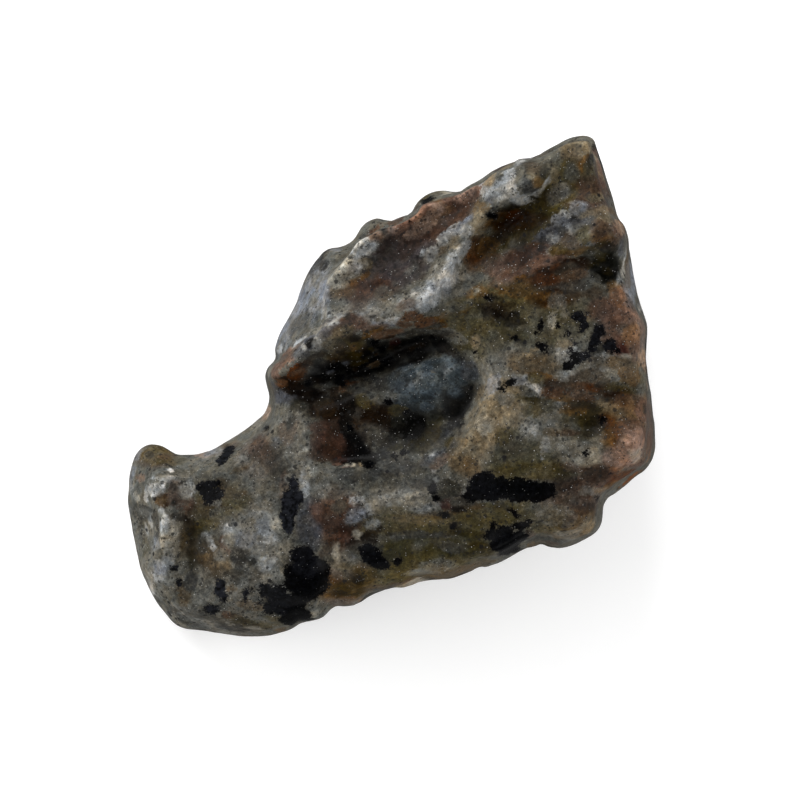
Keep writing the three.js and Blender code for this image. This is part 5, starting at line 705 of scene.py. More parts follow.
    (-1.67, 3.75, 0.58, 0.33, 0, "umber", 0.7), (-2.67, 3.42, 0.5, 0.33, 0, "umber", 0.4),
    (-7.83, 1.42, 1.17, 0.58, 28, "rust", 0.95), (-8.91, 0.75, 1.08, 0.42, 5, "rustd", 0.85),
    (-6.83, 2.17, 0.92, 0.37, 30, "rustd", 0.8), (-6.16, 2.67, 0.83, 0.33, 20, "brown", 0.7),
    (-8.33, 0.17, 1.08, 0.58, -10, "brown", 0.9), (-7.25, -0.33, 1.5, 0.75, -10, "umber", 0.85),
    (-5.58, -0.67, 1.5, 0.58, 0, "umber", 0.85), (-4.17, -1.08, 1.33, 0.5, 15, "umber", 0.9),
    (-5.83, -1.33, 1, 0.42, 0, "brown", 0.6), (-6.41, 0.83, 1.17, 0.42, 20, "brown", 0.6),
    (-6.83, 0.42, 0.58, 0.33, 0, "soot", 0.6), (-7.66, 1, 0.75, 0.29, 20, "rustd", 0.7),
    (-9.75, 0.25, 0.5, 0.42, 0, "steel", 0.5), (-9.33, -0.75, 1, 0.58, -25, "steel", 0.8),
    (-8.33, -1.25, 0.83, 0.5, -30, "steel", 0.6), (-9.08, -1.83, 0.67, 0.5, 0, "grey", 0.4),
    (-8, -1.67, 0.33, 0.25, 0, "ink", 0.5), (-5.16, 1.33, 1.5, 0.58, 4, "ink", 0.9),
    (-5.5, 1.83, 1, 0.5, 20, "ink", 0.6), (-6.41, 1.5, 0.67, 0.33, 0, "dgrey", 0.4),
    # the soot chain from (-3.92, 1.17) to (4.33, 3.58) is dark mineral together with painted shade under the brow
    (-3.92, 1.17, 1.67, 0.58, 0, "soot", 0.9), (-2.25, 1.58, 1.5, 0.67, 12, "soot", 0.9),
    (-0.33, 2.67, 1.67, 0.83, 18, "soot", 0.95), (1.33, 3.58, 1.67, 0.75, 8, "soot", 0.9),
    (3.17, 4.08, 1.67, 0.67, -4, "soot", 0.85), (4.33, 3.58, 1, 0.58, -25, "soot", 0.8),
    (5, 3, 1, 0.42, -35, "umber", 0.8), (5.66, 2.33, 0.67, 0.33, -40, "umber", 0.75),
    (2.33, 4.75, 1.67, 0.42, 5, "ink", 0.7), (4, 4.75, 1.17, 0.42, -5, "brown", 0.6),
    (0.25, 3.25, 0.67, 0.42, 0, "brown", 0.3), (1.33, 3, 0.58, 0.33, 0, "umber", 0.5),
    (-4.33, 0.67, 0.75, 0.42, 0, "soot", 0.95), (-2.83, 2.25, 1, 0.33, 15, "olive", 0.6),
    (-1.5, 2, 0.58, 0.29, 20, "sandd", 0.6), (-3.25, 0.08, 1, 0.42, -8, "rust", 0.85),
    (-2.42, 0.25, 0.75, 0.33, 0, "rustd", 0.8), (-4.75, -0.17, 1, 0.42, 0, "brown", 0.8),
    (-3.67, -0.58, 0.75, 0.29, 0, "brown", 0.5), (-5.83, 0.17, 0.67, 0.33, 0, "grey", 0.35),
    (-4.33, 1.5, 0.5, 0.25, 0, "dgrey", 0.3), (2.75, 0.33, 3, 1.67, 12, "eye", 0.95),
    (4.66, 1.17, 2, 1.33, -10, "eye", 0.9), (1.08, 1, 1.83, 0.75, 16, "eye", 0.8),
    (0.25, 0.25, 1.33, 0.58, 8, "steel", 0.6), (1.67, -1.33, 1.67, 0.75, 20, "eyed", 0.8),
    (3.17, -1.17, 1.5, 0.75, 25, "eyed", 0.4), (1.92, 0.83, 1, 0.5, 20, "chalk", 0.15),
    (4.41, 1.67, 1, 0.5, -10, "chalk", 0.2), (3.42, 1.33, 0.2, 0.13, 0, "sand", 0.5),
    (4, 1, 0.17, 0.83, 35, "eyed", 0.5), (5.66, 0.25, 1, 1.17, 0, "eyed", 0.55),
    (6.5, 1.33, 0.67, 0.75, 0, "steel", 0.6), (4.41, -0.33, 1.17, 0.67, 30, "eye", 0.5),
    (-1.17, -0.42, 1.33, 0.75, 14, "grey", 0.8), (-2.25, -1, 1, 0.67, 10, "khaki", 0.6),
    (-0.17, -0.75, 1, 0.42, 15, "pale", 0.3), (-1.17, -2, 1.25, 1, 10, "brown", 0.85),
    (-1.83, -2.5, 0.83, 0.67, 0, "brown", 0.7), (-0.42, -1.17, 0.5, 0.33, 0, "soot", 0.85),
    (-0.67, -1.83, 0.67, 0.42, 0, "umber", 0.6), (-1, -3.08, 1, 0.42, 0, "mauved", 0.5),
    (0.67, -2, 0.83, 0.5, 0, "khaki", 0.5), (1.75, -3.25, 1.08, 1.17, -35, "olived", 0.95),
    (2.17, -2.83, 0.67, 0.67, 0, "soot", 0.7), (0.58, -3.5, 0.58, 0.67, 0, "olived", 0.75),
    (1.25, -2.17, 0.5, 0.33, 0, "soot", 0.7), (3.17, -3.5, 1.17, 0.75, 38, "olive", 0.9),
    (3.67, -3.17, 1, 0.67, 38, "olived", 0.5), (4, -2.67, 1, 0.5, 35, "green", 0.6),
    (2.17, -4.5, 1.17, 0.58, 35, "olive", 0.6), (-0.58, -4.33, 1.33, 0.83, 0, "grey", 0.5),
    (0.25, -5.16, 1.17, 0.67, 0, "green", 0.5), (-1.83, -3.5, 0.83, 0.83, 0, "grey", 0.4),
    (5.5, -1.25, 1, 1, 20, "ink", 0.5), (5.83, -0.5, 0.58, 0.5, 0, "eyed", 0.5),
    (4.83, -2, 0.83, 0.67, 0, "ink", 0.6), (5.83, -1.67, 0.42, 0.33, 0, "dgrey", 0.35),
    (6.5, -0.58, 0.67, 1, -10, "dgrey", 0.7), (7.16, -0.33, 0.42, 1.5, -12, "grey", 0.8),
    (6.5, -2.67, 0.67, 1.67, -28, "grey", 0.75), (4.83, -4.17, 1, 1.67, -35, "dgrey", 0.85),
    (4.5, -4.75, 1.17, 0.58, 42, "dgrey", 0.6), (5.41, -3.08, 0.67, 1.17, -25, "steel", 0.4),
    (-5.41, -1.75, 1.67, 0.75, 0, "brown", 0.9), (-6.16, -1.17, 1.17, 0.58, -10, "umber", 0.7),
    (-4.75, -2.25, 1, 0.67, 0, "brown", 0.7), (-5.33, -3.17, 1.17, 0.58, 0, "mauve", 0.8),
    (-4.33, -3, 0.67, 0.5, 0, "rosy", 0.3), (-5.58, -4, 1, 0.33, 5, "rustd", 0.7),
    (-4.75, -5, 1.58, 1.17, 0, "mauve", 0.95), (-5.83, -5.16, 0.83, 0.83, 0, "mauved", 0.6),
    (-6.16, -5.91, 0.67, 0.33, -20, "brown", 0.7), (-5.58, -4.75, 0.67, 0.83, 0, "plum", 0.3),
    (-3.75, -1.67, 0.58, 0.92, -5, "ink", 0.9), (-3.5, -1, 0.5, 0.5, 0, "soot", 0.6),
    (-3.58, -3.08, 0.46, 0.5, 0, "soot", 0.85), (-3.92, -2.33, 0.5, 0.5, 0, "ink", 0.7),
    (-3.25, -4.33, 0.83, 1, 0, "ink", 0.8), (-3.42, -5.33, 0.67, 0.67, -20, "ink", 0.8),
    (-2.33, -4, 0.33, 0.42, 0, "dgrey", 0.7), (-2.17, -4.83, 0.33, 0.33, 0, "grey", 0.4),
    (-4.08, -5.58, 0.33, 0.42, 0, "mauved", 0.5), (-2.83, -4.66, 0.42, 0.33, 0, "mauved", 0.4),
    (-2.5, -5.33, 0.75, 0.58, -20, "ink", 0.7), (-1.83, -6.08, 0.58, 0.67, 0, "soot", 0.95),
    (-3.92, -6, 1, 0.42, 0, "ink", 0.6), (-4.5, -6, 0.83, 0.33, 0, "plum", 0.3),
    (-3.5, -6.58, 0.67, 0.15, 6, "cream", 0.8), (-2.5, -6.5, 0.33, 0.13, 0, "sand", 0.7),
    # the dark grey band at (-3.08, -7.41), with (-1.42, -7.16) after it, is painted shadow under the lower ledge of
    # the eye socket
    (-3.92, -6.75, 0.5, 0.17, 20, "pink", 0.5), (-3.08, -7.41, 2.17, 0.42, 0, "dgrey", 0.7),
    (-1.42, -7.16, 1.33, 0.42, 0, "dgrey", 0.5), (-0.17, -6.5, 2, 0.67, 0, "dgrey", 0.6),
    (0.67, -5.58, 1.67, 0.58, 10, "grey", 0.5), (3.17, -5.83, 1.33, 0.58, 30, "steel", 0.6),
    # the white speck at (3.33, -5.41) is a painted highlight: the glint on the lower lid below the eye
    (3.33, -5.41, 0.28, 0.18, 30, "white", 0.9), (3, -4.91, 0.42, 0.17, 40, "chalk", 0.6),
    (3.5, -6.75, 0.29, 0.21, 0, "white", 0.7), (4, -6.25, 1, 0.42, 30, "rosy", 0.5),
    (3.33, -7.5, 0.58, 0.58, 0, "dgrey", 0.5), (3.83, -7.91, 0.5, 0.5, 0, "chalk", 0.3),
    (-6.66, -5.83, 0.5, 1.33, 0, "pale", 0.6), (-7, -6.66, 0.5, 1.17, 0, "pale", 0.8),
    (-6.91, -7.16, 0.25, 0.83, 0, "cream", 0.5), (-7.66, -4.33, 0.83, 1.5, 0, "pale", 0.6),
    (-7.25, -3.08, 0.58, 0.75, 0, "pale", 0.4), (-8.5, -3.5, 0.83, 1.17, 0, "rosy", 0.35),
    (-8.41, -2.75, 0.33, 0.67, -22, "ink", 0.6), (-7.16, -8.33, 0.33, 0.75, -5, "chalk", 0.8),
    (-6, -7.91, 0.83, 0.58, 0, "pale", 0.5), (-5.58, -7.25, 1, 0.42, -10, "pale", 0.4),
    (-5, -10.33, 1.67, 1.17, -20, "mauve", 0.85), (-4, -12, 1.17, 1.5, 0, "mauve", 0.85),
    (-4.33, -13.33, 0.83, 1, 0, "mauve", 0.7), (-3.67, -11.5, 1, 0.83, 0, "mauved", 0.5),
    (-5.16, -9.75, 1.17, 0.67, -10, "rosy", 0.3), (-6, -10, 0.83, 0.5, 0, "rosy", 0.4),
    (-2.33, -12.66, 1.33, 0.67, 20, "umber", 0.9), (-1.5, -11.83, 0.67, 0.42, 30, "brown", 0.8),
    (-1.25, -11.75, 0.58, 0.67, 0, "brown", 0.75), (-2.67, -13.08, 0.67, 0.42, 0, "brown", 0.7),
    (-4.75, -12.91, 1, 0.58, 0, "brown", 0.6), (-5.58, -13.66, 0.58, 0.67, 0, "mauved", 0.6),
    (-3.92, -12.25, 0.5, 0.42, 0, "plum", 0.3), (-3.5, -10.16, 1, 0.67, 0, "mauve", 0.4),
    (-2.83, -9.33, 0.67, 0.42, 0, "chalk", 0.6), (-1.75, -10, 0.5, 0.5, 0, "chalk", 0.5),
    (-1.67, -11.16, 0.67, 0.42, 20, "chalk", 0.45), (-2.92, -12, 0.37, 0.33, 0, "cream", 0.6),
    (-2.25, -10.25, 0.75, 0.22, -55, "ink", 0.8), (-2.67, -9.75, 0.42, 0.17, -30, "dgrey", 0.6),
    (-1.33, -9.58, 0.25, 0.67, 0, "cream", 0.4), (-4.33, -11, 0.33, 0.33, 0, "mauve", 0.4),
    (-4.75, -8.5, 1.67, 0.5, 0, "grey", 0.5), (-4.58, -13.99, 0.42, 1.17, -10, "cream", 0.5),
    (-3.58, -14.33, 0.67, 0.75, 0, "pale", 0.6), (-3.17, -13.66, 0.42, 0.42, 0, "steel", 0.4),
    (-3.5, -15.16, 1.17, 0.67, 0, "khaki", 0.4), (-4.75, -15.58, 0.75, 0.58, 0, "rust", 0.35),
    (-3.92, -16.66, 1.83, 0.75, 5, "tan", 0.7), (-4.33, -17.49, 1.67, 0.42, 0, "rosy", 0.35),
    (-2.83, -15.74, 0.58, 0.5, 0, "olived", 0.7), (-3.5, -15.41, 0.33, 0.33, 0, "umber", 0.4),
    (-6, -18.16, 1, 0.5, 25, "grey", 0.5), (-6.58, -18.66, 0.67, 0.33, 20, "cream", 0.35),
    (0.67, -9.08, 1.5, 0.42, 5, "pale", 0.6), (1.67, -8.83, 0.67, 0.29, 0, "cream", 0.6),
    (1.33, -9.58, 1.67, 0.33, 8, "cream", 0.3), (3.17, -9.75, 1.17, 0.33, 10, "chalk", 0.35),
    (0.25, -10.33, 1.67, 0.42, 0, "khaki", 0.4), (-0.58, -9.33, 0.67, 0.5, 0, "chalk", 0.3),
    (3.17, -10.58, 2.5, 0.33, 4, "ochre", 0.35), (1.92, -11, 2.5, 0.33, 0, "sand", 0.35),
    (4.25, -9, 0.75, 0.5, -10, "umber", 0.95), (4.58, -9.66, 0.67, 0.42, 0, "plum", 0.8),
    (5.66, -9.91, 0.75, 0.5, 20, "umber", 0.95), (5.33, -9.41, 0.5, 0.33, 0, "brown", 0.6),
    (5, -8.75, 0.83, 0.33, 0, "mauve", 0.5), (6.91, -9.75, 0.83, 0.33, 0, "tan", 0.4),
    (4.41, -10.5, 0.42, 0.25, -20, "soot", 0.8), (3.25, -8.16, 0.37, 0.67, 12, "ink", 0.95),
    (3.67, -9, 0.42, 0.33, 0, "soot", 0.9), (2, -9.08, 0.33, 0.21, 0, "ink", 0.6),
    (5, -11.41, 0.33, 0.25, 30, "soot", 0.9), (4.58, -7.75, 0.33, 0.21, 0, "ink", 0.6),
    (5.41, -8.08, 0.25, 0.17, 0, "ink", 0.5), (5.25, -9.33, 0.25, 0.17, 0, "ink", 0.6),
    (1.5, -12.33, 1.5, 0.42, 0, "steel", 0.4), (3.58, -12.08, 1.67, 0.33, 0, "steel", 0.4),
    (4.83, -13.08, 1.17, 0.5, 0, "steel", 0.4), (0.67, -13.08, 1.17, 0.5, 0, "green", 0.5),
    (0.25, -13.66, 1.17, 0.42, 0, "olived", 0.25), (6.5, -11.83, 2, 0.33, 2, "olive", 0.5),
    (7.33, -13.08, 1.33, 0.58, 0, "olive", 0.5), (6.5, -14.08, 1.67, 0.5, 8, "khaki", 0.5),
    (7.75, -14.33, 1.5, 0.33, 10, "sandd", 0.5), (3.17, -14.83, 2.17, 0.42, 8, "pale", 0.5),
    (4, -15.66, 1.67, 0.25, 0, "mauve", 0.5), (0.67, -15.99, 2.5, 0.33, 8, "mauve", 0.4),
    (-0.17, -16.49, 0.5, 0.21, 20, "ink", 0.6), (3.17, -15.74, 0.42, 0.25, 0, "ink", 0.4),
    (9, -9.75, 2, 0.29, -8, "khaki", 0.6), (9, -9.75, 1, 0.17, -25, "ink", 0.4),
    (11.5, -9.75, 1.67, 0.33, 0, "khaki", 0.5), (12.74, -10, 1.17, 0.67, 0, "pale", 0.35),
    (13.16, -10.66, 1, 0.58, 0, "chalk", 0.25), (16.08, -9.83, 1, 0.5, 0, "mauved", 0.5),
    (13.99, -10.33, 1.17, 0.67, 0, "pale", 0.5), (13.33, -11, 1, 0.5, 0, "pale", 0.4),
    (14.66, -11, 0.75, 0.33, 40, "steel", 0.4), (16.33, -11.5, 1, 0.75, 0, "sand", 0.5),
    (14.66, -12.16, 1.67, 0.5, 0, "pale", 0.45), (12.74, -12.25, 2, 0.25, -3, "brown", 0.35),
    (12.99, -12.74, 1, 0.25, 0, "mauve", 0.5), (11.5, -12, 0.67, 0.33, 0, "mauve", 0.5),
    # the white speck at (-18.33, -7) further on is a painted glint on the snout top
    (10.66, -13.49, 1, 0.25, 20, "mauve", 0.5), (-18.33, -7, 0.29, 0.21, 0, "white", 1),
    (-18.66, -7.66, 1.33, 0.2, -8, "chalk", 0.5),
    (-19.49, -8.33, 0.83, 0.42, -10, "chalk", 0.55),
    # the white specks at (-19.74, -8.83), (-18.99, -8.16), (-20.33, -9.25), (-18.33, -7.5) and (-17.74, -7.41) are
    # partly white grains and partly painted glints on the snout top
    (-19.74, -8.83, 0.33, 0.25, 0, "white", 0.6), (-18.99, -8.16, 0.25, 0.17, 0, "white", 0.7),
    (-20.16, -8.58, 0.25, 0.5, 0, "chalk", 0.5), (-20.33, -9.25, 0.25, 0.25, 0, "white", 0.5),
    (-18.33, -7.5, 0.25, 0.17, 0, "white", 0.6), (-17.74, -7.41, 0.2, 0.15, 0, "white", 0.6),
    (-18.74, -7, 0.17, 0.13, 0, "chalk", 0.6), (-20.82, -7.5, 0.5, 0.5, 0, "pink", 0.4),
    (-18.66, -9.16, 0.83, 0.5, -10, "rustd", 0.9), (-19.16, -9.33, 0.5, 0.33, 0, "ochre", 0.6),
    (-17.99, -8.66, 0.67, 1, 0, "rosy", 0.5), (-17.16, -9.33, 0.75, 1, 15, "mauve", 0.7),
    (-17.49, -8.25, 1, 0.42, 0, "mauve", 0.5), (-16.83, -8.33, 0.67, 0.5, 0, "chalk", 0.3),
    (-18.08, -9.58, 0.25, 0.21, 0, "umber", 0.8), (-17.24, -7.5, 1, 0.25, 0, "pale", 0.5),
    (-20.16, -5.66, 0.42, 0.33, 0, "dgrey", 0.6), (-18.91, -5.83, 0.67, 0.33, -10, "rosy", 0.3),
    (-20.16, -7.16, 0.25, 0.25, 0, "ink", 0.4), (-19.33, -5.16, 1, 0.42, 0, "khaki", 0.4),
    (-17.66, -6.16, 1, 0.5, 0, "khaki", 0.3), (-21.16, -9.08, 0.33, 0.5, 0, "cream", 0.5),
    (-20.33, -10, 0.92, 0.27, -15, "dgrey", 0.8),
    (-19.58, -10.33, 0.42, 0.25, -40, "dgrey", 0.8),
    (-19.24, -11.33, 0.2, 0.75, 5, "dgrey", 0.8), (-19.41, -12.66, 0.2, 0.75, -8, "dgrey", 0.8),
    (-19.74, -13.74, 0.2, 0.58, -15, "dgrey", 0.6), (-20.49, -11.08, 0.5, 0.83, 0, "green", 0.5),
    (-19.91, -11.08, 0.18, 0.67, 20, "chalk", 0.6), (-19.66, -12.16, 0.15, 0.67, 0, "pale", 0.6),
    (-20.08, -13.08, 0.17, 0.58, -20, "pale", 0.5),
    (-20.24, -11.83, 0.18, 0.67, 10, "chalk", 0.45),
    (-20.74, -11.33, 0.13, 0.33, 20, "soot", 0.6),
    (-20.41, -13.99, 0.33, 0.83, -15, "green", 0.4),
    (-18.91, -10.33, 0.2, 0.58, 30, "chalk", 0.6),
    (-18.66, -13.49, 0.18, 0.75, -15, "chalk", 0.5),
    (-19.49, -14.83, 0.2, 0.67, -25, "chalk", 0.5), (-21.57, -9.33, 0.18, 2.5, 0, "chalk", 0.4),
    (-21.32, -13.08, 0.17, 1.33, 12, "chalk", 0.35),
    (-20.33, -13.08, 0.5, 0.67, 0, "khaki", 0.3), (-20.99, -14.33, 0.5, 1.33, 15, "grey", 0.4),
    (-20.16, -14.33, 0.42, 1, -15, "pale", 0.4), (-18.49, -11.33, 0.58, 1, 0, "chalk", 0.75),
    (-18.41, -12.49, 0.42, 0.67, 0, "pale", 0.5), (-18.66, -12.66, 0.5, 0.42, 0, "sand", 0.3),
    (-18.33, -13.49, 0.75, 0.67, 0, "pale", 0.5), (-17.66, -12.25, 0.67, 1, 0, "pale", 0.3),
    (-17.66, -10.66, 0.75, 0.33, -12, "umber", 0.7),
    (-16.99, -10.91, 0.67, 0.33, -20, "umber", 0.8),
    (-16.83, -11.5, 0.67, 0.5, -10, "brown", 0.6), (-16.99, -11.83, 0.67, 0.5, 0, "brown", 0.5),
    (-16.74, -13.66, 0.75, 1.17, 0, "brown", 0.65), (-17.33, -12.66, 0.33, 1, 0, "sandd", 0.4),
    (-16.33, -13.99, 0.67, 0.67, 0, "brown", 0.6),
    (-16.24, -14.33, 0.75, 0.83, 0, "olived", 0.45),
    (-16.33, -13.49, 0.5, 1.17, 0, "brown", 0.5), (-15.58, -12.49, 0.67, 0.5, 0, "dgrey", 0.3),
    (-15.08, -12.74, 0.33, 0.58, 15, "chalk", 0.75),
    (-14.83, -13.16, 0.2, 0.33, 20, "white", 0.5), (-15.49, -12.33, 0.33, 0.33, 0, "chalk", 0.4),
    (-15.83, -15.24, 0.83, 0.42, 0, "pale", 0.4), (-13.83, -13.33, 0.5, 1.17, 0, "rosy", 0.6),
    (-13.66, -11.83, 0.42, 0.58, 0, "chalk", 0.5), (-13.99, -12.66, 0.13, 0.13, 0, "white", 0.6),
    (-13.58, -11.25, 0.13, 0.13, 0, "white", 0.7), (-13.24, -11.66, 0.12, 0.12, 0, "white", 0.6),
    (-14.16, -13.66, 0.12, 0.12, 0, "white", 0.5), (-13.83, -14.33, 0.12, 0.12, 0, "white", 0.5),
    (-13.83, -14.33, 0.67, 0.67, 0, "sand", 0.3), (-16.41, -15.58, 0.67, 0.5, 0, "pale", 0.3),
    (-18.91, -14.49, 0.92, 0.58, 0, "chalk", 0.55),
    (-19.24, -15.24, 0.5, 0.25, 30, "white", 0.55),
    (-18.91, -15.58, 0.25, 0.5, 20, "chalk", 0.5), (-19.83, -15.99, 0.5, 0.83, 20, "chalk", 0.7),
    (-19.33, -16.83, 0.83, 0.67, 0, "pale", 0.3), (-18.08, -15.99, 0.75, 1.17, 0, "pale", 0.35),
    (-17.16, -16.83, 0.67, 1.17, 0, "sandd", 0.45), (-17.41, -14.99, 0.5, 1.17, 0, "pale", 0.3),
    (-14.74, -10.16, 2, 0.58, 0, "khaki", 0.6), (-15.16, -11.16, 1.17, 0.58, 0, "khaki", 0.6),
    (-13.24, -8.5, 1.17, 0.75, 0, "sandd", 0.7), (-13.66, -7.83, 1.17, 0.42, 0, "mauved", 0.4),
    (-12, -9.5, 0.75, 0.5, 0, "olive", 0.6), (-14.74, -9.33, 0.67, 0.42, 0, "chalk", 0.25),
    (-12.25, -7.83, 1, 0.58, 0, "grey", 0.4), (-10.83, -9.75, 1, 0.83, 0, "pale", 0.5),
    (-10.83, -10.58, 1, 0.5, 0, "chalk", 0.3), (-12.25, -11.83, 2, 0.58, 0, "chalk", 0.25),
    (-10.33, -11.66, 1, 1, 0, "chalk", 0.45), (-11.41, -13.33, 1.5, 0.67, 10, "chalk", 0.4),
    (-10.33, -14.74, 1.08, 1.08, 0, "pale", 0.4), (-11.41, -12.49, 1.17, 0.42, 15, "steel", 0.3),
    (-9.33, -13.08, 0.83, 1, 0, "pale", 0.4), (-13.08, -12.66, 0.83, 0.5, 0, "cream", 0.3),
    (-12.83, -13.74, 0.5, 0.75, 0, "ink", 0.6), (-11.75, -14.41, 0.5, 0.42, 0, "ink", 0.6),
    (-13.49, -15.24, 0.67, 0.29, 15, "ink", 0.6), (-12.41, -15.58, 1.17, 0.58, 0, "dgrey", 0.6),
    (-12.66, -14.58, 0.42, 0.5, 0, "dgrey", 0.5), (-11.41, -15.41, 0.67, 0.42, 0, "dgrey", 0.35),
    (-13.16, -16.74, 0.67, 0.33, -15, "tan", 0.5), (-12.66, -17.24, 0.75, 0.67, 0, "pale", 0.4),
    (-13.33, -18.74, 0.83, 0.42, -15, "rust", 0.55),
    (-13.08, -18.66, 0.29, 0.25, 0, "brown", 0.8),
    (-12.66, -19.08, 0.67, 0.29, -10, "ochre", 0.4),
    (-11.83, -17.91, 1.17, 0.5, -10, "sandd", 0.5), (-11.66, -19.49, 2, 0.42, -5, "olive", 0.7),
    (-14.33, -17.83, 1.33, 0.42, 0, "grey", 0.3), (-15.58, -17.49, 1, 0.5, 0, "pale", 0.3),
    (-14.99, -18.41, 0.25, 0.25, 0, "ink", 0.3), (-17.83, -18.66, 1.17, 0.5, -35, "dgrey", 0.6),
    # the thin pale lines from (-17.41, -18.33) to (-11.66, -19.74) are a painted highlight along the chin ridge
    (-17.41, -18.33, 1.08, 0.15, -30, "pale", 0.6),
    (-15.58, -19.08, 1.17, 0.15, -20, "pale", 0.55),
    (-13.49, -19.49, 1.33, 0.13, -10, "pale", 0.4), (-11.66, -19.74, 1, 0.17, -4, "pale", 0.5),
    (-18.49, -18.58, 0.25, 0.17, -30, "ink", 0.7), (-17.49, -19.08, 0.25, 0.17, -25, "ink", 0.7),
    (-16.58, -19.49, 0.2, 0.13, -20, "ink", 0.6), (-15.58, -19.83, 0.25, 0.15, -15, "ink", 0.6),
    (-14.41, -20.08, 0.2, 0.13, -10, "ink", 0.6), (-12.99, -20.24, 0.33, 0.17, 0, "ink", 0.7),
    (-19.33, -17.74, 0.2, 0.25, 0, "ink", 0.6), (-17.91, -19.41, 0.25, 0.17, -20, "umber", 0.5),
    (-16.41, -19.66, 1.33, 0.29, -14, "dgrey", 0.55),
    (-13.91, -20.08, 1.83, 0.22, -8, "dgrey", 0.55),
    (-12.66, -20.41, 1.83, 0.2, -2, "sandd", 0.5), (-10.16, -19.16, 1.17, 0.5, 10, "khaki", 0.4),
    (-12.25, -18.74, 2.17, 0.2, -10, "pale", 0.3), (-9.5, -6.83, 0.75, 1.5, 0, "dgrey", 0.55),
    (-9.41, -5.33, 0.5, 1.17, 0, "dgrey", 0.4), (-10.83, -5, 0.83, 1, 0, "mauve", 0.5),
    (-11.66, -6.83, 1.17, 0.67, 0, "pale", 0.4), (-8.91, -8.33, 0.5, 1.33, 0, "rosy", 0.3),
    (-10.16, -8.5, 0.67, 0.67, 0, "grey", 0.4), (-9.66, -4.58, 0.42, 0.5, 0, "steel", 0.5),
    (-11.16, -3.67, 0.58, 0.67, 0, "grey", 0.3), (-12.66, -4.66, 2.17, 0.33, 32, "grey", 0.8),
    (-14.16, -5.33, 1.5, 0.42, 30, "mauve", 0.4), (-15.58, -6.16, 1.67, 0.33, 12, "pale", 0.3),
    (-10.83, -3.5, 0.21, 0.21, 0, "ink", 0.4), (-12.25, -6.41, 1.17, 0.42, 30, "sandd", 0.4),
    (-6.75, 9.83, 0.92, 1.08, 30, "grey", 0.9), (-7.91, 5.16, 1.42, 1.33, 0, "grey", 0.75),
    (-4.41, 6.83, 0.83, 0.75, 0, "grey", 0.7), (3.83, 1.92, 1.33, 0.5, 8, "eyed", 0.7),
    (-2.17, 11.58, 1, 0.42, 35, "pale", 0.85), (3.17, 14.49, 2, 0.67, 28, "rosy", 0.95),
    (0.33, 13.83, 0.83, 0.42, 25, "mauve", 0.9), (-7.58, -6.83, 0.67, 1.67, -5, "pale", 0.85),
    (-7.33, -7.83, 0.33, 1, -5, "chalk", 0.7), (4.5, -8.5, 1.08, 0.75, 0, "drab", 0.85),
    (5.66, -2.75, 0.92, 0.75, 50, "slate", 0.8), (2.42, -5, 1.33, 0.58, 10, "drab", 0.85),
    (-0.92, -5.5, 1, 0.58, 0, "slate", 0.8), (-3.08, -6.33, 1, 0.25, 0, "slate", 0.25),
    (-1.42, -7, 0.75, 0.42, 0, "slate", 0.7), (14.58, 12.16, 1, 0.67, 0, "taupe", 0.85),
    (15.91, 12.83, 0.67, 0.67, 0, "khaki", 0.6), (2.25, 8.33, 0.58, 0.75, 50, "grey", 0.6),
    (2.83, 6.75, 0.92, 0.5, 30, "pale", 0.8), (6, 9.66, 0.75, 0.58, 40, "greige", 0.8),
    (3.33, 11.16, 0.75, 0.5, 40, "pale", 0.7), (6.41, 13.16, 0.58, 0.5, 40, "sand", 0.7),
    (18.66, 2, 1.17, 0.67, 0, "sandd", 0.7), (16.41, 1.08, 1.17, 0.58, 0, "taupe", 0.8),
    (16.74, 2.25, 0.75, 0.5, 0, "taupe", 0.6), (20.91, 2.25, 0.67, 1, 0, "sand", 0.6),
    (19.16, 13.41, 0.67, 0.83, 0, "tanq", 0.8), (13.83, 16.16, 1.17, 0.83, 40, "khaki", 0.85),
    (8.08, 17.33, 0.67, 0.67, 30, "sand", 0.75), (9.16, 18.33, 0.83, 0.42, 35, "sand", 0.75),
    (12.83, 19.58, 0.83, 0.42, 30, "khaki", 0.7), (11.66, 18.24, 0.67, 0.58, 0, "taupe", 0.7),
    (16.33, 20.16, 0.67, 0.67, 0, "sandd", 0.85), (17.16, 18.41, 0.75, 1.17, -15, "sand", 0.6),
    (9, 15.41, 0.67, 0.42, 0, "pale", 0.5), (13.33, 7.5, 2.08, 0.67, 8, "rustm", 0.9),
    (13.58, 8.66, 2, 0.42, 10, "rustd", 0.6), (10, 5.41, 0.75, 0.5, 0, "umber", 0.7),
    (-11.08, -2.67, 0.75, 0.75, 40, "pale", 0.8), (-17.08, -8.66, 0.67, 0.67, 0, "pale", 0.7),
    (-13.08, -19.74, 1.67, 0.25, -8, "dgrey", 0.7), (-20.49, -10.5, 0.58, 0.5, 0, "dgrey", 0.55),
    (-20.49, -15.74, 0.67, 0.67, 0, "pale", 0.6), (-12.49, -13.99, 0.75, 0.75, 0, "slate", 0.45),
    (-18.74, -12.83, 0.5, 0.75, 0, "cream", 0.6), (-16.66, -15.99, 0.67, 0.83, 0, "dgrey", 0.85),
    (-21.82, -9.33, 0.42, 1, 0, "grey", 0.6), (-19.24, -14.99, 0.58, 0.58, 0, "ash", 0.7),
    (-15.66, -12.91, 0.58, 0.67, 0, "dgrey", 0.7), (-9.41, -11.25, 0.58, 0.83, 0, "grey", 0.85),
    (6.16, -9.41, 0.67, 0.42, 0, "umber", 0.7), (-3, -10.5, 0.75, 0.67, 0, "grey", 0.8),
    (7.75, -2.92, 0.75, 1, -30, "cream", 0.6), (9.08, -4.08, 0.75, 0.75, 0, "khak2", 0.8),
    (5.5, -5, 0.58, 0.75, -30, "sandd", 0.7), (2.33, -7.83, 1, 0.5, 0, "dgrey", 0.7),
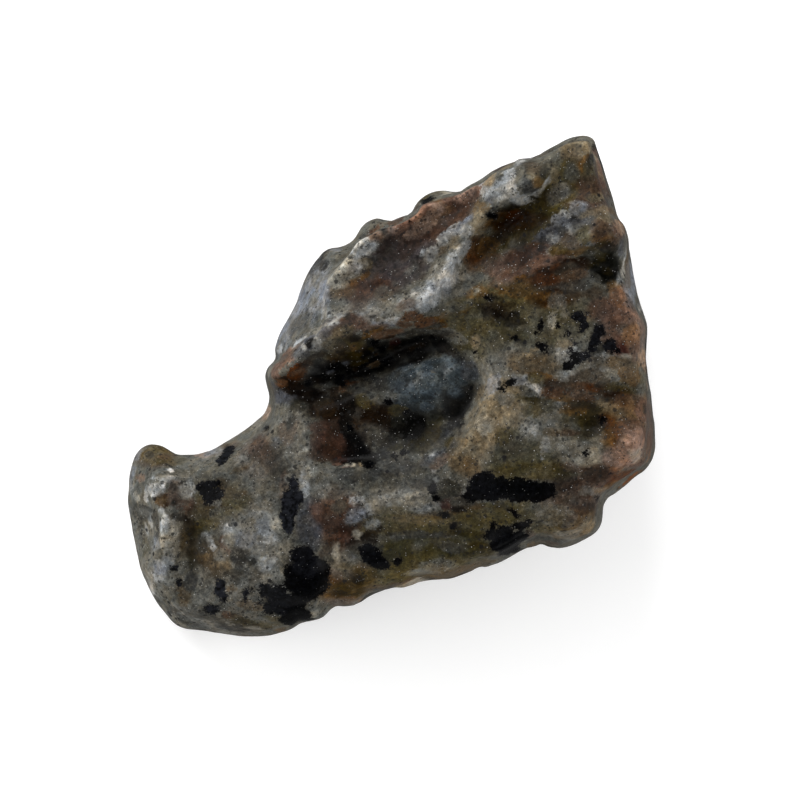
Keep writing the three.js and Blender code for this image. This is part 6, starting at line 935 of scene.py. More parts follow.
    (11.66, -1.92, 0.83, 0.67, 0, "khak2", 0.7), (16.08, -5.75, 0.83, 0.67, 0, "greige", 0.8),
    (18.24, -6.16, 1, 0.83, 0, "tanq", 0.5), (-5.25, -14.49, 0.58, 0.75, 0, "drab", 0.7),
    (-7.91, -1.5, 0.67, 0.58, 0, "drab", 0.7), (-9.41, 3.17, 0.67, 0.5, 30, "chalk", 0.7),
    (-15.58, -10, 1.83, 0.75, 10, "taupe", 0.7), (-13.91, -10.33, 1.17, 0.67, 0, "grey", 0.6),
    (-3.5, -16.66, 1.67, 0.75, 8, "olive", 0.8), (-4.5, -16.99, 0.75, 0.5, 0, "brown", 0.5),
    (-4.58, 5.5, 0.92, 0.18, 32, "chalk", 0.75), (-6.08, 4.58, 0.92, 0.18, 32, "pale", 0.75),
    (-7.5, 3.67, 0.92, 0.18, 32, "chalk", 0.8), (14.99, 19.83, 1.33, 0.75, 20, "greige", 0.85),
    (16.24, 18.58, 0.25, 1.17, -12, "umber", 0.6),
    (17.66, 13.83, 0.92, 0.58, -10, "greige", 0.75), (17.33, 12.99, 1, 0.58, -10, "taupe", 0.6),
    (17.58, 10.5, 0.67, 0.67, 0, "olived", 0.5), (17.16, 10.83, 0.5, 0.33, 0, "olive", 0.7),
    (17.83, 9.66, 0.42, 0.33, 0, "olive", 0.5), (-12.25, -12.66, 0.83, 0.67, 0, "ash", 0.5),
    (-10.83, -11.66, 0.75, 0.67, 0, "ash", 0.45), (2.75, 13.66, 1.08, 0.75, 30, "warmw", 0.8),
    (3.5, 14.66, 1, 0.5, 30, "warmw", 0.6), (1.83, 12.83, 0.92, 0.5, 30, "warmw", 0.5),
    # the thin pale lines at (0.67, 14.24) and (4, 15.91) are a painted highlight along the upper edge of the horn
    (0.67, 14.24, 1.67, 0.13, 29, "pale", 0.5), (4, 15.91, 1.83, 0.13, 27, "pale", 0.5),
    (13.83, 16.16, 1, 0.75, 40, "pale", 0.8), (-9.5, -11.33, 0.58, 0.75, 0, "cream", 0.75),
    (-6.75, 9.83, 0.83, 1, 30, "dgrey", 0.85), (-1.5, 0.33, 1.08, 0.58, 5, "slate", 0.8),
    (0.33, 0.33, 1.17, 0.58, 15, "ink", 0.7), (1.42, 0.92, 0.75, 0.5, 20, "eyed", 0.7),
    (-16.99, -8.41, 0.67, 0.67, 0, "chalk", 0.8), (17.24, 18.66, 0.5, 1.08, -14, "pink", 0.75),
    (-2.33, 11.58, 0.92, 0.42, 35, "chalk", 0.85), (2.92, 6.83, 0.92, 0.5, 30, "chalk", 0.8),
    (5.83, 9.5, 0.67, 0.67, 40, "cream", 0.7), (16.08, -5.75, 0.92, 0.67, 0, "cream", 0.65),
    (-3, 10, 0.75, 0.67, 20, "cream", 0.8), (-5, 9.66, 0.5, 0.42, 30, "pale", 0.6),
    (18.83, 13.33, 0.83, 0.75, 0, "buff", 0.6), (9.16, 18.33, 0.83, 0.42, 35, "taupe", 0.7),
    (20.74, 2.25, 0.67, 1.08, 0, "buff", 0.7), (21.07, 0.17, 0.5, 1, 0, "pink", 0.5),
    (17.99, -5.83, 1, 0.83, 0, "buffp", 0.6), (6, 12.99, 0.58, 0.58, 40, "chalk", 0.7),
    (-17.99, -18.41, 0.67, 0.33, -25, "dgrey", 0.7),
    (16.74, 15.66, 0.83, 0.42, 0, "greige", 0.75), (-0.75, -4.41, 1, 0.67, 0, "slate", 0.6),
    (-12.58, -14.08, 0.67, 0.75, 0, "slate", 0.75), (-18.16, -12, 0.58, 0.75, 0, "cream", 0.8),
    # the cream speck at (20.16, -5.66) is a painted highlight on the jaw knob
    (19.83, -5.33, 1.17, 1.42, 0, "buffp", 0.6), (20.16, -5.66, 0.58, 0.67, 0, "cream", 0.35),
    (7.83, 11.83, 1, 0.75, 40, "tan", 0.75), (3.42, 9.33, 0.5, 0.67, 50, "grey", 0.6),
    (1.5, -16.24, 1.17, 0.42, 8, "sand", 0.8), (9.08, 15.83, 0.67, 0.42, 0, "chalk", 0.7),
    (-4.17, 8.91, 0.83, 0.58, 20, "cream", 0.5), (-10.25, -14.58, 0.67, 0.67, 0, "chalk", 0.6),
    (-2.92, -10.41, 0.75, 0.67, 0, "ash", 0.7), (-14.16, -13.83, 0.67, 0.67, 0, "pale", 0.6),
    (13.58, 11.5, 0.83, 0.5, 0, "khak2", 0.75), (12.83, 19.66, 0.83, 0.42, 30, "dgrey", 0.6),
    (-4.17, 4.58, 0.75, 0.42, 20, "greige", 0.6), (-20.74, -10.66, 0.5, 0.5, 0, "slate", 0.5),
    (-5.83, -3.33, 0.92, 0.67, -20, "mauvl", 0.6), (-5.08, -4.83, 0.92, 0.75, 0, "mauve", 0.65),
    (-6.08, -5.58, 0.75, 0.5, -10, "mauve", 0.6), (-6.33, -4.33, 0.5, 0.75, 0, "mauvl", 0.5),
    (-5.5, -1.5, 1, 0.67, -10, "umbo", 0.55), (-3.75, -1.42, 0.67, 1.08, -10, "soot", 0.8),
    (-3.83, -3, 0.67, 1.08, 5, "ink", 0.8), (-3.17, -4.66, 0.92, 1.08, 15, "ink", 0.85),
    (-2.08, -5.83, 0.58, 0.67, 0, "soot", 0.9), (-4.58, -4, 0.42, 1, 0, "mauve", 0.4),
    (-3.5, 3, 1.67, 0.75, 16, "umbo", 0.8), (-4.5, 3.42, 0.75, 0.42, 20, "taupe", 0.5),
    (-2.92, 3.58, 0.67, 0.33, 20, "khak2", 0.5), (-2.17, 3, 0.42, 0.33, 0, "soot", 0.8),
    (-3.17, 4.08, 0.5, 0.25, 10, "umber", 0.8), (-1.67, 3.92, 0.5, 0.33, 0, "soot", 0.8),
    (-4.58, 1.67, 1.08, 0.58, 10, "ink", 0.8), (-5.83, 2, 0.67, 0.42, 0, "ink", 0.7),
    (0.83, 3, 0.75, 0.33, 20, "umber", 0.5), (2.17, 3.5, 0.58, 0.25, 0, "umbo", 0.4),
    (-0.5, 3.17, 0.5, 0.25, 20, "drab", 0.3), (-1.25, -0.75, 1.08, 0.5, -20, "grey", 0.7),
    (0.5, -1.67, 0.5, 0.33, -20, "khak2", 0.6), (-1, -2.5, 1, 0.75, 0, "brown", 0.75),
    (0.25, -3.67, 0.5, 0.42, 0, "soot", 0.7), (1.75, -3, 1.08, 0.92, 30, "soot", 0.75),
    (3.5, -3.75, 0.83, 0.75, 40, "olive", 0.7), (2.75, -4.66, 0.83, 0.42, 30, "olive", 0.6),
    (4, -4.91, 1.33, 0.42, 25, "grey", 0.5), (5.33, -4, 0.5, 0.83, -30, "grey", 0.6),
    (4, 1.42, 0.15, 1, 35, "eyed", 0.7), (4.58, 2.25, 0.75, 0.42, -30, "eye", 0.6),
    (4.91, -0.83, 0.75, 0.92, 0, "slate", 0.6), (5.25, -1.83, 0.75, 0.67, 0, "ink", 0.7),
    (-4.58, -6.41, 0.42, 0.15, 0, "rosy", 0.8), (-3.75, -6.5, 0.25, 0.13, 0, "cream", 0.8),
    (-3.17, -6.5, 0.2, 0.12, 0, "cream", 0.9), (-2.58, -6.41, 0.17, 0.12, 0, "sand", 0.8),
    (4.75, 9.08, 0.67, 0.67, 50, "chalk", 0.7), (-2.58, -0.17, 0.83, 0.42, 10, "umber", 0.6),
    (14.83, 17.91, 0.75, 0.67, 30, "grey", 0.7), (5, -0.33, 0.58, 0.5, 0, "eyed", 0.6),
    (-10.25, -12.41, 0.75, 0.67, 0, "chalk", 0.7), (-9.16, 0.5, 0.58, 0.42, 0, "tanq", 0.45),
    (-2.58, -17.58, 0.75, 0.33, 0, "pale", 0.6), (12.16, 14.91, 0.75, 0.5, 40, "khaki", 0.6),
    (-9.16, -10.08, 0.33, 0.67, 0, "grey", 0.6), (-0.33, 4.58, 1.33, 0.33, 15, "rust", 0.6),
    (2.75, 5.5, 1, 0.33, 10, "rust", 0.7), (-3.33, 0, 1, 0.42, 10, "rust", 0.6),
    (15.33, 14.83, 0.75, 0.5, 0, "ash", 0.6), (21.16, -6.16, 0.5, 1, -15, "tanq", 0.6),
    (-13.91, -19.41, 3.33, 0.5, -10, "dgrey", 0.5),
    (-15.99, -18.66, 1.67, 0.33, -22, "dgrey", 0.5), (-19.33, -10.66, 0.42, 0.5, 0, "grey", 0.6),
    (-19.24, -7.25, 0.58, 0.33, 0, "grey", 0.6), (9, 18.33, 0.92, 0.42, 30, "mgrey", 0.8),
    (11, -13.41, 0.75, 0.42, 20, "umber", 0.7), (-3.83, -7, 1, 0.33, 0, "slate", 0.6),
    (-6.25, 10.5, 0.58, 0.58, 40, "dgrey", 0.8), (-12.41, -6.16, 0.75, 0.5, 20, "pale", 0.6),
    (6.08, 16.16, 0.83, 0.5, 28, "pink", 0.7), (7.41, 13.83, 0.67, 0.58, 40, "sand", 0.6),
    (19.74, 4.5, 0.75, 1, 0, "tanp", 0.5), (-6, -8.33, 0.75, 0.67, 0, "pale", 0.6),
    (9.5, -0.92, 0.75, 0.58, -30, "pale", 0.6), (7.83, -0.08, 0.58, 1, -15, "pale", 0.75),
    (-2.08, 10.33, 0.5, 0.5, 0, "greige", 0.6), (3.25, 11.08, 0.67, 0.42, 40, "chalk", 0.5),
    (16.66, 7.83, 0.75, 0.58, 0, "rustm", 0.6), (-5.16, 3.83, 0.67, 0.42, 25, "greige", 0.7),
    (1.92, 4.83, 0.83, 0.33, 10, "umber", 0.7), (11.83, 0.83, 0.67, 0.5, 0, "khaki", 0.6),
    (4.83, -4.5, 0.5, 0.58, 0, "khak2", 0.7), (-4.41, -9.66, 0.67, 0.58, 0, "grey", 0.6),
    (19.99, -7.41, 1.17, 0.67, 30, "rusto", 0.85), (19.74, 1, 1, 0.75, 0, "tan", 0.7),
    (12.91, 9.08, 1.33, 0.5, 12, "rust", 0.85), (14.16, 10, 1, 0.42, 12, "rustd", 0.6),
    (-20.82, -5.33, 1, 0.58, 20, "grey", 0.7), (-7.83, 1.17, 0.75, 0.5, 20, "rust", 0.6),
    (-10.16, 1.58, 0.5, 0.75, 0, "pale", 0.7), (13.33, -0.42, 1.08, 0.5, 0, "rust", 0.65),
    (15.66, -0.75, 1.17, 0.42, 0, "rust", 0.5), (18.74, 7.58, 0.75, 0.75, 0, "tanq", 0.6),
    (-21.57, -6.91, 0.42, 0.75, 0, "ash", 0.6), (0.33, 13.91, 0.75, 0.42, 28, "mauve", 0.7),
    (3.67, 15.66, 0.83, 0.33, 28, "greige", 0.6), (11.83, -12.99, 0.75, 0.42, 0, "tan", 0.5),
    (-2.83, -13.33, 0.75, 0.5, 0, "brown", 0.5), (-19.66, -12.91, 0.5, 0.67, 0, "ash", 0.5),
    (-0.67, 7.83, 0.83, 0.5, 20, "greige", 0.6), (17.74, -2.67, 0.75, 0.67, 0, "rust", 0.5),
    (-10.5, -1.92, 0.58, 0.83, 40, "warmw", 0.55), (-15.66, -5.5, 1.33, 0.33, 0, "warmw", 0.45),
    (18.33, -0.83, 1, 0.5, 0, "rustd", 0.5), (-3.58, 4.75, 0.83, 0.42, 20, "mauvl", 0.6),
    (8.41, 5.75, 0.75, 0.5, 0, "umber", 0.5), (-2.58, 10.25, 0.67, 0.58, 20, "cream", 0.6),
    (-2.75, -0.08, 0.92, 0.42, 10, "umber", 0.6), (0.08, 0.83, 1.08, 0.5, 15, "soot", 0.6),
    (-6.41, 10.33, 0.58, 0.67, 40, "dgrey", 0.8), (-17.33, -19.66, 1.17, 0.25, -20, "pale", 0.7),
    (5.16, -0.25, 0.58, 0.5, 0, "eye", 0.6), (7.41, -0.33, 0.42, 0.83, -15, "dgrey", 0.6),
    (-19.49, -10.83, 0.42, 0.5, 0, "dgrey", 0.6), (-8, 5.33, 1, 0.83, 0, "dgrey", 0.5),
    (12.83, 19.66, 0.92, 0.42, 30, "mgrey", 0.7), (-6.58, 7.5, 0.5, 0.83, 0, "grey", 0.6),
    (-3.75, 4.75, 0.75, 0.42, 20, "greige", 0.7), (19.41, -7.91, 1, 0.42, 35, "rusto", 0.8),
    (-13.58, -20.24, 1.33, 0.2, -5, "pale", 0.6), (10.33, 0.58, 0.67, 0.42, 0, "ash", 0.6),
    (2.25, -15.91, 1, 0.42, 8, "cream", 0.6), (4.41, 8.83, 0.67, 0.67, 50, "white", 0.6),
    (-3, 10, 0.75, 0.58, 20, "cream", 0.6), (0.92, 13.66, 0.75, 0.42, 28, "mauvl", 0.5),
    (13.74, 13.83, 0.67, 0.5, 0, "ash", 0.6), (2.92, -1.5, 0.67, 0.5, 0, "eye", 0.6),
    (-4.33, -4.66, 0.42, 0.83, 0, "mauvl", 0.5), (-14.91, -5.33, 1, 0.42, 0, "ash", 0.5),
    (5.33, -4.66, 0.5, 0.67, -30, "greige", 0.6), (-9.16, -10.08, 0.33, 0.67, 0, "grey", 0.6),
    (-21.32, -10.25, 0.42, 0.58, 0, "dgrey", 0.5), (-7.16, 8.91, 0.67, 0.67, 0, "grey", 0.6),
    (8.5, 0.42, 0.5, 0.83, -15, "ash", 0.6), (-13.08, -8.75, 0.67, 0.58, 0, "taupe", 0.5),
    (-2.5, 2.67, 0.25, 0.17, 0, "soot", 0.8), (-1.33, 3, 0.25, 0.17, 0, "umbo", 0.7),
    (-0.08, 3.5, 0.33, 0.17, 20, "umbo", 0.6), (1.58, 3.25, 0.33, 0.17, 0, "umbo", 0.6),
    (-3.92, 2.17, 0.25, 0.17, 0, "steel", 0.4), (-5.08, 1.42, 0.25, 0.17, 0, "steel", 0.4),
    (-3, 1.67, 0.25, 0.17, 0, "umbo", 0.6), (-1.67, 1.83, 0.2, 0.17, 0, "sand", 0.5),
    (-3.33, 3.42, 0.33, 0.2, 20, "sandd", 0.6), (-4.33, 3, 0.33, 0.17, 0, "umber", 0.7),
    (-4.91, 3.5, 0.25, 0.17, 0, "soot", 0.6), (-8.33, -7.5, 0.58, 0.5, 0, "pale", 0.7),
    (9.16, 18.33, 0.83, 0.5, 20, "greige", 0.7), (-3.08, 10, 0.58, 0.42, 20, "white", 0.45),
    (-5.16, 3.67, 0.58, 0.42, 20, "greige", 0.5), (-9, -19.99, 0.67, 0.25, 0, "taupe", 0.5),
    (5.16, -4.91, 0.5, 0.67, -30, "grey", 0.5), (-19.99, -12.58, 0.42, 0.67, 0, "grey", 0.5),
    (12.83, 19.66, 0.83, 0.5, 20, "greige", 0.5), (-21.07, -5.33, 0.5, 0.5, 0, "grey", 0.5),
    (-0.75, 7.91, 0.75, 0.5, 20, "grey", 0.6), (14.99, 18.99, 0.58, 0.42, 0, "taupe", 0.5),
    (-2.5, -17.49, 0.5, 0.25, 0, "tanp", 0.4), (-9, -20.08, 0.75, 0.25, 0, "tan", 0.6),
    (0.42, 0, 0.75, 0.42, 10, "eyed", 0.5), (5.16, -5, 0.5, 0.67, -30, "dgrey", 0.5),
    (17.91, 4.08, 0.75, 0.42, 0, "rosy", 0.5), (6.5, 10.5, 0.67, 0.83, 30, "rusto", 0.35),
    (3.67, 15.91, 0.83, 0.42, 20, "grey", 0.5), (14.99, 9.5, 1.17, 0.42, 8, "rusto", 0.35),
    (-21.07, -5.33, 0.5, 0.5, 0, "ash", 0.5), (-19.91, -16.99, 0.33, 0.58, 0, "white", 0.5),
    (-2.67, -0.08, 0.67, 0.33, 0, "soot", 0.5), (10.58, -13.41, 0.67, 0.33, 0, "ink", 0.6),
    (21.16, 0.08, 0.42, 0.92, 0, "pink", 0.7), (0.25, 0.33, 0.83, 0.42, 12, "ink", 0.5),
    (10.75, -13.33, 0.67, 0.33, 10, "soot", 0.7), (17.16, 18.66, 0.42, 1, -14, "pink", 0.5),
    (12.83, 19.66, 0.75, 0.42, 20, "taupe", 0.5), (-21.16, -5.58, 0.5, 0.58, 0, "ash", 0.5),
]


# ------------------------------------------------------------ curve helpers
def spline(points, steps, closed):
    p = np.array(points, float)
    n = len(p)
    out = []
    for i in range(n if closed else n - 1):
        if closed:
            a, b, c, d = p[i - 1], p[i], p[(i + 1) % n], p[(i + 2) % n]
        else:
            b, c = p[i], p[i + 1]
            a = p[i - 1] if i > 0 else 2 * b - c
            d = p[i + 2] if i + 2 < n else 2 * c - b
        for s in range(steps):
            t = s / steps
            out.append(0.5 * (2 * b + (c - a) * t + (2 * a - 5 * b + 4 * c - d) * t * t
                              + (3 * b - a - 3 * c + d) * t ** 3))
    if not closed:
        out.append(p[-1])
    return np.array(out)


def window(xs, ys, box, pad):
    i0, i1 = np.searchsorted(xs, [box[0] - pad, box[2] + pad])
    j0, j1 = np.searchsorted(ys, [box[1] - pad, box[3] + pad])
    return slice(i0, i1), slice(j0, j1)


def nearest_on(xs, ys, line, closed, reach):
    """Distance from each grid point to a polyline within reach, and the place on it."""
    best = np.full((len(xs), len(ys)), float(reach * reach))
    where = np.zeros_like(best)
    n = len(line)
    for i in range(n if closed else n - 1):
        a, b = line[i], line[(i + 1) % n]
        box = (min(a[0], b[0]), min(a[1], b[1]), max(a[0], b[0]), max(a[1], b[1]))
        si, sj = window(xs, ys, box, reach)
        if si.start >= si.stop or sj.start >= sj.stop:
            continue
        x, y = xs[si][:, None], ys[sj][None, :]
        dx, dy = b[0] - a[0], b[1] - a[1]
        t = np.clip(((x - a[0]) * dx + (y - a[1]) * dy) / max(dx * dx + dy * dy, 1e-12), 0, 1)
        d = (a[0] + t * dx - x) ** 2 + (a[1] + t * dy - y) ** 2
        part = best[si, sj]
        closer = d < part
        part[closer] = d[closer]
        w = where[si, sj]
        w[closer] = (i + t)[closer]
    return np.sqrt(best), where


def inside_of(xs, ys, loop):
    odd = np.zeros((len(xs), len(ys)), bool)
    n = len(loop)
    for i in range(n):
        a, b = loop[i], loop[(i + 1) % n]
        lo, hi = min(a[1], b[1]), max(a[1], b[1])
        j0, j1 = np.searchsorted(ys, [lo, hi])
        for j in range(j0, j1):
            cross = (b[0] - a[0]) * (ys[j] - a[1]) / (b[1] - a[1]) + a[0]
            odd[: np.searchsorted(xs, cross), j] ^= True
    return odd


def depth_in(xs, ys, loop, reach=4.4):
    d, _ = nearest_on(xs, ys, loop, True, reach)
    return np.where(inside_of(xs, ys, loop), d, -d)


def sheet_on(xs, ys, samples, stiffness):
    unit = 8.0
    s = np.array(samples, float)
    p = s[:, :2] / unit
    n = len(p)

    def kernel(r2):
        return np.where(r2 > 1e-18, 0.5 * r2 * np.log(np.maximum(r2, 1e-18)), 0.0)

    A = np.zeros((n + 3, n + 3))
    A[:n, :n] = kernel(((p[:, None] - p[None]) ** 2).sum(2)) + stiffness * np.eye(n)
    A[:n, n] = A[n, :n] = 1
    A[:n, n + 1:] = p
    A[n + 1:, :n] = p.T
    w = np.linalg.solve(A, np.r_[s[:, 2], 0, 0, 0])
    u, v = xs[:, None] / unit, ys[None, :] / unit
    out = w[n] + w[n + 1] * u + w[n + 2] * v
    for i in range(n):
        out = out + w[i] * kernel((u - p[i, 0]) ** 2 + (v - p[i, 1]) ** 2)
    return out


OUT_LINE = spline(OUTLINE, 4, True)
LOW = OUT_LINE.min(0) - 1.9
HIGH = OUT_LINE.max(0) + 1.9
XS = np.arange(LOW[0] - 0.4, HIGH[0] + 0.8, GRID)
YS = np.arange(LOW[1] - 0.4, HIGH[1] + 0.8, GRID)


def profile_fields(fine_strokes=()):
    x, y = XS[:, None], YS[None, :]
    half = sheet_on(XS, YS, FACE_HALF, 0.02)
    for width, points in list(STROKES) + list(fine_strokes):
        line = spline(points, 5, False)
        r, at = nearest_on(XS, YS, line[:, :2], False, 3 * width)
        i = np.minimum(at.astype(int), len(line) - 2)
        f = at - i
        height = line[i, 2] * (1 - f) + line[i + 1, 2] * f
        half = half + np.where(r < 3 * width, height * np.exp(-(r / width) ** 2), 0)
    for width, points in KEEN_RIDGES:
        line = spline(points, 5, False)
        r, at = nearest_on(XS, YS, line[:, :2], False, 1.0 * width)
        i = np.minimum(at.astype(int), len(line) - 2)
        f = at - i
        height = line[i, 2] * (1 - f) + line[i + 1, 2] * f
        half = half + height * np.clip(1 - r / width, 0, 1) ** 1.6
    for mx, my, rx, ry, deg, height in MOUNDS:
        c, n = math.cos(math.radians(deg)), math.sin(math.radians(deg))
        u = ((x - mx) * c + (y - my) * n) / rx
        v = ((y - my) * c - (x - mx) * n) / ry
        half = half + height * np.exp(-1.5 * (u * u + v * v) ** 1.5)
    crest = np.clip(sheet_on(XS, YS, CREST_HALF, 0.02), 1.1, 9)
    for kx, ky, r, height in CREST_KNOBS:
        crest = crest + height * np.exp(-((x - kx) ** 2 + (y - ky) ** 2) / (r * r))
    return np.stack([
        depth_in(XS, YS, spline(HEAD_LOOP, 4, True)),
        np.clip(half, 1.5, 12.5),
        np.clip(sheet_on(XS, YS, HEAD_RADIUS, 0.05), 0.5, 4),
        depth_in(XS, YS, spline(CREST_LOOP, 4, True)),
        crest,
        np.clip(sheet_on(XS, YS, CREST_RADIUS, 0.05), 0.9, 3.2),
    ], -1).astype(np.float32)


FIELDS = profile_fields(FINE_STROKES)


def section(x, y):
    """Profile quantities at any points, by smooth look-up."""
    u = np.clip((x - XS[0]) / GRID, 0, len(XS) - 1.001)
    v = np.clip((y - YS[0]) / GRID, 0, len(YS) - 1.001)
    i, j = u.astype(int), v.astype(int)
    f, g = (u - i)[..., None], (v - j)[..., None]
    return ((FIELDS[i, j] * (1 - g) + FIELDS[i, j + 1] * g) * (1 - f)
            + (FIELDS[i + 1, j] * (1 - g) + FIELDS[i + 1, j + 1] * g) * f)


def slab_distance(z, d, half, rnd):
    v = z / half
    u = np.maximum(0, 1 - d / rnd)
    rho = np.hypot(u, v)
    s = np.hypot(u / rnd, v / half)
    return np.where(rho < 0.02, -half, np.maximum((rho - 1) * rho / np.maximum(s, 1e-6), -4))


def rod_distance(x, y, z, rods):
    best = np.inf
    for a, b in zip(rods[:-1], rods[1:]):
        bx, by, bz = b[0] - a[0], b[1] - a[1], b[2] - a[2]
        t = np.clip(((x - a[0]) * bx + (y - a[1]) * by + (z - a[2]) * bz)
                    / (bx * bx + by * by + bz * bz), 0, 1)
        best = np.minimum(best, np.sqrt((x - a[0] - t * bx) ** 2 + (y - a[1] - t * by) ** 2
                                        + (z - a[2] - t * bz) ** 2) - (a[3] + (b[3] - a[3]) * t))
    return best


def soft_max(a, b, k):
    h = np.maximum(k - np.abs(a - b), 0) / k
    return np.maximum(a, b) + h * h * k * 0.25


def distance(x, y, z, sec):
    az = np.abs(z)
    f = slab_distance(az, sec[..., 0], sec[..., 1], sec[..., 2])
    for rods in CHANNELS:
        f = soft_max(f, -rod_distance(x, y, az, rods), CHANNEL_BLEND)
    f = -soft_max(-f, -slab_distance(az, sec[..., 3], sec[..., 4], sec[..., 5]), CREST_BLEND)
    for rods in HOLLOWS:
        f = soft_max(f, -rod_distance(x, y, az, rods), CHANNEL_BLEND)
    for a, kx, ky, kz, phase in WAVES:
        f = f - a * np.sin(kx * x + ky * y + kz * z + phase)
    return f


def field(p):
    return distance(p[:, 0], p[:, 1], p[:, 2], section(p[:, 0], p[:, 1]))


# ------------------------------------------------------- lattice to surface
def surface(pitch):
    xs = np.arange(LOW[0], HIGH[0] + pitch, pitch)
    ys = np.arange(LOW[1], HIGH[1] + pitch, pitch)
    zs = np.arange(-13.2, 13.2 + pitch, pitch)
    value = np.empty((len(xs), len(ys), len(zs)), np.float32)
    for k in range(0, len(xs), 24):
        x = xs[k:k + 24]
        sec = section(np.broadcast_to(x[:, None], (len(x), len(ys))),
                      np.broadcast_to(ys[None, :], (len(x), len(ys))))
        value[k:k + 24] = distance(x[:, None, None], ys[None, :, None], zs[None, None, :],
                                   sec[:, :, None, :].astype(np.float32))
    solid = value < 0
    count = np.zeros(tuple(s - 1 for s in solid.shape), np.uint8)
    for a in (0, 1):
        for b in (0, 1):
            for c in (0, 1):
                count += solid[a:solid.shape[0] - 1 + a, b:solid.shape[1] - 1 + b,
                               c:solid.shape[2] - 1 + c]
    cells = np.argwhere((count > 0) & (count < 8))
    ids = np.full(count.shape, -1, np.int64)
    ids[tuple(cells.T)] = np.arange(len(cells))
    total = np.zeros((len(cells), 3))
    hits = np.zeros(len(cells))
    for e in range(12):
        axis = e >> 2
        c0 = np.zeros(3, int)
        c0[(axis + 1) % 3], c0[(axis + 2) % 3] = e & 1, (e >> 1) & 1
        c1 = c0.copy()
        c1[axis] = 1
        a = value[tuple((cells + c0).T)]
        b = value[tuple((cells + c1).T)]
        on = (a < 0) != (b < 0)
        t = np.where(on, a / np.where(on, a - b, 1), 0)
        total += np.where(on[:, None], c0 + t[:, None] * (c1 - c0), 0)
        hits += on
    verts = np.array([xs[0], ys[0], zs[0]]) + (cells + total / hits[:, None]) * pitch
    quads = []
    for axis in range(3):
        u, v = np.eye(3, dtype=int)[(axis + 1) % 3], np.eye(3, dtype=int)[(axis + 2) % 3]
        lo = [slice(1, -1)] * 3
        hi = [slice(1, -1)] * 3
        lo[axis], hi[axis] = slice(0, -1), slice(1, None)
        cross = np.argwhere(solid[tuple(lo)] != solid[tuple(hi)])
        cross = cross + np.array([0 if k == axis else 1 for k in range(3)])
        here = solid[tuple(cross.T)]
        q = np.stack([ids[tuple((cross - a * u - b * v).T)]
                      for a, b in ((1, 1), (0, 1), (0, 0), (1, 0))], 1)
        quads.append(np.where(here[:, None], q, q[:, ::-1]))
    return verts, np.concatenate(quads)


def gradient(p, h=0.05):
    g = np.empty_like(p)
    for m in range(3):
        step = np.zeros(3)
        step[m] = h
        g[:, m] = (field(p + step) - field(p - step)) / (2 * h)
    return g


def pull(p):
    """Newton step onto the surface; gives back the points and the outward normals."""
    g = gradient(p)
    slope = np.sqrt(np.maximum((g * g).sum(1), 0.04))
    n = g / slope[:, None]
    step = np.clip(field(p) / slope, -0.12, 0.12)
    return p - step[:, None] * n, n


def settle(p, quads, rounds):
    e = np.concatenate([quads[:, [0, 1]], quads[:, [1, 2]], quads[:, [2, 3]], quads[:, [3, 0]]])
    e = np.concatenate([e, e[:, ::-1]])
    near = np.bincount(e[:, 0], minlength=len(p)).astype(float)
    for _ in range(rounds):
        p, n = pull(p)
        mean = np.stack([np.bincount(e[:, 0], p[e[:, 1], m], len(p)) for m in range(3)], 1)
        d = mean / near[:, None] - p
        d -= (d * n).sum(1)[:, None] * n
        p = p + 0.5 * d
    for _ in range(3):
        p, n = pull(p)
    return p, n


# ---------------------------------------------------------- seeded 3-D noise
def value_noise(p, scale, seed):
    rng = np.random.default_rng(seed)
    table = rng.random(4096).astype(np.float32) * 2 - 1
    q = p / scale + 1000.0
    i = np.floor(q).astype(np.int64)
    f = q - i
    f = f * f * f * (f * (f * 6 - 15) + 10)
    out = 0
    for a in (0, 1):
        for b in (0, 1):
            for c in (0, 1):
                h = ((i[:, 0] + a) * 73856093) ^ ((i[:, 1] + b) * 19349663) ^ ((i[:, 2] + c) * 83492791)
                w = ((f[:, 0] if a else 1 - f[:, 0]) * (f[:, 1] if b else 1 - f[:, 1])
                     * (f[:, 2] if c else 1 - f[:, 2]))
                out = out + w * table[h & 4095]
    return out


# ------------------------------------------------------------- build the mesh
P, QUADS = surface(PITCH)
P, N = settle(P, QUADS, 4)

# the tumbled skin: soft lumps, fine unevenness, and shallow pits
relief = (0.055 * value_noise(P, 2.4, 3) + 0.032 * value_noise(P, 1.15, 4)
          + 0.014 * value_noise(P, 0.6, 5))
BASE = P.copy()
P = P + relief[:, None] * N


def bulge(rounds):
    """How far each point stands out from its neighbours, mm: > 0 on edges, < 0 in creases."""
    e = np.concatenate([QUADS[:, [0, 1]], QUADS[:, [1, 2]], QUADS[:, [2, 3]], QUADS[:, [3, 0]]])
    e = np.concatenate([e, e[:, ::-1]])
    near = np.bincount(e[:, 0], minlength=len(BASE)).astype(float)
    mean = np.stack([np.bincount(e[:, 0], BASE[e[:, 1], m], len(BASE)) for m in range(3)], 1)
    c = ((BASE - mean / near[:, None]) * N).sum(1)
    for _ in range(rounds):
        c = 0.5 * c + 0.5 * np.bincount(e[:, 0], c[e[:, 1]], len(BASE)) / near
    return c / (PITCH / 0.272) ** 2


BULGE = bulge(2)
SWELL = bulge(12)


def to_row(p):
    """Profile frame (mm) to row frame (m)."""
    hz, ly, lx = (math.radians(a) for a in (HEADING_DEG, LEAN_NOSE_DEG, LEAN_ROLL_DEG))
    m = Matrix.Rotation(lx, 3, "X") @ Matrix.Rotation(ly, 3, "Y") @ Matrix.Rotation(hz, 3, "Z")
    return (p @ np.array(m).T + np.array(SHIFT)) / 1000.0, np.array(m)


ROW, TURN = to_row(P)
ROW[:, 2] = np.maximum(ROW[:, 2], 0.0)


FACING = np.flatnonzero(N[:, 2] > 0.03)


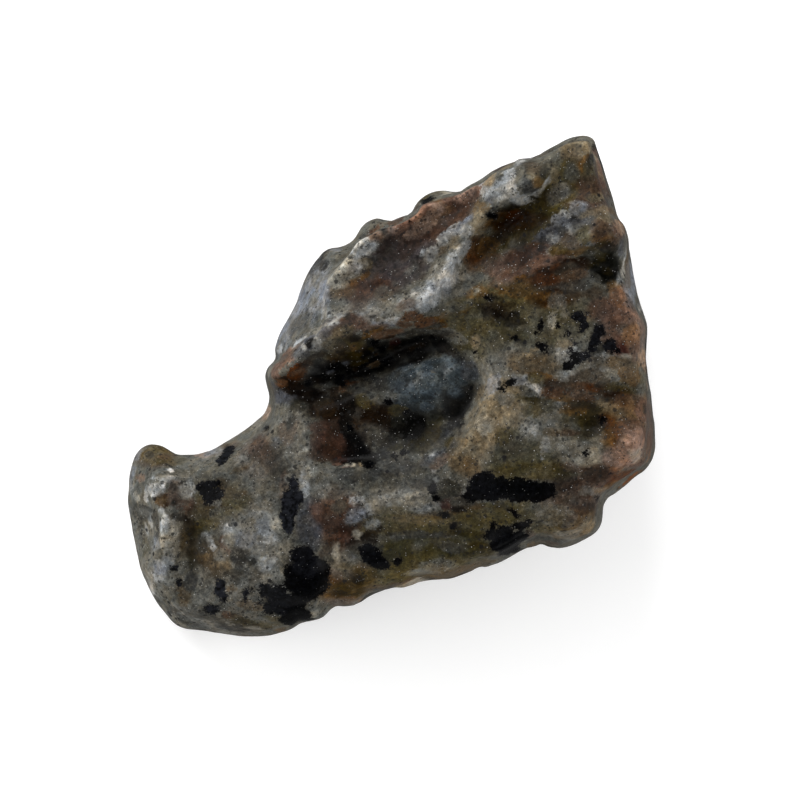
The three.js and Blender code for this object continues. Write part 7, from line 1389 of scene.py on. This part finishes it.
def nearest(x, y):
    """The mesh point of the near side that lies at (x, y)."""
    d = (BASE[FACING, 0] - x) ** 2 + (BASE[FACING, 1] - y) ** 2
    k = FACING[np.argpartition(d, 8)[:8]]
    return k[np.argmax(BASE[k, 2])]


def near_height(x, y):
    return BASE[nearest(x, y), 2]


# ------------------------------------------------- minerals, per mesh point
def lobe(p, x, y, z, rx, ry, rz, deg):
    c, n = math.cos(math.radians(deg)), math.sin(math.radians(deg))
    dx, dy = p[:, 0] - x, p[:, 1] - y
    u, v, w = (dx * c + dy * n) / rx, (dy * c - dx * n) / ry, (p[:, 2] - z) / rz
    return np.sqrt(u * u + v * v + w * w)


grain = np.full(len(P), 3.0)
gloom = np.zeros(len(P))      # 0 for coal black, towards 1 for a slaty grain
for x, y, rx, ry, deg, slaty in GRAINS:
    q = lobe(BASE, x, y, near_height(x, y), rx, ry, max(rx, ry) * 1.2 + 0.8, deg)
    d = (q - 1) * math.sqrt(rx * ry)
    gloom = np.where(d < grain, slaty, gloom)
    grain = np.minimum(grain, d)



def wander(p, amount, scale, seed):
    return p + amount * np.stack([value_noise(p, scale, seed + m) for m in range(3)], 1)


COARSE = wander(wander(BASE, 0.30, 1.9, 11), 0.13, 0.75, 17)    # ragged edges of big patches
CLOSE = wander(wander(BASE, 0.10, 0.8, 23), 0.05, 0.40, 29)     # and of small ones
PATCHY = (0.95 + 0.45 * value_noise(BASE, 1.0, 33) + 0.30 * value_noise(BASE, 0.45, 34))
pigment = np.tile(np.array(PALETTE["grey"]), (len(P), 1))   # the broad grounds
accent = pigment.copy()          # the smaller patches that lie over them
accent_lift = np.zeros(len(P))
cover = np.zeros(len(P))
# forehead and crest lie lower than the horns and the brow, and have minerals of their own
_s, _z = section(BASE[:, 0], BASE[:, 1]), np.abs(BASE[:, 2])
CRESTED = np.clip((slab_distance(_z, _s[:, 0], _s[:, 1], _s[:, 2])
                   - slab_distance(_z, _s[:, 3], _s[:, 4], _s[:, 5])) / 0.35 + 0.5, 0, 1)
CRESTED = CRESTED * np.clip(6.0 - BASE[:, 0], 0, 1)     # towards the tip the horn hides it
# the worn rims carry the minerals of the face a little way in from them
steep = np.clip((np.hypot(N[:, 0], N[:, 1]) - 0.55) / 0.4, 0, 1)
INWARD = np.c_[-N[:, 0], -N[:, 1], np.zeros(len(P))] * (steep * 0.25)[:, None]


AWAY = 1 - np.clip((N[:, 2] + 0.05) / 0.25, 0, 1) * np.clip(BASE[:, 2] + 0.5, 0, 1)   # 0 on what faces the near side
BROAD = 1.0   # mm; broader patches melt into each other, smaller ones have crisp ragged edges


def lay(x, y, z, rx, ry, rz, deg, colour, strength, far=False):
    """One soft-edged, ragged patch of a mineral colour over what is there."""
    reach = 1.6 * max(rx, ry) + 0.5
    near = np.flatnonzero((np.abs(BASE[:, 0] - x) < reach) & (np.abs(BASE[:, 1] - y) < reach)
                          & (np.abs(BASE[:, 2] - z) < 1.6 * rz + 0.5))
    size = math.sqrt(rx * ry)
    p = (COARSE if size > 0.62 else CLOSE)[near]
    q = lobe(p if far else p + INWARD[near], x, y, z, rx, ry, rz, deg)
    m = np.clip((1.32 - q) / 0.55, 0, 1)
    m = m * m * (3 - 2 * m)
    if far:
        m = m * np.clip((6.0 - BASE[near, 2]) / 3.0, 0, 1) * AWAY[near]
    elif size < 2.6:
        m = m * (CRESTED[near] if CRESTED[nearest(x, y)] > 0.5 else 1 - CRESTED[near])
    if size > BROAD:
        m = m * strength * np.clip(PATCHY[near], 0, 1)
        pigment[near] += m[:, None] * (np.array(PALETTE[colour]) - pigment[near])
    else:
        m = m * (1.4 if size < 0.42 else 1.0)       # the small ones are whole, the larger ones broken up
        w = np.minimum(m, 1) / (np.minimum(m, 1) + cover[near] * np.maximum(1 - m, 0) + 1e-6)
        accent[near] += w[:, None] * (np.array(PALETTE[colour]) - accent[near])
        accent_lift[near] += w * (strength - accent_lift[near])
        cover[near] = np.maximum(cover[near], m)


# the far cheek, the crest, the jaw and the back carry minerals of their own
rng = np.random.default_rng(41)
away = np.flatnonzero(BASE[:, 2] < 4.0)
GROUND = ["pale", "khaki", "grey", "mauve", "sand", "green", "dgrey", "olive", "rosy", "tan"]
ACCENT = ["white", "cream", "chalk", "steel", "brown", "umber", "rust", "rustd", "olived", "ink",
          "soot", "ochre", "mauved", "plum", "pink", "eyed", "dgrey", "pale", "sandd"]
for count, low, high, names, lift in ((60, 1.8, 3.6, GROUND, 0.8), (160, 0.7, 1.9, GROUND, 0.75),
                                      (190, 0.35, 1.1, ACCENT, 0.85), (260, 0.15, 0.5, ACCENT, 0.8)):
    for _ in range(count):
        c = BASE[rng.choice(away)]
        r = rng.uniform(low, high) * rng.uniform(0.55, 1.25, 3)
        lay(c[0], c[1], c[2], r[0], r[1], r[2], rng.uniform(0, 180),
            names[rng.integers(len(names))], lift * rng.uniform(0.6, 1.0), far=True)
for _ in range(150):
    c = BASE[rng.choice(away)]
    size = 0.22 + 0.9 * rng.random() ** 3.2
    for _ in range(rng.integers(1, 5)):
        r = size * rng.uniform(0.5, 1.1, 3)
        d = c + rng.normal(0, size * 0.7, 3)
        if d[2] > 3.5 + r.max():
            continue
        q = np.sqrt((((BASE - d) / r) ** 2).sum(1))
        grain = np.minimum(grain, (q - 1) * size * 0.8 + 0.2 * np.clip(BASE[:, 2] - 3.0, 0, 9) + 2 * (1 - AWAY))

# the near cheek, patch by patch
for x, y, rx, ry, deg, colour, strength in PATCHES:
    lay(x, y, near_height(x, y), rx, ry, 1.1 * max(rx, ry) + 0.8, deg, colour, strength)

MIDDLE, CONTRAST, CHROMA = 0.030, 1.50, 1.60
TINT = np.array([1.0, 0.98, 1.02])


def graded(colour):
    light = colour @ np.array([0.3, 0.6, 0.1])
    colour = colour * (np.maximum(light, 2e-4) / MIDDLE)[:, None] ** (CONTRAST - 1)
    light = (colour @ np.array([0.3, 0.6, 0.1]))[:, None]
    colour = (light + CHROMA * (colour - light)) * TINT
    redder = np.maximum(colour[:, 0] - colour[:, 1], 0)       # iron stains lean to orange, not to red
    colour[:, 0] -= 0.02 * redder
    colour[:, 1] += 0.03 * redder
    return np.maximum(colour, 0.0002)


# painted light and shade: rims and raised edges are painted paler as if lit, creases are painted darker as shade
painted_edge_light = 1 + 0.80 * steep * np.clip((BASE[:, 2] + 1.5) / 3.0, 0, 1)
raised = BULGE + (SWELL - BULGE) * np.clip(steep * 2.5, 0, 1)
painted_edge_light = painted_edge_light * (1 + 1.0 * np.clip((raised - 0.010) / 0.030, 0, 1) - 0.30 * np.clip((-raised - 0.006) / 0.020, 0, 1))


def with_painted_edge_light(colour):
    """Graded colour, painted paler on the lit rims and edges and darker in the shaded creases, unless the mineral is
    a dark one.
    """
    colour = graded(colour)
    light = colour @ np.array([0.3, 0.6, 0.1])
    k = np.clip((light - 0.004) / 0.012, 0, 1)
    return colour * (1 + (painted_edge_light - 1) * k)[:, None]


# both colour layers get the painted edge light and crease shade
pigment, accent = with_painted_edge_light(pigment), with_painted_edge_light(accent)

mesh = bpy.data.meshes.new("carved_stone")
d02 = ((ROW[QUADS[:, 0]] - ROW[QUADS[:, 2]]) ** 2).sum(1)
d13 = ((ROW[QUADS[:, 1]] - ROW[QUADS[:, 3]]) ** 2).sum(1)
tri = np.concatenate([np.where((d02 <= d13)[:, None], QUADS[:, [0, 1, 2]], QUADS[:, [0, 1, 3]]),
                      np.where((d02 <= d13)[:, None], QUADS[:, [0, 2, 3]], QUADS[:, [1, 2, 3]])])
mesh.from_pydata(ROW.tolist(), [], tri.tolist())
mesh.validate()
mesh.shade_smooth()
stone = bpy.data.objects.new("carved_stone", mesh)
bpy.context.scene.collection.objects.link(stone)
print("visible mesh:", len(mesh.vertices), "points", len(mesh.polygons), "triangles")


def attribute(name, values):
    mesh.attributes.new(name, "FLOAT", "POINT").data.foreach_set(
        "value", np.ascontiguousarray(values, np.float32))


attribute("grain", grain)
attribute("gloom", gloom)
attribute("calm", steep * np.clip(N[:, 2] * 8 + 0.6, 0, 1))
attribute("cover", cover)
attribute("lift", accent_lift)
for name, colour in (("pigment", pigment), ("accent", accent)):
    mesh.attributes.new(name, "FLOAT_COLOR", "POINT").data.foreach_set(
        "color", np.ascontiguousarray(np.c_[colour, np.ones(len(P))], np.float32).ravel())

# --------------------------------------------------------------- the material
mat = bpy.data.materials.new("speckled_stone")
mat.use_nodes = True
nt = mat.node_tree
nt.nodes.clear()
out = nt.nodes.new("ShaderNodeOutputMaterial")
bsdf = nt.nodes.new("ShaderNodeBsdfPrincipled")
nt.links.new(bsdf.outputs[0], out.inputs["Surface"])


def plug(value, socket):
    if hasattr(value, "links"):
        nt.links.new(value, socket)
    else:
        socket.default_value = value


def math_node(op, a, b=0.0, c=0.0, clamp=False):
    n = nt.nodes.new("ShaderNodeMath")
    n.operation = op
    n.use_clamp = clamp
    plug(a, n.inputs[0]), plug(b, n.inputs[1]), plug(c, n.inputs[2])
    return n.outputs[0]


def vec_node(op, a, b=(0, 0, 0), scale=None):
    n = nt.nodes.new("ShaderNodeVectorMath")
    n.operation = op
    plug(a, n.inputs[0])
    if op != "SCALE":
        plug(b, n.inputs[1])
    if scale is not None:
        plug(scale, n.inputs["Scale"])
    return n.outputs[0]


def noise(scale, detail=4.0, rough=0.55, distort=0.0, where=None, color=False, lac=2.0):
    n = nt.nodes.new("ShaderNodeTexNoise")
    plug(where if where is not None else MM, n.inputs["Vector"])
    n.inputs["Scale"].default_value = scale
    n.inputs["Detail"].default_value = detail
    n.inputs["Roughness"].default_value = rough
    n.inputs["Lacunarity"].default_value = lac
    n.inputs["Distortion"].default_value = distort
    return n.outputs["Color" if color else "Fac"]


def cells(scale, where=None, feature="F1", rand=1.0):
    n = nt.nodes.new("ShaderNodeTexVoronoi")
    n.feature = feature
    plug(where if where is not None else MM, n.inputs["Vector"])
    n.inputs["Scale"].default_value = scale
    n.inputs["Randomness"].default_value = rand
    return n


def ramp(value, lo, hi, a=0.0, b=1.0, smooth=True):
    n = nt.nodes.new("ShaderNodeMapRange")
    n.interpolation_type = "SMOOTHSTEP" if smooth else "LINEAR"
    n.clamp = True
    plug(value, n.inputs["Value"])
    for name, v in (("From Min", lo), ("From Max", hi), ("To Min", a), ("To Max", b)):
        n.inputs[name].default_value = v
    return n.outputs["Result"]


def mix(fac, a, b, mode="MIX"):
    n = nt.nodes.new("ShaderNodeMix")
    n.data_type = "RGBA"
    n.blend_type = mode
    n.clamp_factor = True
    plug(fac, n.inputs["Factor"])
    for v, s in ((a, n.inputs["A"]), (b, n.inputs["B"])):
        if isinstance(v, tuple):
            s.default_value = (*v, 1.0)
        else:
            nt.links.new(v, s)
    return n.outputs["Result"]


def attr(name):
    n = nt.nodes.new("ShaderNodeAttribute")
    n.attribute_name = name
    return n.outputs["Fac"]


tex = nt.nodes.new("ShaderNodeTexCoord")
MM = vec_node("SCALE", tex.outputs["Object"], scale=1000.0)

warp = vec_node("SCALE", vec_node("SUBTRACT", noise(0.9, 3, 0.6, color=True), (0.5, 0.5, 0.5)), scale=1.6)
WARPED = vec_node("ADD", MM, warp)
fine_warp = vec_node("SCALE", vec_node("SUBTRACT", noise(4.0, 3, 0.6, color=True), (0.5, 0.5, 0.5)), scale=0.35)
CRISP = vec_node("ADD", MM, fine_warp)

mottle = noise(1.1, 7, 0.68, 0.3)
blotch = noise(2.6, 6, 0.66, 0.4, where=vec_node("ADD", MM, (31.0, 7.0, 12.0)))
grit = noise(3.4, 5, 0.75)
dust = noise(8.5, 3, 0.7)


def scaled(colour, factor):
    """A colour made lighter or darker by a factor of its own."""
    return vec_node("SCALE", colour, scale=factor)


# the mineral patches, mottled: clouds, blotches, crystals and grit of lighter and darker shade
def colour_attr(name):
    n = nt.nodes.new("ShaderNodeAttribute")
    n.attribute_name = name
    return n.outputs["Color"]


ragged = math_node("ADD", math_node("MULTIPLY", math_node("SUBTRACT", noise(1.9, 6, 0.68, 0.2, where=vec_node("ADD", MM, (2.0, 41.0, 17.0))), 0.5), 2.3),
                   math_node("MULTIPLY", math_node("SUBTRACT", noise(6.5, 3, 0.6), 0.5), 1.7))
over = ramp(math_node("ADD", attr("cover"), ragged), 0.26, 0.92)
# nothing shows where no patch lies
over = math_node("MULTIPLY", over, ramp(attr("cover"), 0.02, 0.14))
base = mix(math_node("MULTIPLY", over, attr("lift")), colour_attr("pigment"), colour_attr("accent"))
bw = nt.nodes.new("ShaderNodeRGBToBW")
nt.links.new(base, bw.inputs[0])
open_tone = ramp(bw.outputs[0], 0.004, 0.042, 0.10, 1.0)   # the dark minerals stay clear of pale dust
split = nt.nodes.new("ShaderNodeSeparateColor")
nt.links.new(base, split.inputs[0])
rusty = ramp(math_node("DIVIDE", split.outputs[2], math_node("ADD", split.outputs[0], 0.0005)), 0.15, 0.60, 0.30, 1.0)
open_tone = math_node("MULTIPLY", open_tone, rusty)        # and so do the rusty ones
hue = base
crystal = cells(1.5, WARPED)
shade = nt.nodes.new("ShaderNodeSeparateColor")
nt.links.new(crystal.outputs["Color"], shade.inputs[0])
stops = math_node("MULTIPLY", math_node("SUBTRACT", mottle, 0.5), 3.4)
stops = math_node("ADD", stops, math_node("MULTIPLY", math_node("SUBTRACT", blotch, 0.5), 3.4))
stops = math_node("ADD", stops, math_node("MULTIPLY", math_node("SUBTRACT", grit, 0.5), 3.5))
stops = math_node("ADD", stops, math_node("MULTIPLY", math_node("SUBTRACT", shade.outputs[0], 0.5), 0.40))
lively = math_node("SUBTRACT", 1.0, math_node("MULTIPLY", attr("calm"), 0.32))   # rubbed rims are plainer
stops = math_node("MULTIPLY", stops, lively)
base = scaled(base, math_node("POWER", 2.0, stops))
warm = ramp(noise(0.9, 5, 0.65, 0.3, where=vec_node("ADD", MM, (5.0, 3.0, 9.0))), 0.35, 0.65)
base = mix(1.0, base, mix(warm, (0.96, 1.01, 1.05), (1.08, 1.00, 0.87)), "MULTIPLY")

# milky veils and fine pale grit
veil = math_node("MULTIPLY", ramp(noise(0.8, 5, 0.7, 0.8, where=vec_node("ADD", MM, (15.0, 2.0, 4.0))), 0.5, 0.75),
                 ramp(grit, 0.35, 0.65))
base = mix(math_node("MULTIPLY", math_node("MULTIPLY", veil, 0.20), open_tone), base, (0.115, 0.114, 0.104))
base = mix(math_node("MULTIPLY", ramp(dust, 0.56, 0.72, 0.0, 0.32), open_tone), base, (0.150, 0.145, 0.130))
base = mix(math_node("MULTIPLY", ramp(dust, 0.44, 0.30, 0.0, 0.46), lively), base, (0.009, 0.008, 0.006))

# small dark flecks
def flecks(scale, rarity, size, where):
    v = cells(scale, where)
    s = nt.nodes.new("ShaderNodeSeparateColor")
    nt.links.new(v.outputs["Color"], s.inputs[0])
    r = math_node("MULTIPLY", ramp(s.outputs[1], rarity, 1.0, 0.35, 1.0), size)
    on = math_node("GREATER_THAN", s.outputs[1], rarity)
    d = math_node("SUBTRACT", r, v.outputs["Distance"])
    return math_node("MULTIPLY", ramp(d, -0.03, 0.05), on)


fleck = flecks(0.95, 0.74, 0.20, CRISP)
fleck2 = math_node("MAXIMUM", flecks(2.1, 0.72, 0.36, CRISP), flecks(3.9, 0.74, 0.44, CRISP))
base = mix(math_node("MULTIPLY", fleck, 0.88), base, (0.0055, 0.0055, 0.0065))
base = mix(math_node("MULTIPLY", fleck2, 0.75), base, (0.009, 0.009, 0.009))

# the stain of the mineral colours crystals, dust and flecks alike
stain = scaled(hue, math_node("DIVIDE", 1.0, math_node("ADD", bw.outputs[0], 0.0015)))
base = mix(1.0, base, mix(0.30, (1.0, 1.0, 1.0), stain), "MULTIPLY")

# black grains with ragged edges
edge = math_node("ADD", math_node("MULTIPLY", math_node("SUBTRACT", noise(2.2, 5, 0.72), 0.5), 1.15),
                 math_node("MULTIPLY", math_node("SUBTRACT", noise(8.0, 3, 0.65), 0.5), 0.80))
g = math_node("ADD", attr("grain"), edge)
black = ramp(g, 0.09, 0.0)
halo = ramp(g, 0.32, 0.05, 0.0, 0.22)
base = mix(halo, base, (0.015, 0.014, 0.012))
under = mix(0.02, (0.0, 0.0, 0.0), mix(math_node("MULTIPLY", over, attr("lift")), colour_attr("pigment"), colour_attr("accent")))
coal = mix(ramp(noise(3.2, 5, 0.6), 0.40, 0.75), (0.0001, 0.0001, 0.0002), (0.0014, 0.0016, 0.0022))
coal = mix(1.0, coal, under, "ADD")   # a little of what lies under a grain shows in it
slate = mix(math_node("MULTIPLY", attr("gloom"), ramp(noise(2.4, 5, 0.7), 0.36, 0.62)), (0.0, 0.0, 0.0), (0.0085, 0.0092, 0.0118))
coal = mix(1.0, coal, slate, "ADD")
base = mix(black, base, coal)

# painted glints: tiny bright specks painted in for the sparkle of crystals under the lamps, everywhere
painted_glint_big = flecks(2.6, 0.90, 0.14, MM)
painted_glint_small = flecks(5.6, 0.74, 0.22, MM)
painted_glints = math_node("MAXIMUM", painted_glint_big, math_node("MULTIPLY", painted_glint_small, 0.7))
painted_glints = math_node("MULTIPLY", painted_glints, math_node("SUBTRACT", 1.0, math_node("MULTIPLY", black, 0.72)))
base = mix(math_node("MULTIPLY", painted_glints, 0.75), base, (0.36, 0.355, 0.34))

nt.links.new(base, bsdf.inputs["Base Color"])
rough = math_node("ADD", 0.36, math_node("MULTIPLY", math_node("SUBTRACT", mottle, 0.5), 0.25))
rough = math_node("ADD", rough, math_node("MULTIPLY", math_node("SUBTRACT", dust, 0.5), 0.25))
rough = math_node("SUBTRACT", rough, math_node("MULTIPLY", black, 0.06), clamp=True)
nt.links.new(rough, bsdf.inputs["Roughness"])
bsdf.inputs["Specular IOR Level"].default_value = 0.032
bsdf.inputs["IOR"].default_value = 1.52
bsdf.inputs["Subsurface Weight"].default_value = 0.0

height = math_node("ADD", math_node("MULTIPLY", noise(2.6, 6, 0.62), 0.05),
                   math_node("MULTIPLY", noise(11.0, 4, 0.65), 0.012))
height = math_node("SUBTRACT", height, math_node("MULTIPLY", black, 0.006))
bump = nt.nodes.new("ShaderNodeBump")
bump.inputs["Strength"].default_value = 0.55
bump.inputs["Distance"].default_value = 0.001
plug(height, bump.inputs["Height"])
nt.links.new(bump.outputs[0], bsdf.inputs["Normal"])
mesh.materials.append(mat)

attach(stone, "root")
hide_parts("carved_head")

# ------------------------------------------------------- floor, light, camera
bm = bpy.data.meshes.new("floor")
bm.from_pydata([(-3, -3, 0), (3, -3, 0), (3, 3, 0), (-3, 3, 0)], [], [(0, 1, 2, 3)])
floor = bpy.data.objects.new("floor", bm)
floor.location.z = -0.00002
bpy.context.scene.collection.objects.link(floor)
fm = bpy.data.materials.new("floor")
fm.use_nodes = True
fb = fm.node_tree.nodes["Principled BSDF"]
fb.inputs["Base Color"].default_value = (0.86, 0.86, 0.86, 1)
fb.inputs["Roughness"].default_value = 0.9
fb.inputs["Emission Color"].default_value = (1, 1, 1, 1)
fb.inputs["Emission Strength"].default_value = 0.22   # a faintly lit table
bm.materials.append(fm)
floor.visible_glossy = False   # a matt sheet: it gives no mirror image in the stone


def profile_point(x, y, z):
    return Vector(to_row(np.array([[x, y, z]], float))[0][0])


def profile_dir(x, y, z):
    return Vector(TURN @ np.array([x, y, z], float))


# square to the head's own middle plane, nearly straight down
VIEW_WIDTH = 0.0658
DISTANCE = 1.0
aim = profile_point(0.25, -0.58, 0.0)
cam_data = bpy.data.cameras.new("camera")
cam_data.sensor_width = 36.0
cam_data.lens = 36.0 * DISTANCE / VIEW_WIDTH
cam_data.clip_start, cam_data.clip_end = 0.01, 20.0
cam = bpy.data.objects.new("camera", cam_data)
bpy.context.scene.collection.objects.link(cam)
right, up, back = profile_dir(1, 0, 0), profile_dir(0, 1, 0), profile_dir(0, 0, 1)
m = Matrix((right, up, back)).transposed().to_4x4()
m.translation = aim + back * DISTANCE
cam.matrix_world = m
bpy.context.scene.camera = cam


def softbox(name, direction, distance, size, power, color=(1, 1, 1)):
    """An area light that looks at the stone from a direction of the picture (right, up, out)."""
    data = bpy.data.lights.new(name, "AREA")
    data.shape = "RECTANGLE"
    data.size, data.size_y = size
    data.energy = power
    data.color = color
    obj = bpy.data.objects.new(name, data)
    bpy.context.scene.collection.objects.link(obj)
    d = (right * direction[0] + up * direction[1] + back * direction[2]).normalized()
    obj.location = aim + d * distance
    obj.rotation_euler = d.to_track_quat("Z", "Y").to_euler()
    return obj


softbox("top", (-0.45, 1.20, 0.85), 0.85, (0.60, 0.42), 9.0)
softbox("left", (-1.90, 0.20, 0.9), 0.90, (0.50, 0.70), 4.6)
softbox("right", (1.90, 0.10, 0.9), 0.90, (0.50, 0.70), 4.0)
softbox("low", (0.10, -1.70, 0.9), 0.90, (0.70, 0.50), 3.0)
world = bpy.data.worlds.new("studio")
world.use_nodes = True
world.node_tree.nodes["Background"].inputs["Color"].default_value = (1, 1, 1, 1)
world.node_tree.nodes["Background"].inputs["Strength"].default_value = 0.50
wn = world.node_tree
path = wn.nodes.new("ShaderNodeLightPath")
dim = wn.nodes.new("ShaderNodeMix")     # the room is dimmer in the stone's own gloss
dim.inputs[2].default_value, dim.inputs[3].default_value = 0.50, 0.16
wn.links.new(path.outputs["Is Glossy Ray"], dim.inputs[0])
wn.links.new(dim.outputs[0], wn.nodes["Background"].inputs["Strength"])
bpy.context.scene.world = world
bpy.context.scene.view_settings.view_transform = "Standard"
bpy.context.scene.view_settings.look = "None"
